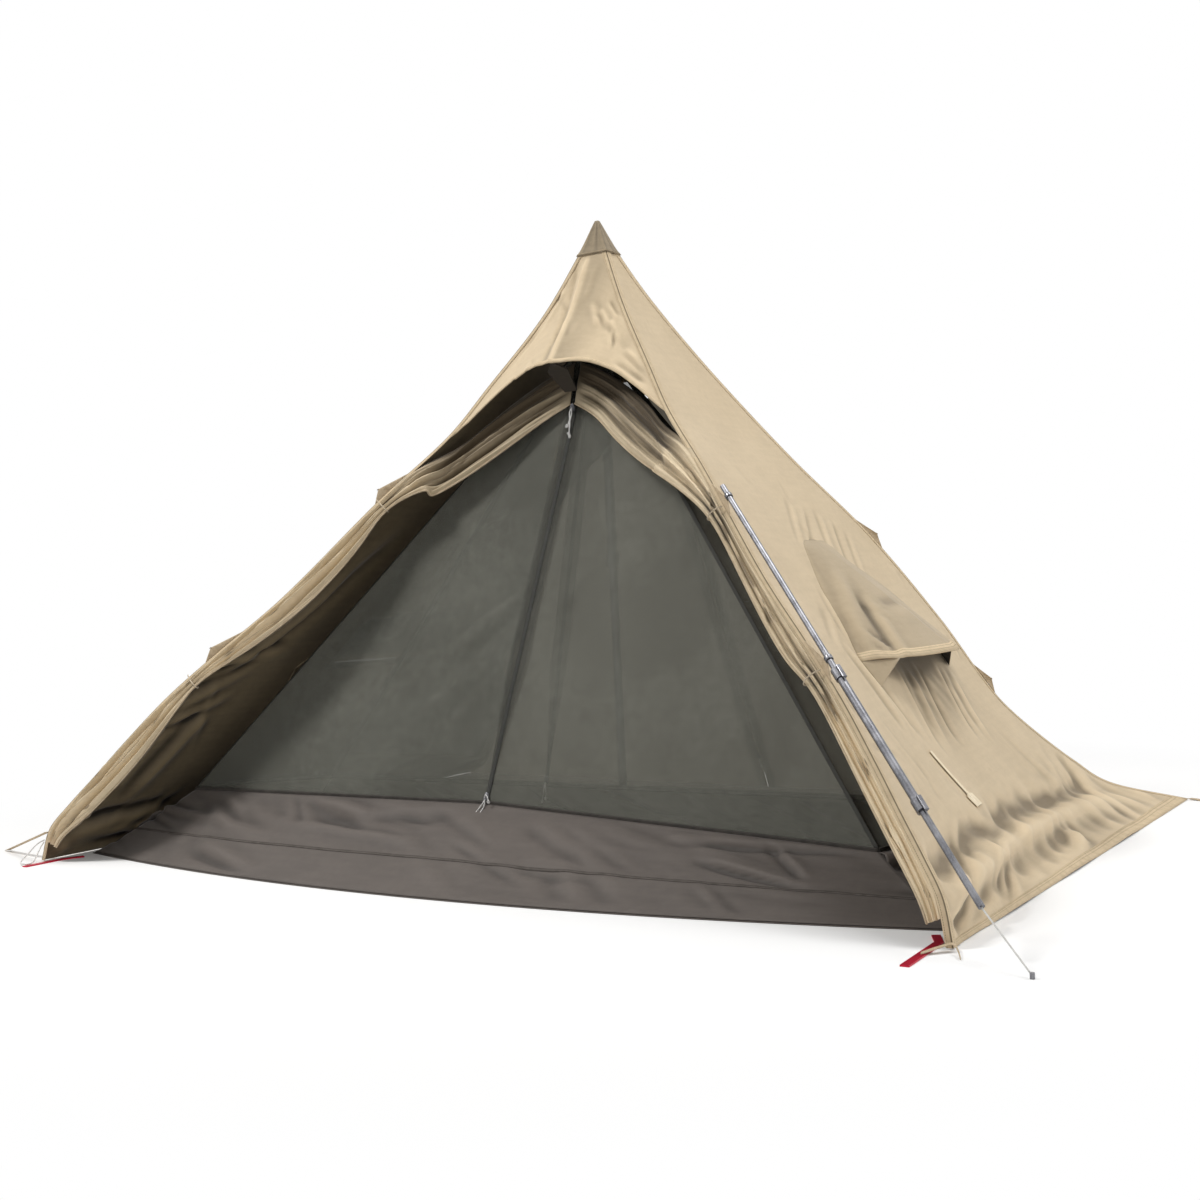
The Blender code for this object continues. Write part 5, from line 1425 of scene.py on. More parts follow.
@dataclass
class SideHood:
    """Eyelid hood over a side vent, with a gusset at each end of its lip."""

    side: int
    top: float = 0.458
    lip: float = 0.285
    low: float = 0.250
    top_half: float = 0.070
    lip_half: float = 0.330
    reach: float = 0.140
    mouth: float = 0.74
    thickness: float = PLY
    pushes: Table = ((1.0, 0.0), (0.74, 0.48), (0.4, 0.82), (0.0, 1.0))

    def points(self, across: Array, down: Array) -> Array:
        """Points of the hood, across -1 to 1 and down 0 at the top to 1 at the lip.

        Args:
            across: places across, -1 to 1.
            down: places from the top, 0, to the lip, 1.

        Returns:
            The points.
        """
        level = self.top + (self.lip - self.top) * down
        half = self.top_half + (self.lip_half - self.top_half) * down
        y = half * across
        seat = 0.0040 * soft_step(1 - np.abs(across), 0.0, 0.10) * soft_step(down, 0.0, 0.10) - 0.0018
        base = SHAPE.wall_at(self.side, y, level) + SHAPE.wall_normal(self.side, y, level) * seat[..., None]
        base[..., 0] += self.side * self.reach * curve_value(self.pushes, np.abs(across)) * down
        return base

    def build(self) -> None:
        """Hood with its lip hem, and the two gussets."""
        word = side_word(self.side)
        across, down = grid(steps(0.30), steps(0.70))
        across = across * 2 - 1
        surface = Surface(self.points(across, down), (self.side, 0, 0.6))
        y, z = surface.points[..., 1], surface.points[..., 2]
        folds = Wrinkles(seed=51, count=26, depth=0.0022, length=(0.04, 0.14), angle=1.3).height(y, z)
        folds += Crease((-0.30, 0.47), (-0.06, 0.66), 0.016, 0.007).height(y, z)
        folds += Crease((-0.25, 0.45), (-0.10, 0.60), 0.010, -0.006).height(y, z)
        folds += Crease((0.30, 0.47), (0.06, 0.66), 0.016, 0.005).height(y, z)
        edge = soft_step(1 - np.abs(across), 0.0, 0.12) * soft_step(down, 0.0, 0.15)
        surface = surface.raised(folds * edge)
        gussets = []
        for share in (-1.0, 1.0):
            mouth = self.mouth * share
            run = np.linspace(0, 1, steps(0.10))
            lip_row = self.points(share + (mouth - share) * run, np.ones_like(run))
            y = self.lip_half * share
            foot = SHAPE.wall_at(self.side, y, self.low) + SHAPE.wall_normal(self.side, y, self.low) * PLY
            drop = np.linspace(0, 1, steps(0.06))
            corner = lip_row[0]
            inner = lip_row[-1] + (foot - lip_row[-1]) * drop[:, None]
            outer = corner + (foot - corner) * drop[:, None]
            fan = outer[:, None] + (inner - outer)[:, None] * run[None, :, None]
            gussets.append(Surface(fan, (self.side, 0, 0.2)).mesh("gusset"))
        mesh = joined("side hood", [surface.mesh("hood"), *gussets])
        name = f"side_hood_{word}"
        hood = show(
            f"fly_{name}", mesh, SIDE_HOOD_SHADE, Slot.FLY, stands_for=(name,), lining=HOOD_INSIDE_SHADOW,
            thickness=self.thickness,
        )
        max(surface.area() * 1.05, 0.085)
        band = surface.band(slice(-3, None), LIP_HEM, 0.0007)
        show(f"side_hood_hem_{word}", band.mesh("hem"), SEAM, Slot.FLY, thickness=0.0022)


@dataclass
class Hood:
    """Hood over the front or the back, pushed out at the middle of its arched lip."""

    end: int
    thickness: float = PLY
    creases: tuple[Crease, ...] = ()
    crest_height: float = 0.0130
    valley_depth: float = 0.0060

    def facet(self, x: Array, down: Array) -> Array:
        """Painted highlight on the crest, painted shade on the facet beside it and in the fold, and painted
        light on the left part.

        Args:
            x: places along X.
            down: places from the top, 0, to the lip, 1.

        Returns:
            The shade, below 0 for dark.
        """
        crest = 0.9 * np.exp(-(((x + 0.012) / 0.006) ** 2))
        facet = 0.55 * soft_step(x, -0.012, 0.004) * (1 - soft_step(x, 0.02, 0.09))
        fold = 0.8 * soft_step(down, 0.25, 0.75) * np.exp(-(((x + 0.030) / 0.007) ** 2))
        # Painted light: the left part of the hood, facing the key lamp, lighter.
        left = 0.35 * (1 - soft_step(x, -0.13, -0.03))
        return crest - facet - fold + left

    def build(self) -> None:
        """Hood with its crest, wrinkles and doubled lip."""
        name = "front_hood" if self.end < 0 else "rear_hood"
        fine = CELL * 0.8
        across, down = grid(steps(0.46, fine), steps(0.62, fine))
        across = across * 2 - 1
        surface = Surface(SHAPE.hood(self.end, across, down), (0, self.end, 0.6))
        x, z = surface.points[..., 0], surface.points[..., 2]
        folds = Wrinkles(
            seed=71 + self.end, count=55, depth=0.0016, length=(0.03, 0.12), width=(0.004, 0.010),
            angle=1.9, spread=0.5, waves=0.0008, wave_length=0.12,
        ).height(x, z)
        for crease in self.creases:
            folds = folds + crease.height(x, z)
        inside = soft_step(1 - np.abs(across), 0.02, 0.14) * soft_step(down, 0.02, 0.12)
        crest = self.crest_height * np.exp(-np.abs(x + 0.014) / 0.016)
        crest = crest - self.valley_depth * np.exp(-(((x + 0.040) / 0.010) ** 2))
        crest = crest * soft_step(down, 0.03, 0.25) * (1 - 0.75 * soft_step(down, 0.80, 1.0))
        surface = surface.raised((folds + crest) * inside)
        surface.shade = surface.shade + self.facet(x, down) * inside
        hood = show_fly(name, surface, FLY, Slot.FLY, lining=HOOD_INSIDE_SHADOW, thickness=self.thickness)
        max(surface.area(), 0.116)
        band = surface.band(slice(-3, None), LIP_HEM, 0.0008)
        show(f"{name}_lip", band.mesh("lip"), SEAM, Slot.FLY, thickness=0.0026, lining=DOOR_SHADE)


@dataclass
class ApexCap:
    """Four-sided cap over the peak."""

    bottom: float = 0.9415
    top: float = 0.9985
    ease: float = 0.0012
    per_side: int = 12

    def build(self) -> None:
        """Cap with rounded corners and a stitched lower band."""
        levels = np.linspace(self.bottom, self.top, 16)
        corners = ((-1, -1), (1, -1), (1, 1), (-1, 1))
        rings = []
        for level in levels:
            ease = self.ease + self.ease * float(1 - soft_step(level, self.bottom, self.bottom + 0.012))
            ring = [SHAPE.ridge(s, e, level) + np.array([s * ease, e * ease, 0]) for s, e in corners]
            line = [
                a + (b - a) * (step / self.per_side)
                for a, b in zip(ring, (*ring[1:], ring[0])) for step in range(self.per_side)
            ]
            line.append(line[0])
            rings.append(line)
        tip = np.array([0, 0, SHAPE.height - self.ease])
        rings.append([tip + (np.array(p) - tip) * 0.02 for p in rings[-1]])
        surface = Surface(np.array(rings), (0, 0, 1), centred=False)
        middle = surface.points.mean(axis=1, keepdims=True)
        out = unit(surface.points - middle)
        slim = np.linspace(1, 0, len(surface.points))[:, None, None] ** 0.5
        surface.points = surface.points + out * self.ease * slim
        turn = np.linspace(0, 2 * math.pi, surface.points.shape[1])[None]
        # Painted shade and highlight of pleats round the cap, which its shape does not have.
        pleats = np.sin(turn * 9 + 1.3) * 0.6 + np.sin(turn * 17 + 0.4) * 0.4
        surface.shade = pleats * np.linspace(0.5, 1.1, len(surface.points))[:, None]
        mesh = surface.mesh("cap")
        flip_outward(mesh)
        show("fly_apex_cap", mesh, CAP_CLOTH, Slot.TAPE, stands_for=("apex_cap",), thickness=0.0010)
        band = Surface(surface.points[:2], (0, 0, 1), centred=False)
        band.points = band.points + unit(band.points - middle[:2]) * 0.0009
        band.v = band.u
        band.u = np.linspace(0, 0.005, 2)[:, None] * np.ones_like(band.v)
        mesh = band.mesh("cap band")
        flip_outward(mesh)
        show("cap_band", mesh, CAP_SEAM, Slot.TAPE, thickness=0.0008)


def flip_outward(mesh: Mesh) -> None:
    """Turn a mesh's faces away from the tent's middle line."""
    if sum(face.center.to_2d().dot(face.normal.to_2d()) * face.area for face in mesh.polygons) < 0:
        mesh.flip_normals()


@dataclass
class RearPanels:
    """The two halves of the back, with the storm flap over the zip."""

    thickness: float = PLY
    crowding: float = 1.1
    hem_gap: float = 0.0002
    flap_half: float = 0.026
    flap_lift: float = 0.0022

    def build(self) -> None:
        """Both panels and the flap."""
        for side, word in ((-1, "left"), (1, "right")):
            across, down = grid(steps(1.35, CELL * 1.3), steps(1.15, CELL * 1.3))
            level = SHAPE.rear_top * (1 - down) ** self.crowding
            surface = Surface(SHAPE.rear(side, across, level), (0, 1, 0.6))
            surface.u = surface.u - surface.u[:, -1:]
            x, z = surface.points[..., 0], surface.points[..., 2]
            inside = soft_step(across, 0.01, 0.08) * soft_step(1 - across, 0.01, 0.08)
            folds = Wrinkles(seed=90 + side, count=70, depth=0.0012, waves=0.0025).height(x, z)
            surface = surface.raised(folds * inside)
            surface.points[..., 2] = np.maximum(surface.points[..., 2], GROUND_GAP)
            surface.points[-1, :, 2] = self.hem_gap
            panel = show_fly(
                f"rear_panel_{word}", surface, FLY, Slot.FLY, lining=REAR_INSIDE_SHADE_GLOW, thickness=self.thickness,
            )
            max(surface.area(), 0.51)
        level = np.linspace(0.558, 0.028, steps(1.0))
        middle = SHAPE.rear_line(level)
        normal = np.array([0, 0.896, 0.443])
        left = unit(SHAPE.ridge(-1, 1, level) - middle)
        right = unit(SHAPE.ridge(1, 1, level) - middle)
        columns = [middle + (left if s < 0 else right) * abs(s) * self.flap_half for s in np.linspace(-1, 1, 7)]
        surface = Surface(np.stack(columns, axis=1) + normal * self.flap_lift, (0, 1, 0.5))
        flap = show(
            "rear_storm_flap", surface.mesh("flap"), TAPE, Slot.TAPE, stands_for=("rear_zip_flap",),
            thickness=PLY,
        )
        width = 2 * self.flap_half
        surface.area() / width


@dataclass
class DoorLeaf:
    """One front door leaf, swept to its ridge and gathered at the two ties."""

    side: int
    thickness: float = 0.0009
    band: tuple = (
        ((0.0075, -0.1353, 0.7629), (0.0057, -0.1743, 0.6923)),
        ((0.0708, -0.1514, 0.7406), (0.0667, -0.1972, 0.6675)),
        ((0.1417, -0.1778, 0.7088), (0.1367, -0.2546, 0.6262)),
        ((0.2042, -0.2133, 0.6726), (0.2167, -0.3073, 0.5849)),
        ((0.2567, -0.2615, 0.6389), (0.2850, -0.3498, 0.5575)),
    )
    levels: tuple[float, ...] = (
        0.600, 0.555, 0.500, 0.430, 0.365, 0.315, 0.285, 0.250, 0.200, 0.150, 0.100, 0.060, 0.030, 0.000,
    )
    widths: tuple[float, ...] = (
        0.098, 0.047, 0.080, 0.092, 0.080, 0.056, 0.045, 0.066, 0.088, 0.092, 0.084, 0.062, 0.046,
    )
    swells: tuple[float, ...] = (
        0.009, 0.006, 0.014, 0.018, 0.015, 0.008, 0.006, 0.012, 0.018, 0.020, 0.018, 0.013, 0.009,
    )
    band_swells: tuple[float, ...] = (0.0, 0.006, 0.010, 0.011, 0.010)
    pleats: float = 2.5
    fine_pleats: float = 6.3
    tiny_pleats: float = 13.7
    fine_share: float = 0.34
    tiny_share: float = 0.12
    tuck: float = 0.004
    smoothings: int = 40
    length: float = 1.95
    ties: tuple[int, int] = (1, 6)

    @property
    def word(self) -> str:
        """Name of the side."""
        return side_word(self.side)

    def frames(self) -> tuple[Array, Array, Array, Array]:
        """Attached points, tape edges, free points and outward directions, row by row.

        Returns:
            The four lists of rows.
        """
        starts, seconds, finishes, outs = [], [], [], []
        scale = np.array([self.side * SHAPE.half_width, SHAPE.half_depth, SHAPE.height])
        for attached, free in self.band:
            start, finish = np.array(attached) * scale, np.array(free) * scale
            run = finish - start
            out = unit(np.cross(run, (self.side, 0, 0)))
            out = out if out[1] < 0 else -out
            length = np.linalg.norm(run)
            starts.append(start + run * (SHAPE.setback / length))
            seconds.append(start + run * (SHAPE.end_seam / length))
            finishes.append(finish)
            outs.append(out)
        ridge_levels = (0.655, *self.levels)
        for row, width in enumerate(self.widths):
            level = ridge_levels[row + 1] if row < len(self.levels) else 0
            above, below = ridge_levels[row], ridge_levels[min(row + 2, len(ridge_levels) - 1)]
            tangent = unit(SHAPE.ridge(self.side, -1, below) - SHAPE.ridge(self.side, -1, above))
            inward = np.array([-self.side, 0.0, 0.0])
            down = unit(inward - tangent * float(inward @ tangent))
            face = unit(np.cross(tangent, inward))
            face = face if face @ np.array([0, -1, 1]) > 0 else -face
            edge = SHAPE.ridge(self.side, -1, level)
            starts.append(edge + inward * SHAPE.setback)
            seconds.append(edge + inward * SHAPE.end_seam)
            finishes.append(edge + down * width)
            outs.append(face)
        return np.array(starts), np.array(seconds), np.array(finishes), np.array(outs)

    def painted(self, t: Array, share: Array, pleat: Array, slow: Array) -> Array:
        """Painted shade of the pleats, of the ties' pinches and under the hood, with painted highlights on the
        pleats and the lower right leaf.

        Args:
            t: row numbers of the frames, one for each row of the grid.
            share: places across, from the ridge to the free edge.
            pleat: height of the pleats, -1 to 1.
            slow: slow wave that runs down the leaf.

        Returns:
            The shade on the grid.
        """
        first, low_tie = len(self.band), len(self.band) + self.ties[1]
        # Painted shade: hooded and deep darken the leaf under the hood's lip.
        hooded = (1 - soft_step(t, 3.4, 5.8))[:, None]
        deep = hooded * (1 - share[None]) ** (0.8 if self.side < 0 else 1.5)
        pinched = sum(np.exp(-(((t - first - row) / 0.55) ** 2)) for row in self.ties)[:, None]
        dark = np.abs(np.sin(2 * math.pi * (7.1 * share[None] + 0.2 * slow)))
        shade = pleat * (0.50 + 0.5 * pinched) * (1 - 0.55 * deep) - 0.9 * pinched * dark
        # Painted light: the right leaf below its lower tie lightened, a flat strip in the light.
        if self.side > 0:
            low = 1 - 0.75 * soft_step(t, low_tie + 0.5, low_tie + 1.6)[:, None]
            shade = shade * low + 1.2 * (1 - low)
        return shade - 0.30 * hooded - 1.45 * deep

    def build(self) -> None:
        """Pleated leaf, its bound free edge and its folds."""
        starts, seconds, finishes, outs = self.frames()
        rows = steps(self.length, CELL * 0.75)
        t = np.linspace(0, len(starts) - 1, rows)
        start, second, finish = through(starts, t), through(seconds, t), through(finishes, t)
        out = unit(through(outs, t))
        for _ in range(self.smoothings):
            finish[1:-1] = (finish[:-2] + 2 * finish[1:-1] + finish[2:]) / 4
        swell = np.maximum(through((*self.band_swells, *self.swells), t), 0)
        tuck = np.where(t > 4.5, self.tuck, 0.0) * soft_step(t, 4.5, 5.5)
        share = np.linspace(0, 1, 72)
        envelope = np.sqrt(np.maximum(np.sin(math.pi * share), 0))
        high = swell[:, None] * envelope
        slow = np.sin(0.9 * t + self.side)[:, None]
        main = high * np.sin(2 * math.pi * self.pleats * share)[None]
        turn = 2 * math.pi * (self.fine_pleats * share[None] + 0.16 * slow) + 2.1 * slow
        fine = self.fine_share * high * np.sin(turn)
        turn = 2 * math.pi * (self.tiny_pleats * share[None] + 0.30 * slow) + t[:, None]
        tiny = self.tiny_share * high * np.sin(turn)
        offset = main + fine + tiny - tuck[:, None] * np.sin(math.pi * share)[None]
        points = second[:, None] + (finish - second)[:, None] * share[None, :, None]
        points = points + out[:, None] * offset[..., None]
        surface = Surface(np.concatenate([start[:, None], points], axis=1), (0, -1, 0.5))
        noise = Wrinkles(
            seed=120 + self.side, count=90, depth=0.0013, length=(0.03, 0.12), width=(0.003, 0.009),
            angle=1.5, spread=0.35, waves=0.0006, wave_length=0.1,
        ).height(surface.u, surface.v)
        inside = np.concatenate([np.zeros((rows, 1)), np.repeat(envelope[None], rows, axis=0)], axis=1)
        surface = surface.raised(noise * inside)
        pleat = np.clip((main + 1.5 * fine + 1.5 * tiny) / np.maximum(swell, 0.003)[:, None], -1.1, 1.1)
        shade = self.painted(t, share, pleat, slow)
        surface.shade = surface.shade * 0.3 + np.concatenate([shade[:, :1], shade], axis=1)
        surface.points[..., 2] = np.maximum(surface.points[..., 2], GROUND_GAP)
        leaf = show_fly(
            f"door_leaf_{self.word}", surface, DOOR, Slot.DOOR, lining=DOOR_SHADE, thickness=self.thickness,
        )
        width = surface.area() / self.length
        f"ridge_tape_front_{self.word}"
        edge = Tube(surface.points[:: 1, -1], 0.0022, 8).mesh("edge")
        show(f"door_edge_{self.word}", edge, TAPE, Slot.DOOR)


def right_leaf() -> DoorLeaf:
    """The right leaf, gathered closer to its ridge than the left one.

    Returns:
        The leaf.
    """
    return DoorLeaf(
        1,
        widths=(0.104, 0.070, 0.040, 0.040, 0.048, 0.052, 0.041, 0.040, 0.042, 0.042, 0.041, 0.040, 0.038),
        swells=(0.009, 0.008, 0.005, 0.005, 0.006, 0.006, 0.005, 0.005, 0.005, 0.004, 0.004, 0.003, 0.003),
        ties=(2, 6),
    )


@dataclass
class RidgeTape:
    """Tape over one ridge seam, with its pull-out tabs and, on the front right, the pole's rings."""

    side: int
    end: int
    tabs: tuple[float, ...] = (0.575, 0.330)
    spread: float = 0.026
    reach: float = 0.036
    width: float = 0.030
    thickness: float = 0.0008

    @property
    def name(self) -> str:
        """Name of the node that it stands for."""
        return f"ridge_tape_{'front' if self.end < 0 else 'back'}_{side_word(self.side)}"

    def cross_directions(self, level: Array) -> tuple[Array, Array, Array, Array]:
        """Directions across the wall and the end face, and the normals of both.

        Args:
            level: shares of the fly's height.

        Returns:
            The four lists of vectors.
        """
        step = 0.004
        below, above = np.maximum(level - step, 0), level + step
        tangent = unit(SHAPE.ridge(self.side, self.end, below) - SHAPE.ridge(self.side, self.end, above))
        wall = unit(SHAPE.ridge(self.side, -self.end, level) - SHAPE.ridge(self.side, self.end, level))
        inward = np.broadcast_to(np.array([-self.side, 0.0, 0.0]), wall.shape)
        if self.end > 0:
            toward = unit(SHAPE.rear_line(level) - SHAPE.ridge(self.side, 1, level))
            inward = np.where((level < SHAPE.lip_end)[:, None], toward, inward)
        wall_normal = unit(np.cross(tangent, wall))
        wall_normal = wall_normal * np.sign((wall_normal @ np.array([self.side, 0, 1]))[:, None])
        end_normal = unit(np.cross(tangent, inward))
        end_normal = end_normal * np.sign((end_normal @ np.array([0, self.end, 1]))[:, None])
        return wall, inward, wall_normal, end_normal

    def build(self) -> None:
        """Folded tape, its seam line and its tabs."""
        level = np.linspace(0.944, 0.0, steps(2.2))
        ridge = SHAPE.ridge(self.side, self.end, level)
        wall, inward, wall_normal, end_normal = self.cross_directions(level)
        bisector = unit(wall_normal + end_normal)
        columns = [
            *(ridge + wall * SHAPE.wall_seam * share + wall_normal * PLY for share in np.linspace(1, 0.12, 5)),
            ridge + bisector * PLY * 1.1,
            *(ridge + inward * SHAPE.end_seam * share + end_normal * PLY for share in np.linspace(0.15, 1, 4)),
        ]
        surface = Surface(np.stack(columns, axis=1), (self.side, self.end, 1))
        surface.u = surface.u - surface.u[:, 5:6]
        tape = show_fly(self.name, surface, RIDGE_SEAM, Slot.TAPE, thickness=self.thickness)
        surface.area() / self.width
        f"wall_{side_word(self.side)}"
        for number, share in enumerate(self.tab_levels()):
            self.tab(share, self.tab_reach(number), number)
        if self.side > 0 and self.end < 0:
            self.rings()

    def tab_levels(self) -> tuple[float, ...]:
        """Levels of the tabs; the pole's rings set those of the front right tape.

        Returns:
            The levels.
        """
        if self.side > 0 and self.end < 0:
            return tuple(SHAPE.level(float(self.ring_tip(at)[2])) for at in PolePlace.rings)
        return self.tabs

    def tab_reach(self, number: int) -> float:
        """How far a tab stands out from the ridge.

        Args:
            number: number of the tab, from 0.

        Returns:
            The distance.
        """
        if self.side > 0 and self.end < 0:
            tip = self.ring_tip(PolePlace.rings[number])
            return float(np.linalg.norm(tip - SHAPE.ridge(1, -1, SHAPE.level(float(tip[2]))))) - 0.001
        return self.reach

    def ring_tip(self, at: float) -> Array:
        """Where a pole ring meets its tab."""
        return PolePlace().point(-0.0078, at + PolePlace.ring_half)

    def tab(self, level: float, reach: float, number: int) -> None:
        """Doubled triangular tab with a turned edge.

        Args:
            level: its level on the ridge.
            reach: how far it stands out.
            number: its number, from 0.
        """
        flat = unit(np.array([self.side * SHAPE.half_width, self.end * SHAPE.half_depth, 0.0]))
        upper = SHAPE.ridge(self.side, self.end, level + self.spread)
        lower = SHAPE.ridge(self.side, self.end, level - self.spread)
        tip = SHAPE.ridge(self.side, self.end, level) + flat * reach
        across = np.linspace(0, 1, 14)
        rows = []
        for share in np.linspace(0, 1, 10):
            start, finish = upper + (tip - upper) * share, lower + (tip - lower) * share
            start, finish = start + (lower - upper) * 0.02, finish - (lower - upper) * 0.02
            rows.append(start + (finish - start) * across[:, None])
        points = np.array(rows)
        sideways = np.array([-flat[1], flat[0], 0])
        bend = 0.0018 * np.sin(np.linspace(0, 3, 10))[:, None] * np.sin(np.linspace(0, 2.6, 14))[None]
        surface = Surface(points + sideways * bend[..., None] + flat * 0.0008, tuple(sideways))
        show(f"{self.name}_tab_{number + 1}", surface.mesh("tab"), TAPE, Slot.TAPE, thickness=0.0016)

    def rings(self) -> None:
        """Rings that hold the ridge pole."""
        for number, at in enumerate(PolePlace.rings):
            place = PolePlace()
            radius, wall, half = 0.0070, 0.0016, 0.0058
            profile = [
                (radius + wall / 2 + wall / 2 * math.cos(turn), at + place.ring_half + half * math.sin(turn))
                for turn in np.linspace(0, 2 * math.pi, 13)
            ]
            turns = np.linspace(0, 2 * math.pi, 33)
            rows = np.array([[place.around(r, z, turn) for r, z in profile] for turn in turns])
            mesh = Surface(rows, (0, 0, 1), centred=False).closed_mesh("ring")
            show(f"pole_ring_{number + 1}", mesh, SILVER, Slot.TAPE)


class PolePlace:
    """Place of the ridge pole, with its own axes."""

    rings: tuple[float, float] = (0.030, 0.555)
    ring_half: float = 0.006
    top_level: float = 0.5301
    top_out: float = 0.0413
    foot_out: float = 0.1776
    foot_up: float = 0.012

    def __init__(self) -> None:
        """Work out the pole's axes from the ridge and the corner."""
        corner = np.array([SHAPE.half_width, -SHAPE.half_depth, 0.0])
        flat = unit(corner)
        self.top = SHAPE.ridge(1, -1, self.top_level) + flat * self.top_out
        foot = corner + flat * self.foot_out + np.array([0, 0, self.foot_up])
        self.along = unit(foot - self.top)
        across = np.array([-flat[1], flat[0], 0.0])
        away = np.cross(across, self.along)
        self.away = away if away[2] > 0 else -away
        self.side = np.cross(self.along, self.away)

    def point(self, away: float, along: float) -> Array:
        """Point at a distance off the axis, on its upper side, and along it."""
        return self.top + self.away * away + self.along * along

    def around(self, radius: float, along: float, turn: float) -> Array:
        """Point at a radius, a distance along and a turn round the axis."""
        out = self.away * math.cos(turn) + self.side * math.sin(turn)
        return self.top + self.along * along + out * radius


@dataclass
class Ties:
    """Cord loops round the gathered door leaves."""

    radius: float = 0.0015
    shares: tuple = (
        (0.12, 0.9), (0.45, 1.25), (0.90, 1.0), (1.12, 0.3),
        (1.12, -0.3), (0.90, -1.0), (0.45, -1.25), (0.2, -1.2),
    )

    def build(self) -> None:
        """The four loops."""
        for side, word in ((-1, "left"), (1, "right")):
            leaf = DoorLeaf(side) if side < 0 else right_leaf()
            _, _, finishes, outs = leaf.frames()
            for row, place in zip(leaf.ties, ("upper", "lower")):
                edge = SHAPE.ridge(side, -1, leaf.levels[row])
                free, out = finishes[row + len(leaf.band)], outs[row + len(leaf.band)]
                depth = leaf.swells[row] * 1.25 + 0.002 + 0.0032
                points = [edge + (free - edge) * across + out * depth * aside for across, aside in self.shares]
                path = resampled(points, 0.004)
                name = f"tie_back_{place}_{word}"
                cord = Tube(path, self.radius).mesh(name)
                show(f"fly_{name}", cord, TAPE_CORD, Slot.CORD, stands_for=(name,))


def right_wall() -> SideWall:
    """The right wall with its folds."""
    return SideWall(1, creases=RIGHT_WALL_CREASES, calm=((-0.322, 0.245), (-0.315, 0.205), (-0.305, 0.165)))


@dataclass
class CornerFittings:
    """Webbing straps at the corners and the strap with its patch on the right wall."""

    half: float = 0.008
    strap_half: float = 0.0085
    patch_half: float = 0.024
    strap_lift: float = 0.0034
    patch_start: float = 3.10
    routes: dict = field(default_factory=lambda: {
        "corner_strap_front_left": (-1, -1, (
            (0.0149, 0.0100, 0.0740), (-0.1200, 0.0370, 0.0350), (-0.2400, 0.0700, 0.0025))),
        "corner_strap_front_right": (1, -1, (
            (-0.0360, -0.0520, 0.0037), (-0.0150, -0.0280, 0.0100), (0.0031, -0.0074, 0.0130),
            (0.0200, -0.0300, 0.0090), (0.0340, -0.0560, 0.0022))),
        "corner_strap_back_right": (1, 1, (
            (0.0045, 0.0020, 0.0040), (0.0230, -0.0030, 0.0034), (0.0420, -0.0160, 0.0022))),
        "corner_strap_back_left": (-1, 1, (
            (-0.0045, 0.0020, 0.0040), (-0.0230, -0.0030, 0.0034), (-0.0420, -0.0160, 0.0022))),
    })

    def build(self) -> None:
        """The four corner straps and the wall strap."""
        for name, (side, end, route) in self.routes.items():
            corner = np.array([side * SHAPE.half_width, end * SHAPE.half_depth, 0])
            path = resampled([corner + np.array(p) for p in route], 0.005)
            run = path[-1] - path[0]
            across = (0.35, -1, 0) if name.endswith("front_right") else (-run[1], run[0], 0)
            surface = ribbon(path, across, self.half, (0, 0, 1))
            word = name.replace("corner_", "webbing_")
            strap = show(word, surface.mesh(name), TAPE, Slot.TAPE, stands_for=(name,), thickness=PLY)
            surface.area() / (2 * self.half)
        self.wall_strap()

    def wall_strap(self) -> None:
        """Narrow strap that ends in a square patch."""
        route = ((-0.375, 0.165), (-0.366, 0.140), (-0.357, 0.116), (-0.355, 0.110), (-0.345, 0.094))
        y = [share * SHAPE.half_depth for share, _ in route]
        level = [part for _, part in route]
        at = np.linspace(0, 4, 30)
        ys, levels = through(y, at), through(level, at)
        half = np.where(at > self.patch_start, self.patch_half, self.strap_half)
        here = ys[:, None] + half[:, None] * np.linspace(-1, 1, 9)[None]
        surface = Surface(right_wall().laid(here, levels[:, None] + 0 * here, self.strap_lift), (1, 0, 0.6))
        mesh = surface.mesh("strap")
        show("wall_strap", mesh, STRAP, Slot.TAPE, stands_for=("wall_strap_right",), thickness=PLY)


# Inner tent


@dataclass(frozen=True)
class InnerShape:
    """Net peak, feet and tub lines of the inner tent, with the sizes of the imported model."""

    peak_y: float = -0.045
    peak_z: float = 1.26182
    peak_half: float = 0.006
    front_y: float = -0.575
    corner_y: float = -0.580
    half_width: float = 0.950
    back_y: float = -0.100
    back_half: float = 0.920
    binding: float = 0.152
    binding_right: float = 0.099
    back_binding: float = 0.125
    bulge: float = 0.060
    back_zip_x: float = -0.170
    floor_front_half: float = 1.165
    floor_back_half: float = 1.110
    floor_corner_y: float = -0.745
    floor_bulge: float = 0.138
    floor_back_y: float = -0.032
    seam_share: float = 0.42
    slump: float = 0.006

    def foot(self, name: str) -> Array:
        """Foot of the net at a named corner or zip.

        Args:
            name: which corner or zip.

        Returns:
            The point.
        """
        places = {
            "front_left": (-self.half_width, self.corner_y, self.binding),
            "front_right": (self.half_width, self.corner_y, self.binding_right),
            "back_left": (-self.back_half, self.back_y, self.back_binding),
            "back_right": (self.back_half, self.back_y, self.back_binding),
            "front_zip": (0, self.front_y, self.binding),
            "back_zip": (self.back_zip_x, self.back_y, self.back_binding),
        }
        return np.array(places[name], float)

    def peak(self, x: int, end: int) -> Array:
        """Corner of the net's peak."""
        return np.array([x * self.peak_half * 2, self.peak_y + end * self.peak_half, self.peak_z])

    def floor_front(self, share: Array) -> Array:
        """Points on the front edge of the floor."""
        y = self.floor_corner_y - self.floor_bulge * (1 - share**2)
        return np.stack([share * self.floor_front_half, y, 0 * share], axis=-1)


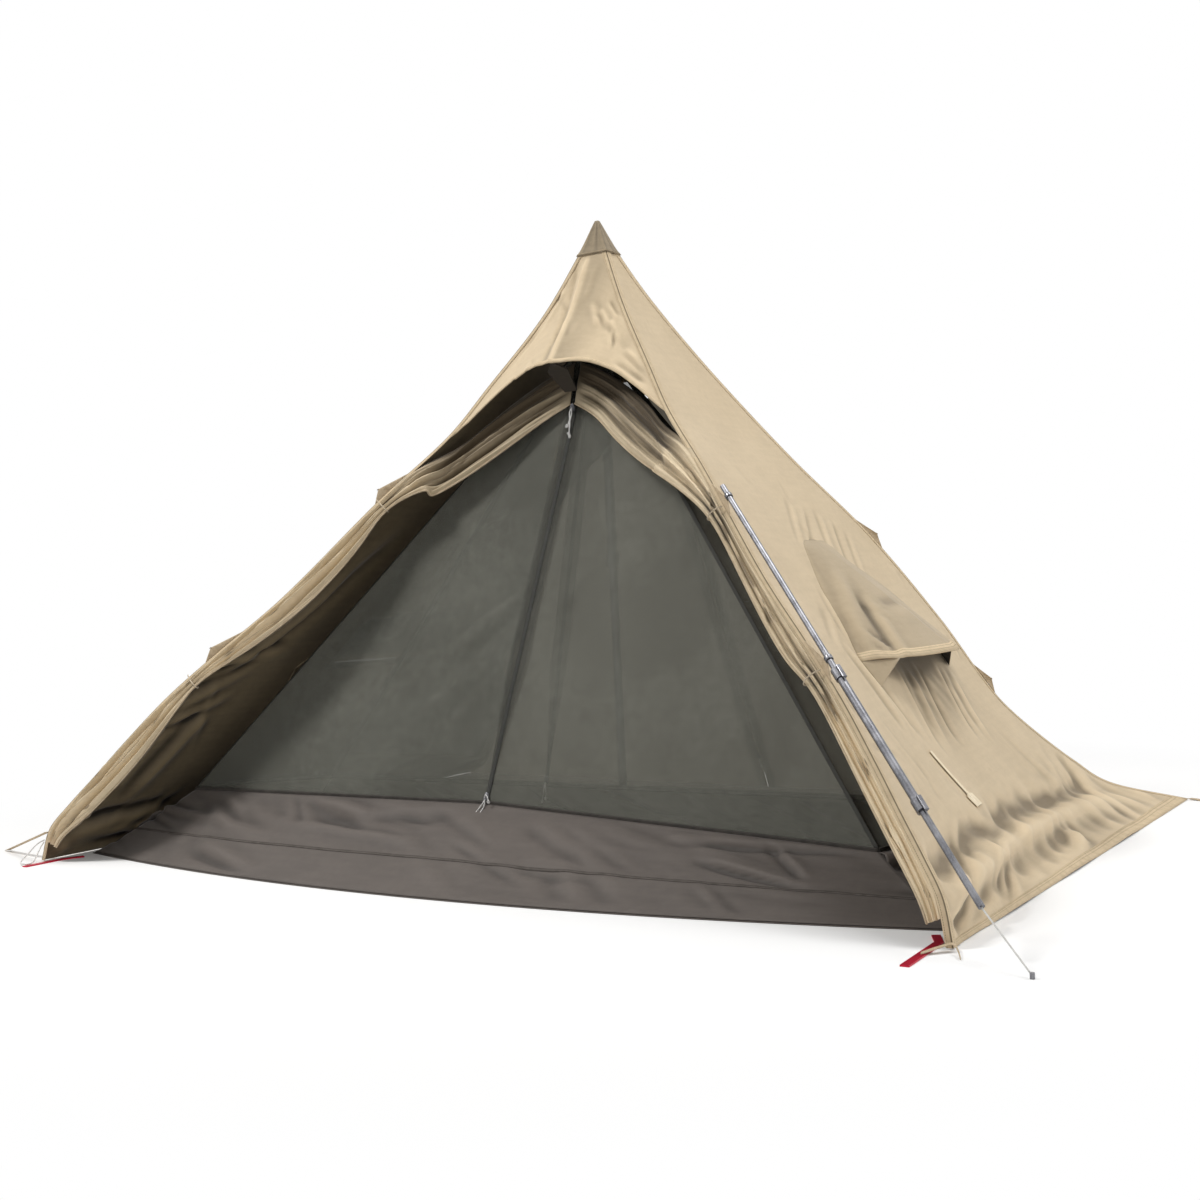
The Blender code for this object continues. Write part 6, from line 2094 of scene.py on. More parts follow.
INNER = InnerShape()


@dataclass
class NetPanel:
    """One net panel between two feet and the peak."""

    name: str
    left: str
    right: str
    left_peak: Array
    right_peak: Array
    guide: Point
    bulge: float = 0.0
    seed: int = 0

    def surface(self) -> Surface:
        """Panel with slack near its feet and light pulls toward the peak.

        Returns:
            The panel.
        """
        left, right = INNER.foot(self.left), INNER.foot(self.right)
        width = float(np.linalg.norm(right - left))
        across, up = grid(steps(1.2, CELL * 1.6), steps(width, CELL * 1.6))
        rise = up[..., None]
        start = left + (self.left_peak - left) * rise
        finish = right + (self.right_peak - right) * rise
        points = start + (finish - start) * across[..., None]
        out = unit(np.array(self.guide, float))
        points = points + out * (self.bulge * (1 - rise) ** 2 * np.sin(math.pi * across[..., None]))
        surface = Surface(points, self.guide)
        pulls = Wrinkles(
            seed=200 + self.seed, count=34, depth=0.0030, length=(0.10, 0.40), width=(0.010, 0.030),
            angle=1.35, spread=0.5, waves=0.0030, wave_length=0.35,
        ).height(surface.u, surface.v)
        inside = soft_step(across, 0, 0.08) * soft_step(1 - across, 0, 0.08) * soft_step(up, 0, 0.06)
        return surface.raised((pulls - 0.004) * inside * (1 - 0.9 * up))

    def build(self) -> None:
        """The panel in the scene."""
        surface = self.surface()
        net = show(f"net_{self.name}", surface.mesh(self.name), NET, Slot.NET, stands_for=(self.name,))
        left, right = INNER.foot(self.left), INNER.foot(self.right)
        area = surface.area()


@dataclass
class InnerNet:
    """The six net panels with their bindings and two zips."""

    front_seam_half: float = 0.0045
    back_seam_half: float = 0.0170
    zip_half: float = 0.0055
    flap_half: float = 0.0250

    def build(self) -> None:
        """Panels, seam bindings and zips."""
        peak = INNER.peak
        front, back, bulge = (0, -1, 0.5), (0, 1, 0), INNER.bulge
        for seed, (name, left, right, left_peak, right_peak, guide, slack) in enumerate((
            ("front_left", "front_left", "front_zip", peak(-1, -1), peak(0, -1), front, 0.0),
            ("front_right", "front_zip", "front_right", peak(0, -1), peak(1, -1), front, 0.0),
            ("back_left", "back_left", "back_zip", peak(-1, 1), peak(0, 1), back, 0.0),
            ("back_right", "back_zip", "back_right", peak(0, 1), peak(1, 1), back, 0.0),
            ("side_left", "back_left", "front_left", peak(-1, 1), peak(-1, -1), (-1, 0, 0), bulge),
            ("side_right", "front_right", "back_right", peak(1, -1), peak(1, 1), (1, 0, 0), bulge),
        ), start=1):
            NetPanel(f"inner_{name}", left, right, left_peak, right_peak, guide, slack, seed).build()
        corners = (
            ("front_left", -1, -1), ("front_right", 1, -1), ("back_left", -1, 1), ("back_right", 1, 1),
        )
        for word, x, end in corners:
            path = np.linspace(INNER.foot(word), peak(x, end), steps(1.5, CELL * 2))
            wide = self.back_seam_half * np.clip((path[-1, 2] - path[:, 2]) / 0.30, 0.2, 1)
            wide = wide if end > 0 else self.front_seam_half
            tape = ribbon(path, (x, 0, 0.4 * x), wide, (x * 0.5, end, 0.4))
            tape = tape.raised(0.0015 if end < 0 else -0.0045)
            show(f"net_seam_{word}", tape.mesh("seam"), NET_TAPE, Slot.NET, thickness=PLY)
        for word, x, end, guide in (("front", 0, -1, (0, -1, 0.45)), ("back", 0, 1, (0, 1, 0.1))):
            foot, top = INNER.foot(f"{word}_zip"), peak(x, end)
            path = np.linspace(foot, top, steps(1.2, CELL * 2))
            lift = 0.0016 if word == "front" else -0.0016
            taper = np.clip((top[2] - path[:, 2]) / 0.16, 0.15, 1)
            surface = ribbon(path, (1, 0, 0), self.zip_half * taper, guide, 9).raised(lift)
            show(f"net_zip_{word}", surface.mesh("zip"), ZIP, Slot.NET, thickness=0.0010)
            taper = np.minimum(taper, 0.12 + 0.88 * soft_step(path[:, 2] - foot[2], 0.0, 0.34))
            flap = ribbon(path, (1, 0, 0), self.flap_half * taper, guide, 9).raised(lift * 2.4)
            doubled = show(f"net_zip_flap_{word}", flap.mesh("flap"), NET_FLAP, Slot.NET)
            width = 2 * self.flap_half
            flap.area() / width
            flap.area()


@dataclass
class NetCurtain:
    """Loose net door inside the back net, with a wavy free edge."""

    width: float = 0.56
    slack: float = 1.3
    low: float = 0.194
    high: float = 1.091
    edge: Table = (
        (1.091, -0.030), (0.989, 0.052), (0.892, -0.064), (0.706, -0.165), (0.611, -0.189), (0.516, -0.239),
        (0.440, -0.306), (0.382, -0.284), (0.301, -0.302), (0.229, -0.363), (0.194, -0.384),
    )

    def build(self) -> None:
        """The hanging layer."""
        foot, top = INNER.foot("back_left"), INNER.peak(-1, 1)
        across, up = grid(steps(0.90), steps(0.55))
        z = self.low + (self.high - self.low) * up
        rise = (z - foot[2]) / (top[2] - foot[2])
        seam = foot[0] + (top[0] - foot[0]) * rise + 0.006
        x = seam + (curve_value(self.edge, z) - seam) * across
        clear = 0.005 + 0.016 * soft_step(z, 0.66, 0.86)
        y = foot[1] + (top[1] - foot[1]) * rise - clear
        surface = Surface(np.stack([x, y, z], axis=-1), (0, -1, 0))
        folds = Wrinkles(seed=260, count=40, depth=0.0022, waves=0.0016, angle=1.5, spread=0.3).height(x, z)
        surface = surface.raised(folds * soft_step(across, 0, 0.1))
        surface.u = surface.u - surface.u[:, -1:]
        net = show("net_door_inside", surface.mesh("net door"), NET_DOOR, Slot.NET)
        area = surface.area()
        area / self.width * self.slack


@dataclass
class Tub:
    """Floor sheet and the four sloping walls of the tub, with seam and bindings."""

    base: float = 0.0034
    inset: float = 0.0045
    seam: float = 0.008
    front_cut: tuple[float, float] = (2.33, 0.34)
    side_cut: tuple[float, float] = (0.74, 0.27)
    back_cut: tuple[float, float] = (2.2, 0.16)
    floor_cut: tuple[float, float] = (2.33, 0.86)

    def wall_surface(self, feet: Array, tops: Array, guide: Point, seed: int, height: float) -> Surface:
        """Sloping wall between a line of feet and a line of tops, slack and wrinkled.

        Args:
            feet: points of its lower edge.
            tops: points of its upper edge.
            guide: direction that it faces.
            seed: seed of its wrinkles.
            height: its width of cloth, in metres.

        Returns:
            The wall.
        """
        rows = steps(height)
        down = np.linspace(1, 0, rows)[:, None, None]
        start = feet[None].copy()
        start[..., 2] = self.base
        points = start + (tops[None] - start) * down
        points[..., 2] -= INNER.slump * 4 * (down * (1 - down))[..., 0]
        surface = Surface(points, guide)
        folds = Wrinkles(
            seed=seed, count=70, depth=0.0046, length=(0.16, 0.46), width=(0.010, 0.026),
            angle=0.42, spread=0.28, waves=0.0016, wave_length=0.24,
        ).height(surface.u, surface.v)
        share = np.linspace(1, 0, rows)[:, None]
        inside = soft_step(share, 0, 0.15) * soft_step(1 - share, 0, 0.12)
        pinch = 1 - 0.7 * np.exp(-(((share - INNER.seam_share) / 0.06) ** 2))
        return surface.raised(folds * inside * pinch)

    def build(self) -> None:
        """Floor, walls, seam tape and binding."""
        share = np.linspace(-1, 1, steps(2.33))
        inset = self.inset
        feet = INNER.floor_front(share) + np.stack([-share * inset, 0 * share + inset, 0 * share], axis=-1)
        tops = np.stack([
            share * INNER.half_width, INNER.front_y + (INNER.corner_y - INNER.front_y) * share**2,
            INNER.binding + (INNER.binding_right - INNER.binding) * np.maximum(share, 0),
        ], axis=-1)
        front = self.wall_surface(feet, tops, (0, -1, 1), 301, self.front_cut[1])
        self.place("tub_wall_front", front, self.front_cut[0])
        rows = front.points.shape[0]
        line = int(round((1 - INNER.seam_share) * (rows - 1)))
        seam = front.band(slice(line, line + 2), self.seam, 0.0009)
        show("tub_front_seam", seam.mesh("seam"), TUB_SEAM, Slot.TUB, thickness=0.0008)
        lines = [("front", tops, (0, -1, 0.6))]
        for side, word in ((-1, "left"), (1, "right")):
            s = np.linspace(0, 1, steps(0.75))[:, None]
            a = np.array([side * (INNER.floor_front_half - inset), INNER.floor_corner_y + inset, 0])
            b = np.array([side * (INNER.floor_back_half - inset), INNER.floor_back_y - inset, 0])
            c, d = INNER.foot(f"front_{word}"), INNER.foot(f"back_{word}")
            top = c + (d - c) * s + np.array([side * INNER.bulge, 0, 0]) * np.sin(math.pi * s)
            wall = self.wall_surface(a + (b - a) * s, top, (side, 0, 1), 310 + side, self.side_cut[1])
            self.place(f"tub_wall_{word}", wall, self.side_cut[0])
            lines.append((word, top, (side, 0, 0.5)))
        s = np.linspace(0, 1, steps(2.2))[:, None]
        a = np.array([-(INNER.floor_back_half - inset), INNER.floor_back_y - inset, 0])
        b = a * np.array([-1, 1, 1])
        c, d = INNER.foot("back_left"), INNER.foot("back_right")
        top = c + (d - c) * s
        wall = self.wall_surface(a + (b - a) * s, top, (0, 1, 1), 320, self.back_cut[1])
        self.place("tub_wall_back", wall, self.back_cut[0])
        lines.append(("back", top, (0, 1, 0.3)))
        for word, line_points, guide in lines:
            band = ribbon(line_points, (0, 0, 1), 0.0065, guide, 4).raised(0.0014)
            show(f"tub_binding_{word}", band.mesh("binding"), BINDING, Slot.TUB, thickness=0.0022)
        self.floor()

    def place(self, name: str, surface: Surface, length: float) -> None:
        """One tub wall in the scene."""
        wall = show(f"cloth_{name}", surface.mesh(name), TUB, Slot.TUB, stands_for=(name,), thickness=0.0010)
        surface.area() / length

    def floor(self) -> None:
        """Floor sheet with faint folds."""
        across, down = grid(steps(0.85, CELL * 2), steps(2.33, CELL * 2))
        share = across * 2 - 1
        front = INNER.floor_front(share)
        back = np.stack([share * INNER.floor_back_half, 0 * share + INNER.floor_back_y, 0 * share], axis=-1)
        points = front + (back - front) * down[..., None]
        points[..., 2] = GROUND_GAP
        surface = Surface(points, (0, 0, 1))
        folds = Wrinkles(seed=330, count=50, depth=0.0018, waves=0.0010).height(points[..., 0], points[..., 1])
        edge = soft_step(1 - np.abs(share), 0, 0.06) * soft_step(down, 0, 0.1) * soft_step(1 - down, 0, 0.1)
        surface = surface.raised(np.maximum(folds, 0) * edge)
        mesh = surface.mesh("floor")
        sheet = show("cloth_tub_floor", mesh, TUB, Slot.TUB, stands_for=("tub_floor",), thickness=PLY)
        surface.area()


# Cords, zips and hard parts


def rounded(value: float, power: float = 0.6) -> float:
    """A sine or cosine that bends a circle towards a square."""
    return math.copysign(abs(value) ** power, value)


def knot_path(centre: Array, size: float, tilt: float = 0.0) -> Array:
    """Path of a small overhand knot round a centre.

    Args:
        centre: middle of the knot.
        size: its rough radius.
        tilt: its turn about Y.

    Returns:
        Points of the closed path.
    """
    t = np.linspace(0, 2 * math.pi, 49)
    x, y, z = np.sin(t) + 2 * np.sin(2 * t), np.cos(t) - 2 * np.cos(2 * t), -np.sin(3 * t)
    points = np.stack([x, z * 1.2, y], axis=1) * (size / 3)
    turn = np.array(Matrix.Rotation(tilt, 3, "Y"))
    return centre + points @ turn.T


@dataclass
class ZipPull:
    """Slider with a cord through its eye, knotted below."""

    name: str
    node: str
    body: Body
    seat: Array
    up: Array
    normal: Array
    strands: tuple[tuple[tuple[float, float, float], ...], ...]
    radius: float = 0.0013
    length: float = 0.018

    def slider(self) -> Mesh:
        """Rounded slider body with its bridge and eye.

        Returns:
            The mesh.
        """
        side = np.cross(self.up, self.normal)
        meshes = []
        for offset, half, thick in ((0.0, 0.0058, 0.0016), (0.0042, 0.0052, 0.0016)):
            rows = []
            for height in np.linspace(0, self.length, 9):
                taper = half * (1 - 0.35 * (height / self.length - 0.35) ** 2 * 4)
                rows.append([
                    self.seat + self.up * height + side * (taper * rounded(math.cos(a)))
                    + self.normal * (offset + 0.0012 + thick / 2 * rounded(math.sin(a)))
                    for a in np.linspace(0, 2 * math.pi, 25)
                ])
            rows.insert(0, [np.mean(rows[0], axis=0)] * 25)
            rows.append([np.mean(rows[-1], axis=0)] * 25)
            meshes.append(Surface(np.array(rows), tuple(self.normal), centred=False).closed_mesh("plate"))
        bridge = [self.seat + self.up * u + self.normal * n for u, n in (
            (0.003, 0.0060), (0.005, 0.0085), (0.009, 0.0092), (0.013, 0.0085), (0.015, 0.0060))]
        meshes.append(Tube(resampled(bridge, 0.0012), 0.0010, 8).mesh("bridge"))
        post = self.seat + self.up * 0.009
        path = np.linspace(post + self.normal * 0.001, post + self.normal * 0.006, 4)
        meshes.append(Tube(path, 0.0022, 10).mesh("post"))
        return joined("slider", meshes)

    def build(self) -> None:
        """Slider and its cords, riding together."""
        if self.node != "front_zip_pull":
            mesh = self.slider()
            show(f"{self.name}_slider", mesh, SILVER, Slot.POLE, self.body, stands_for=(self.node,))
        meshes = []
        for strand in self.strands:
            path = resampled([np.array(p, float) for p in strand], 0.0022)
            meshes.append(Tube(path, self.radius, 8).mesh("strand"))
            knot = knot_path(path[-1] + np.array([0, 0, 0.002]), 0.0034, len(meshes) * 0.7)
            meshes.append(Tube(knot, self.radius, 7).mesh("knot"))
        stands_for = (self.node,) if self.node == "front_zip_pull" else ()
        cord = joined("cord", meshes)
        show(f"{self.name}_cord", cord, PULL_CORD, Slot.CORD, self.body, stands_for=stands_for)


@dataclass
class Zips:
    """Sliders and pull cords of the door, the inner net and the back."""

    pull_top: Point = (0, -0.15849, 1.079488)
    pull_tilt: float = -15.5

    def strands(self, eye: Array, *routes: Sequence[Point]) -> tuple:
        """Routes of a pull's strands, from their distances to the eye."""
        return tuple(tuple(eye + offset for offset in route) for route in routes)

    def door_strands(self) -> tuple:
        """Strands of the door's pull, hung in its own tilt.

        Returns:
            Points of the strands.
        """
        top, turn = Vector(self.pull_top), Matrix.Rotation(math.radians(self.pull_tilt), 3, "X")
        routes = (
            ((0, 0.0015, 0.0), (-0.003, 0, -0.014), (-0.0015, 0.001, -0.034), (-0.007, 0.001, -0.050)),
            ((0, 0.0015, 0.0), (0.003, 0.001, -0.018), (0.0, 0.001, -0.045), (0.005, 0.0015, -0.078)),
            ((-0.003, 0, -0.010), (0.0, 0.001, -0.030), (0.0015, 0.0015, -0.052), (0.001, 0.0015, -0.070)),
        )
        return tuple(tuple(tuple(top + turn @ Vector(offset)) for offset in route) for route in routes)

    def build(self) -> None:
        """All four sliders."""
        upright, forward = np.array([0, 0, 1.0]), np.array([0, -1.0, 0])
        ZipPull(
            "door", "front_zip_pull", Body.DOOR_PULL, np.zeros(3), upright, forward, self.door_strands(),
            radius=0.0015,
        ).build()
        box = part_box("front_zip_slider")
        seat = np.array([0, float(box[1][1]) - 0.0015, float(box[0][2])])
        slider = ZipPull("door", "front_zip_slider", Body.TENT, seat, upright, forward, ()).slider()
        show("door_slider", slider, SILVER, Slot.POLE, stands_for=("front_zip_slider",))
        foot, peak = INNER.foot("front_zip"), INNER.peak(0, -1)
        up = unit(peak - foot)
        normal = np.array([0, -up[2], up[1]])
        seat = foot + up * 0.006 + normal * 0.0018
        low = seat + normal * 0.006
        ZipPull(
            "net_front", "inner_front_slider", Body.NET_SLIDER, seat, up, normal,
            self.strands(
                low,
                ((0, 0, 0), (-0.004, -0.010, -0.012), (-0.010, -0.026, -0.028), (-0.016, -0.040, -0.040)),
                ((0, 0, 0), (0.004, -0.010, -0.014), (0.003, -0.028, -0.030), (0.006, -0.042, -0.046)),
                ((0, 0, 0.004), (0.006, -0.004, 0.012), (0.013, -0.006, 0.008), (0.017, -0.009, -0.004)),
            ),
        ).build()
        foot, peak = INNER.foot("back_zip"), INNER.peak(0, 1)
        up = unit(peak - foot)
        normal = unit(np.cross(up, (1, 0, 0)))
        normal = normal if normal[1] < 0 else -normal
        seat = foot + up * 0.006 + normal * 0.0028
        low = seat + normal * 0.005
        ZipPull(
            "net_back", "inner_back_slider", Body.NET_BACK_SLIDER, seat, up, normal,
            self.strands(
                low,
                ((0, 0, 0), (-0.002, -0.004, -0.016), (-0.004, -0.006, -0.034), (-0.006, -0.008, -0.050)),
                ((0, 0, 0), (0.003, -0.003, -0.014), (0.005, -0.006, -0.030), (0.004, -0.008, -0.042)),
            ),
        ).build()
        up = unit(SHAPE.rear_line(0.555) - SHAPE.rear_line(0.0))
        normal = np.array([0, -up[2], up[1]])
        seat = SHAPE.rear_line(0.060) + normal * 0.0026
        low = seat + normal * 0.006
        ZipPull(
            "rear", "rear_zip_slider", Body.REAR_SLIDER, seat, up, normal,
            ((low, low - up * 0.010 + normal * 0.001, low - up * 0.020 + normal * 0.001, low - up * 0.028),),
        ).build()


@dataclass
class GuyLine:
    """Taut line from the ridge pole's end to its peg."""

    radius: float = 0.0015
    pole_length: float = 1.165
    peg_gap: float = 0.0065
    peg: tuple[float, float] = (1.372, -0.996)

    def build(self) -> None:
        """Line from the pole's end to its peg."""
        place = PolePlace()
        start = place.point(0, self.pole_length + 0.0005)
        finish = np.array([*self.peg, 0.005])
        finish = finish - unit(finish - start) * self.peg_gap
        bend = start + place.along * 0.003
        path = resampled([start, bend, bend + (finish - bend) * 0.5, finish], 0.004)
        line = show("guy", Tube(path, self.radius).mesh("guy"), CORD, Slot.CORD, stands_for=("guy_line",))
        2 * self.radius


@dataclass
class CornerLoop:
    """White cord loop at the front left corner."""

    radius: float = 0.0016
    offsets: tuple = (
        (0.0062, 0.0047, 0.0530), (-0.0060, -0.0080, 0.0440), (-0.0130, -0.0280, 0.0250),
        (-0.0110, -0.0500, 0.0100), (0.0020, -0.0640, 0.0053), (0.0180, -0.0680, 0.0053),
        (0.0310, -0.0620, 0.0053), (0.0310, -0.0480, 0.0090), (0.0200, -0.0280, 0.0230),
        (0.0100, -0.0100, 0.0370), (0.0052, 0.0039, 0.0478),
    )

    def build(self) -> None:
        """The loop along its own route."""
        corner = np.array([-SHAPE.half_width, -SHAPE.half_depth, 0])
        path = resampled([corner + np.array(offset) for offset in self.offsets], 0.004)
        mesh = Tube(path, self.radius).mesh("loop")
        loop = show("corner_loop", mesh, CORD, Slot.CORD, stands_for=("corner_loop_front_left",))
        2 * self.radius


@dataclass
class HardParts:
    """Tubes, levers, pegs, hanger and props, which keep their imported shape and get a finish."""

    finishes: dict = field(default_factory=lambda: {
        "centre_pole_upper": SILVER, "centre_pole_lower": SILVER, "ridge_pole_upper": SILVER,
        "ridge_pole_middle": SILVER, "ridge_pole_lower": SILVER, "lock_lever_upper": SILVER,
        "lock_lever_lower": SILVER, "guy_peg": SILVER, "peg_front_left": RED, "peg_front_right": RED,
        "inner_hanger": BLACK, "brow_prop_front": PROP_CLOTH_SHADE, "brow_prop_rear": PROP_CLOTH_SHADE,
    })

    def build(self) -> None:
        """Give each node its finish."""
        for name, finish in self.finishes.items():
            node = frame["nodes"][name]
            node.data.materials.clear()
            node.data.materials.append(finish.material())


# Studio


@dataclass(frozen=True)
class CameraPlace:
    """Camera fitted to the photo."""

    place: Point = (2.1113, -3.2744, 0.6323)
    yaw: float = -33.363
    pitch: float = -0.533
    roll: float = -2.632
    lens: float = 45.315
    sensor: float = 36.0

    def build(self) -> None:
        """Add the camera and make it the scene's."""
        yaw, pitch, roll = (math.radians(angle) for angle in (self.yaw, self.pitch, self.roll))
        forward = Vector((math.sin(yaw) * math.cos(pitch), math.cos(yaw) * math.cos(pitch), math.sin(pitch)))
        right = Vector((math.cos(yaw), -math.sin(yaw), 0))
        up = right.cross(forward)
        x = right * math.cos(roll) + up * math.sin(roll)
        y = -right * math.sin(roll) + up * math.cos(roll)
        data = bpy.data.cameras.new("camera")
        data.lens = self.lens
        data.sensor_width = self.sensor
        data.sensor_fit = "HORIZONTAL"
        data.clip_start, data.clip_end = 0.05, 60.0
        camera = bpy.data.objects.new("camera", data)
        bpy.context.scene.collection.objects.link(camera)
        camera.matrix_world = Matrix.Translation(self.place) @ Matrix((x, y, -forward)).transposed().to_4x4()
        bpy.context.scene.camera = camera


@dataclass(frozen=True)
class Lamp:
    """One soft area light."""

    name: str
    place: Point
    target: Point
    size: float
    power: float
    colour: Colour = (1.0, 1.0, 1.0)

    def build(self) -> None:
        """Add the light, turned to its target."""
        data = bpy.data.lights.new(self.name, "AREA")
        data.shape = "DISK"
        data.size = self.size
        data.energy = self.power
        data.color = self.colour
        lamp = bpy.data.objects.new(self.name, data)
        bpy.context.scene.collection.objects.link(lamp)
        aim = Vector(self.target) - Vector(self.place)
        lamp.matrix_world = Matrix.Translation(self.place) @ aim.to_track_quat("-Z", "Y").to_matrix().to_4x4()


@dataclass(frozen=True)
class FloorFinish(Finish):
    """Pale studio floor that turns to plain white far from the tent."""

    colour: Colour = (0.93, 0.93, 0.93)
    near: float = 1.35
    far: float = 2.3

    def paint(self, graph: Graph) -> None:
        """Pale matt floor near the tent, white to the eye farther off.

        Args:
            graph: where its nodes go.
        """
        place = graph.node("ShaderNodeNewGeometry")[0]
        distance = graph.node("ShaderNodeVectorMath", {"operation": "LENGTH"}, {0: place})[1]
        seen = graph.node("ShaderNodeLightPath")[0]
        matt = {"Base Color": self.colour, "Roughness": 0.9, "Specular IOR Level": 0.1}
        floor = graph.node("ShaderNodeBsdfPrincipled", None, matt)[0]
        white = graph.node("ShaderNodeEmission", None, {"Color": (1.0, 1.0, 1.0), "Strength": 1.0})[0]
        blend = distance.eased(self.near, self.far) * seen
        mixed = graph.node("ShaderNodeMixShader", None, {0: blend, 1: floor, 2: white})[0]
        graph.node("ShaderNodeOutputMaterial", None, {"Surface": mixed})


@dataclass
class Studio:
    """Floor, white surroundings and soft lights."""

    ambient: float = 0.27
    floor_half: float = 14.0
    lamps: tuple[Lamp, ...] = (
        Lamp("key", (-2.9, -2.6, 5.6), (0, 0, 0.6), 1.6, 240.0, (1.0, 0.99, 0.97)),
        Lamp("right fill", (4.6, 0.6, 3.8), (0.2, 0, 0.6), 2.4, 105.0),
        Lamp("top", (0.8, 0.8, 5.4), (0, 0, 0), 2.2, 90.0),
    )

    def build(self) -> None:
        """Floor, world and lights."""
        scene = bpy.context.scene
        scene.view_settings.view_transform = "Standard"
        half = self.floor_half
        corners = [(x * half, y * half, 0) for x, y in ((-1, -1), (1, -1), (1, 1), (-1, 1))]
        mesh = bpy.data.meshes.new("floor")
        mesh.from_pydata(corners, [], [(0, 1, 2, 3)])
        floor = bpy.data.objects.new("floor", mesh)
        scene.collection.objects.link(floor)
        mesh.materials.append(FloorFinish("studio floor").material())
        floor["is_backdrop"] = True
        world = bpy.data.worlds.new("studio")
        scene.world = world
        graph = Graph(world)
        path = graph.node("ShaderNodeLightPath")
        seen = (path[0] + path[3] + path[6]).within(0.0, 1.0)
        strength = seen * (1.0 - self.ambient) + self.ambient
        light = graph.node("ShaderNodeBackground", None, {"Color": (1.0, 1.0, 1.0), "Strength": strength})[0]
        graph.node("ShaderNodeOutputWorld", None, {"Surface": light})
        for lamp in self.lamps:
            lamp.build()


# Folds of the panels


def creases(*rows: tuple[float, ...]) -> tuple[Crease, ...]:
    """Folds, each from a row of two places, a width and a depth."""
    return tuple(Crease(row[:2], row[2:4], *row[4:]) for row in rows)


RIGHT_WALL_CREASES = creases(
    (0.06, 0.82, -0.11, 0.69, 0.009, 0.0024),
    (0.11, 0.80, -0.05, 0.68, 0.008, -0.0022),
    (0.17, 0.79, 0.05, 0.66, 0.009, 0.0028),
    (0.22, 0.77, 0.10, 0.64, 0.008, -0.0026),
    (0.27, 0.74, 0.14, 0.60, 0.009, 0.0024),
    (-0.19, 0.60, -0.30, 0.48, 0.009, 0.0026),
    (-0.26, 0.56, -0.43, 0.47, 0.011, 0.0030),
    (-0.34, 0.49, -0.37, 0.30, 0.013, 0.0050),
    (-0.31, 0.44, -0.30, 0.22, 0.016, -0.0060),
    (-0.10, 0.41, -0.22, 0.24, 0.016, -0.0060),
    (-0.02, 0.41, -0.16, 0.25, 0.015, 0.0060),
    (0.08, 0.41, -0.05, 0.24, 0.015, -0.0070),
    (0.24, 0.40, 0.12, 0.23, 0.015, -0.0060),
    (0.31, 0.38, 0.20, 0.22, 0.015, 0.0050),
    (-0.90, 0.120, -0.36, 0.128, 0.026, -0.0150),
    (-0.50, 0.126, 0.18, 0.105, 0.024, -0.0150),
    (0.02, 0.108, 0.66, 0.066, 0.020, -0.0120),
    (-0.86, 0.070, -0.30, 0.078, 0.020, 0.0120),
    (-0.36, 0.076, 0.24, 0.064, 0.018, 0.0110),
    (0.10, 0.066, 0.64, 0.040, 0.016, 0.0090),
    (-0.84, 0.036, -0.66, 0.120, 0.012, 0.0070),
    (-0.76, 0.040, -0.56, 0.140, 0.010, -0.0070),
    (-0.56, 0.040, -0.40, 0.110, 0.010, 0.0050),
)
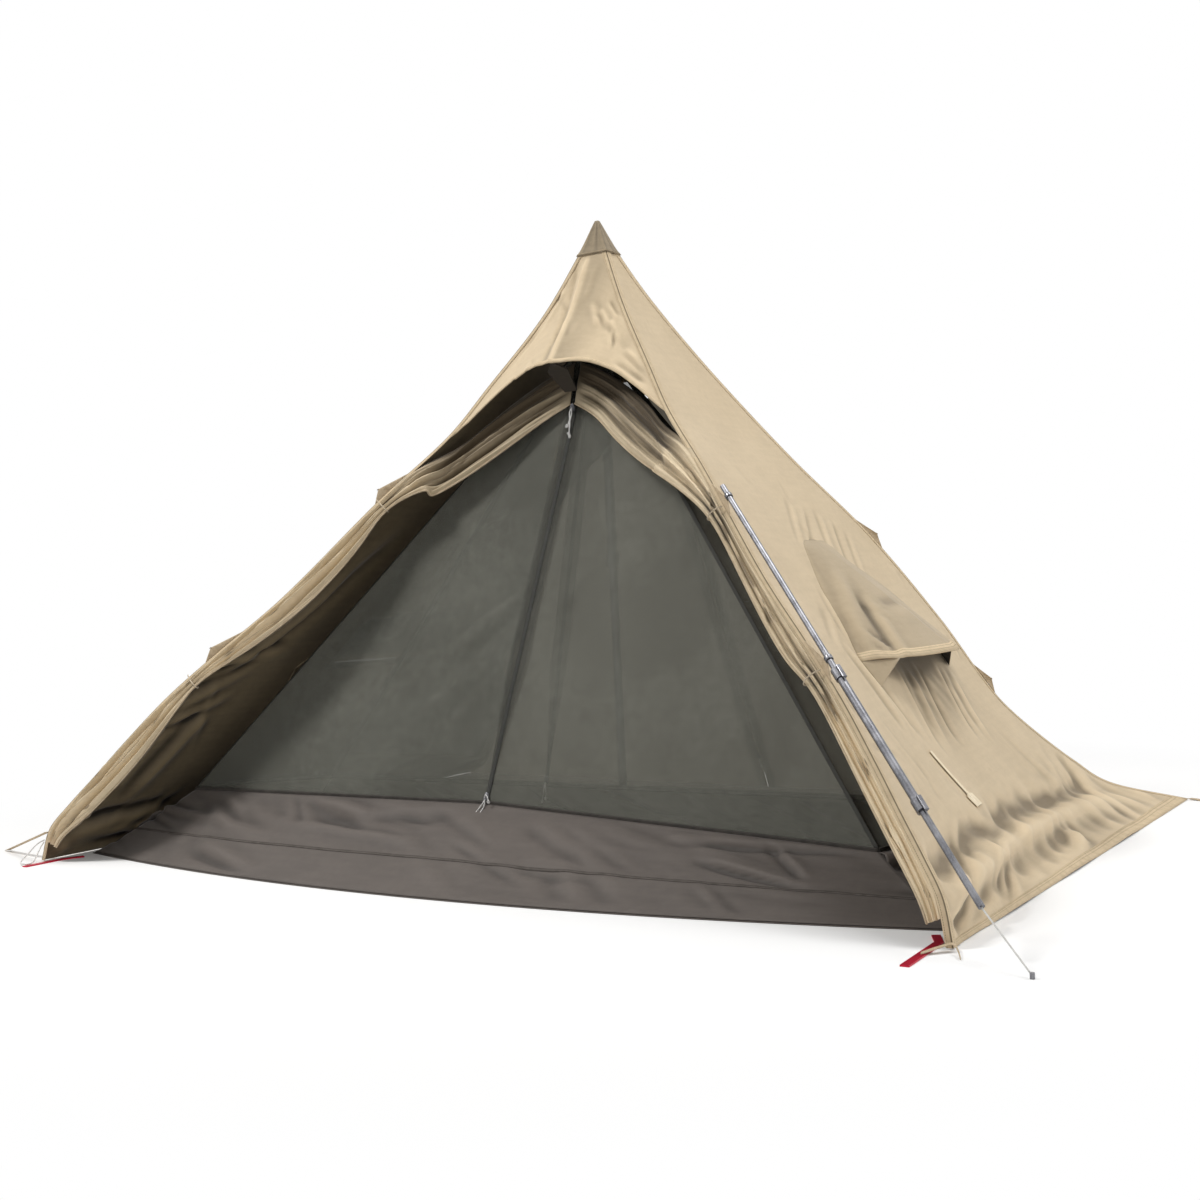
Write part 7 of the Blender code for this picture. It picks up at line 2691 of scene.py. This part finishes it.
LEFT_WALL_CREASES = creases(
    (-0.20, 0.80, -0.50, 0.44, 0.022, 0.0110),
    (-0.32, 0.70, -0.60, 0.38, 0.017, -0.0110),
    (-0.62, 0.50, -0.38, 0.52, 0.013, 0.0110),
    (-0.66, 0.44, -0.42, 0.54, 0.011, -0.0100),
    (-0.70, 0.36, -0.44, 0.50, 0.013, 0.0110),
    (-0.72, 0.30, -0.48, 0.40, 0.013, -0.0100),
    (-0.60, 0.46, -0.74, 0.15, 0.019, 0.0130),
    (-0.52, 0.38, -0.68, 0.11, 0.017, -0.0110),
    (-0.80, 0.09, -0.48, 0.12, 0.015, 0.0110),
    (-0.78, 0.05, -0.40, 0.06, 0.013, -0.0090),
)
FRONT_HOOD_CREASES = creases(
    (0.062, 1.325, 0.110, 1.262, 0.006, 0.0042),
    (0.080, 1.345, 0.125, 1.290, 0.005, -0.0034),
    (0.100, 1.290, 0.145, 1.222, 0.006, 0.0040),
    (0.120, 1.262, 0.135, 1.205, 0.005, -0.0032),
    (0.165, 1.205, 0.255, 1.130, 0.006, 0.0042),
    (0.150, 1.175, 0.262, 1.098, 0.006, -0.0038),
    (0.210, 1.185, 0.285, 1.090, 0.005, 0.0038),
    (0.130, 1.150, 0.270, 1.072, 0.007, 0.0040),
    (-0.060, 1.40, -0.110, 1.28, 0.008, 0.0030),
    (-0.120, 1.30, -0.200, 1.18, 0.008, -0.0030),
)


def main() -> None:
    """Build the scene part by part and report the pieces."""
    logging.basicConfig(level=logging.INFO, format="%(message)s")
    CameraPlace().build()
    parts: list[Any] = [
        GuyLine(), CornerLoop(), Studio(), HardParts(),
        SideWall(-1, creases=LEFT_WALL_CREASES), right_wall(), SideHood(-1), SideHood(1),
        Hood(-1, creases=FRONT_HOOD_CREASES), Hood(1), ApexCap(), RearPanels(), DoorLeaf(-1), right_leaf(),
        *(RidgeTape(side, -1) for side in (-1, 1)),
        *(RidgeTape(side, 1, (0.467, 0.218), reach=0.022) for side in (-1, 1)),
        Ties(), CornerFittings(), InnerNet(), NetCurtain(), Tub(), Zips(),
    ]
    for part in parts:
        known = set(bpy.data.objects.keys())
        part.build()
        new = sorted(set(bpy.data.objects.keys()) - known) or list(part.finishes)
        log.info("%s: %s", type(part).__name__, ", ".join(new))
    {"cad": plain(cad_bounds), "scene": plain(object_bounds())}


def plain(value: Any) -> Any:
    """Vectors and tuples as plain lists.

    Args:
        value: a value with vectors or tuples in it.

    Returns:
        The value, ready for a JSON file.
    """
    if isinstance(value, dict):
        return {key: plain(item) for key, item in value.items()}
    if isinstance(value, (float, int, str)) or value is None:
        return value
    return [plain(item) for item in value]


if __name__ == "__main__":
    main()
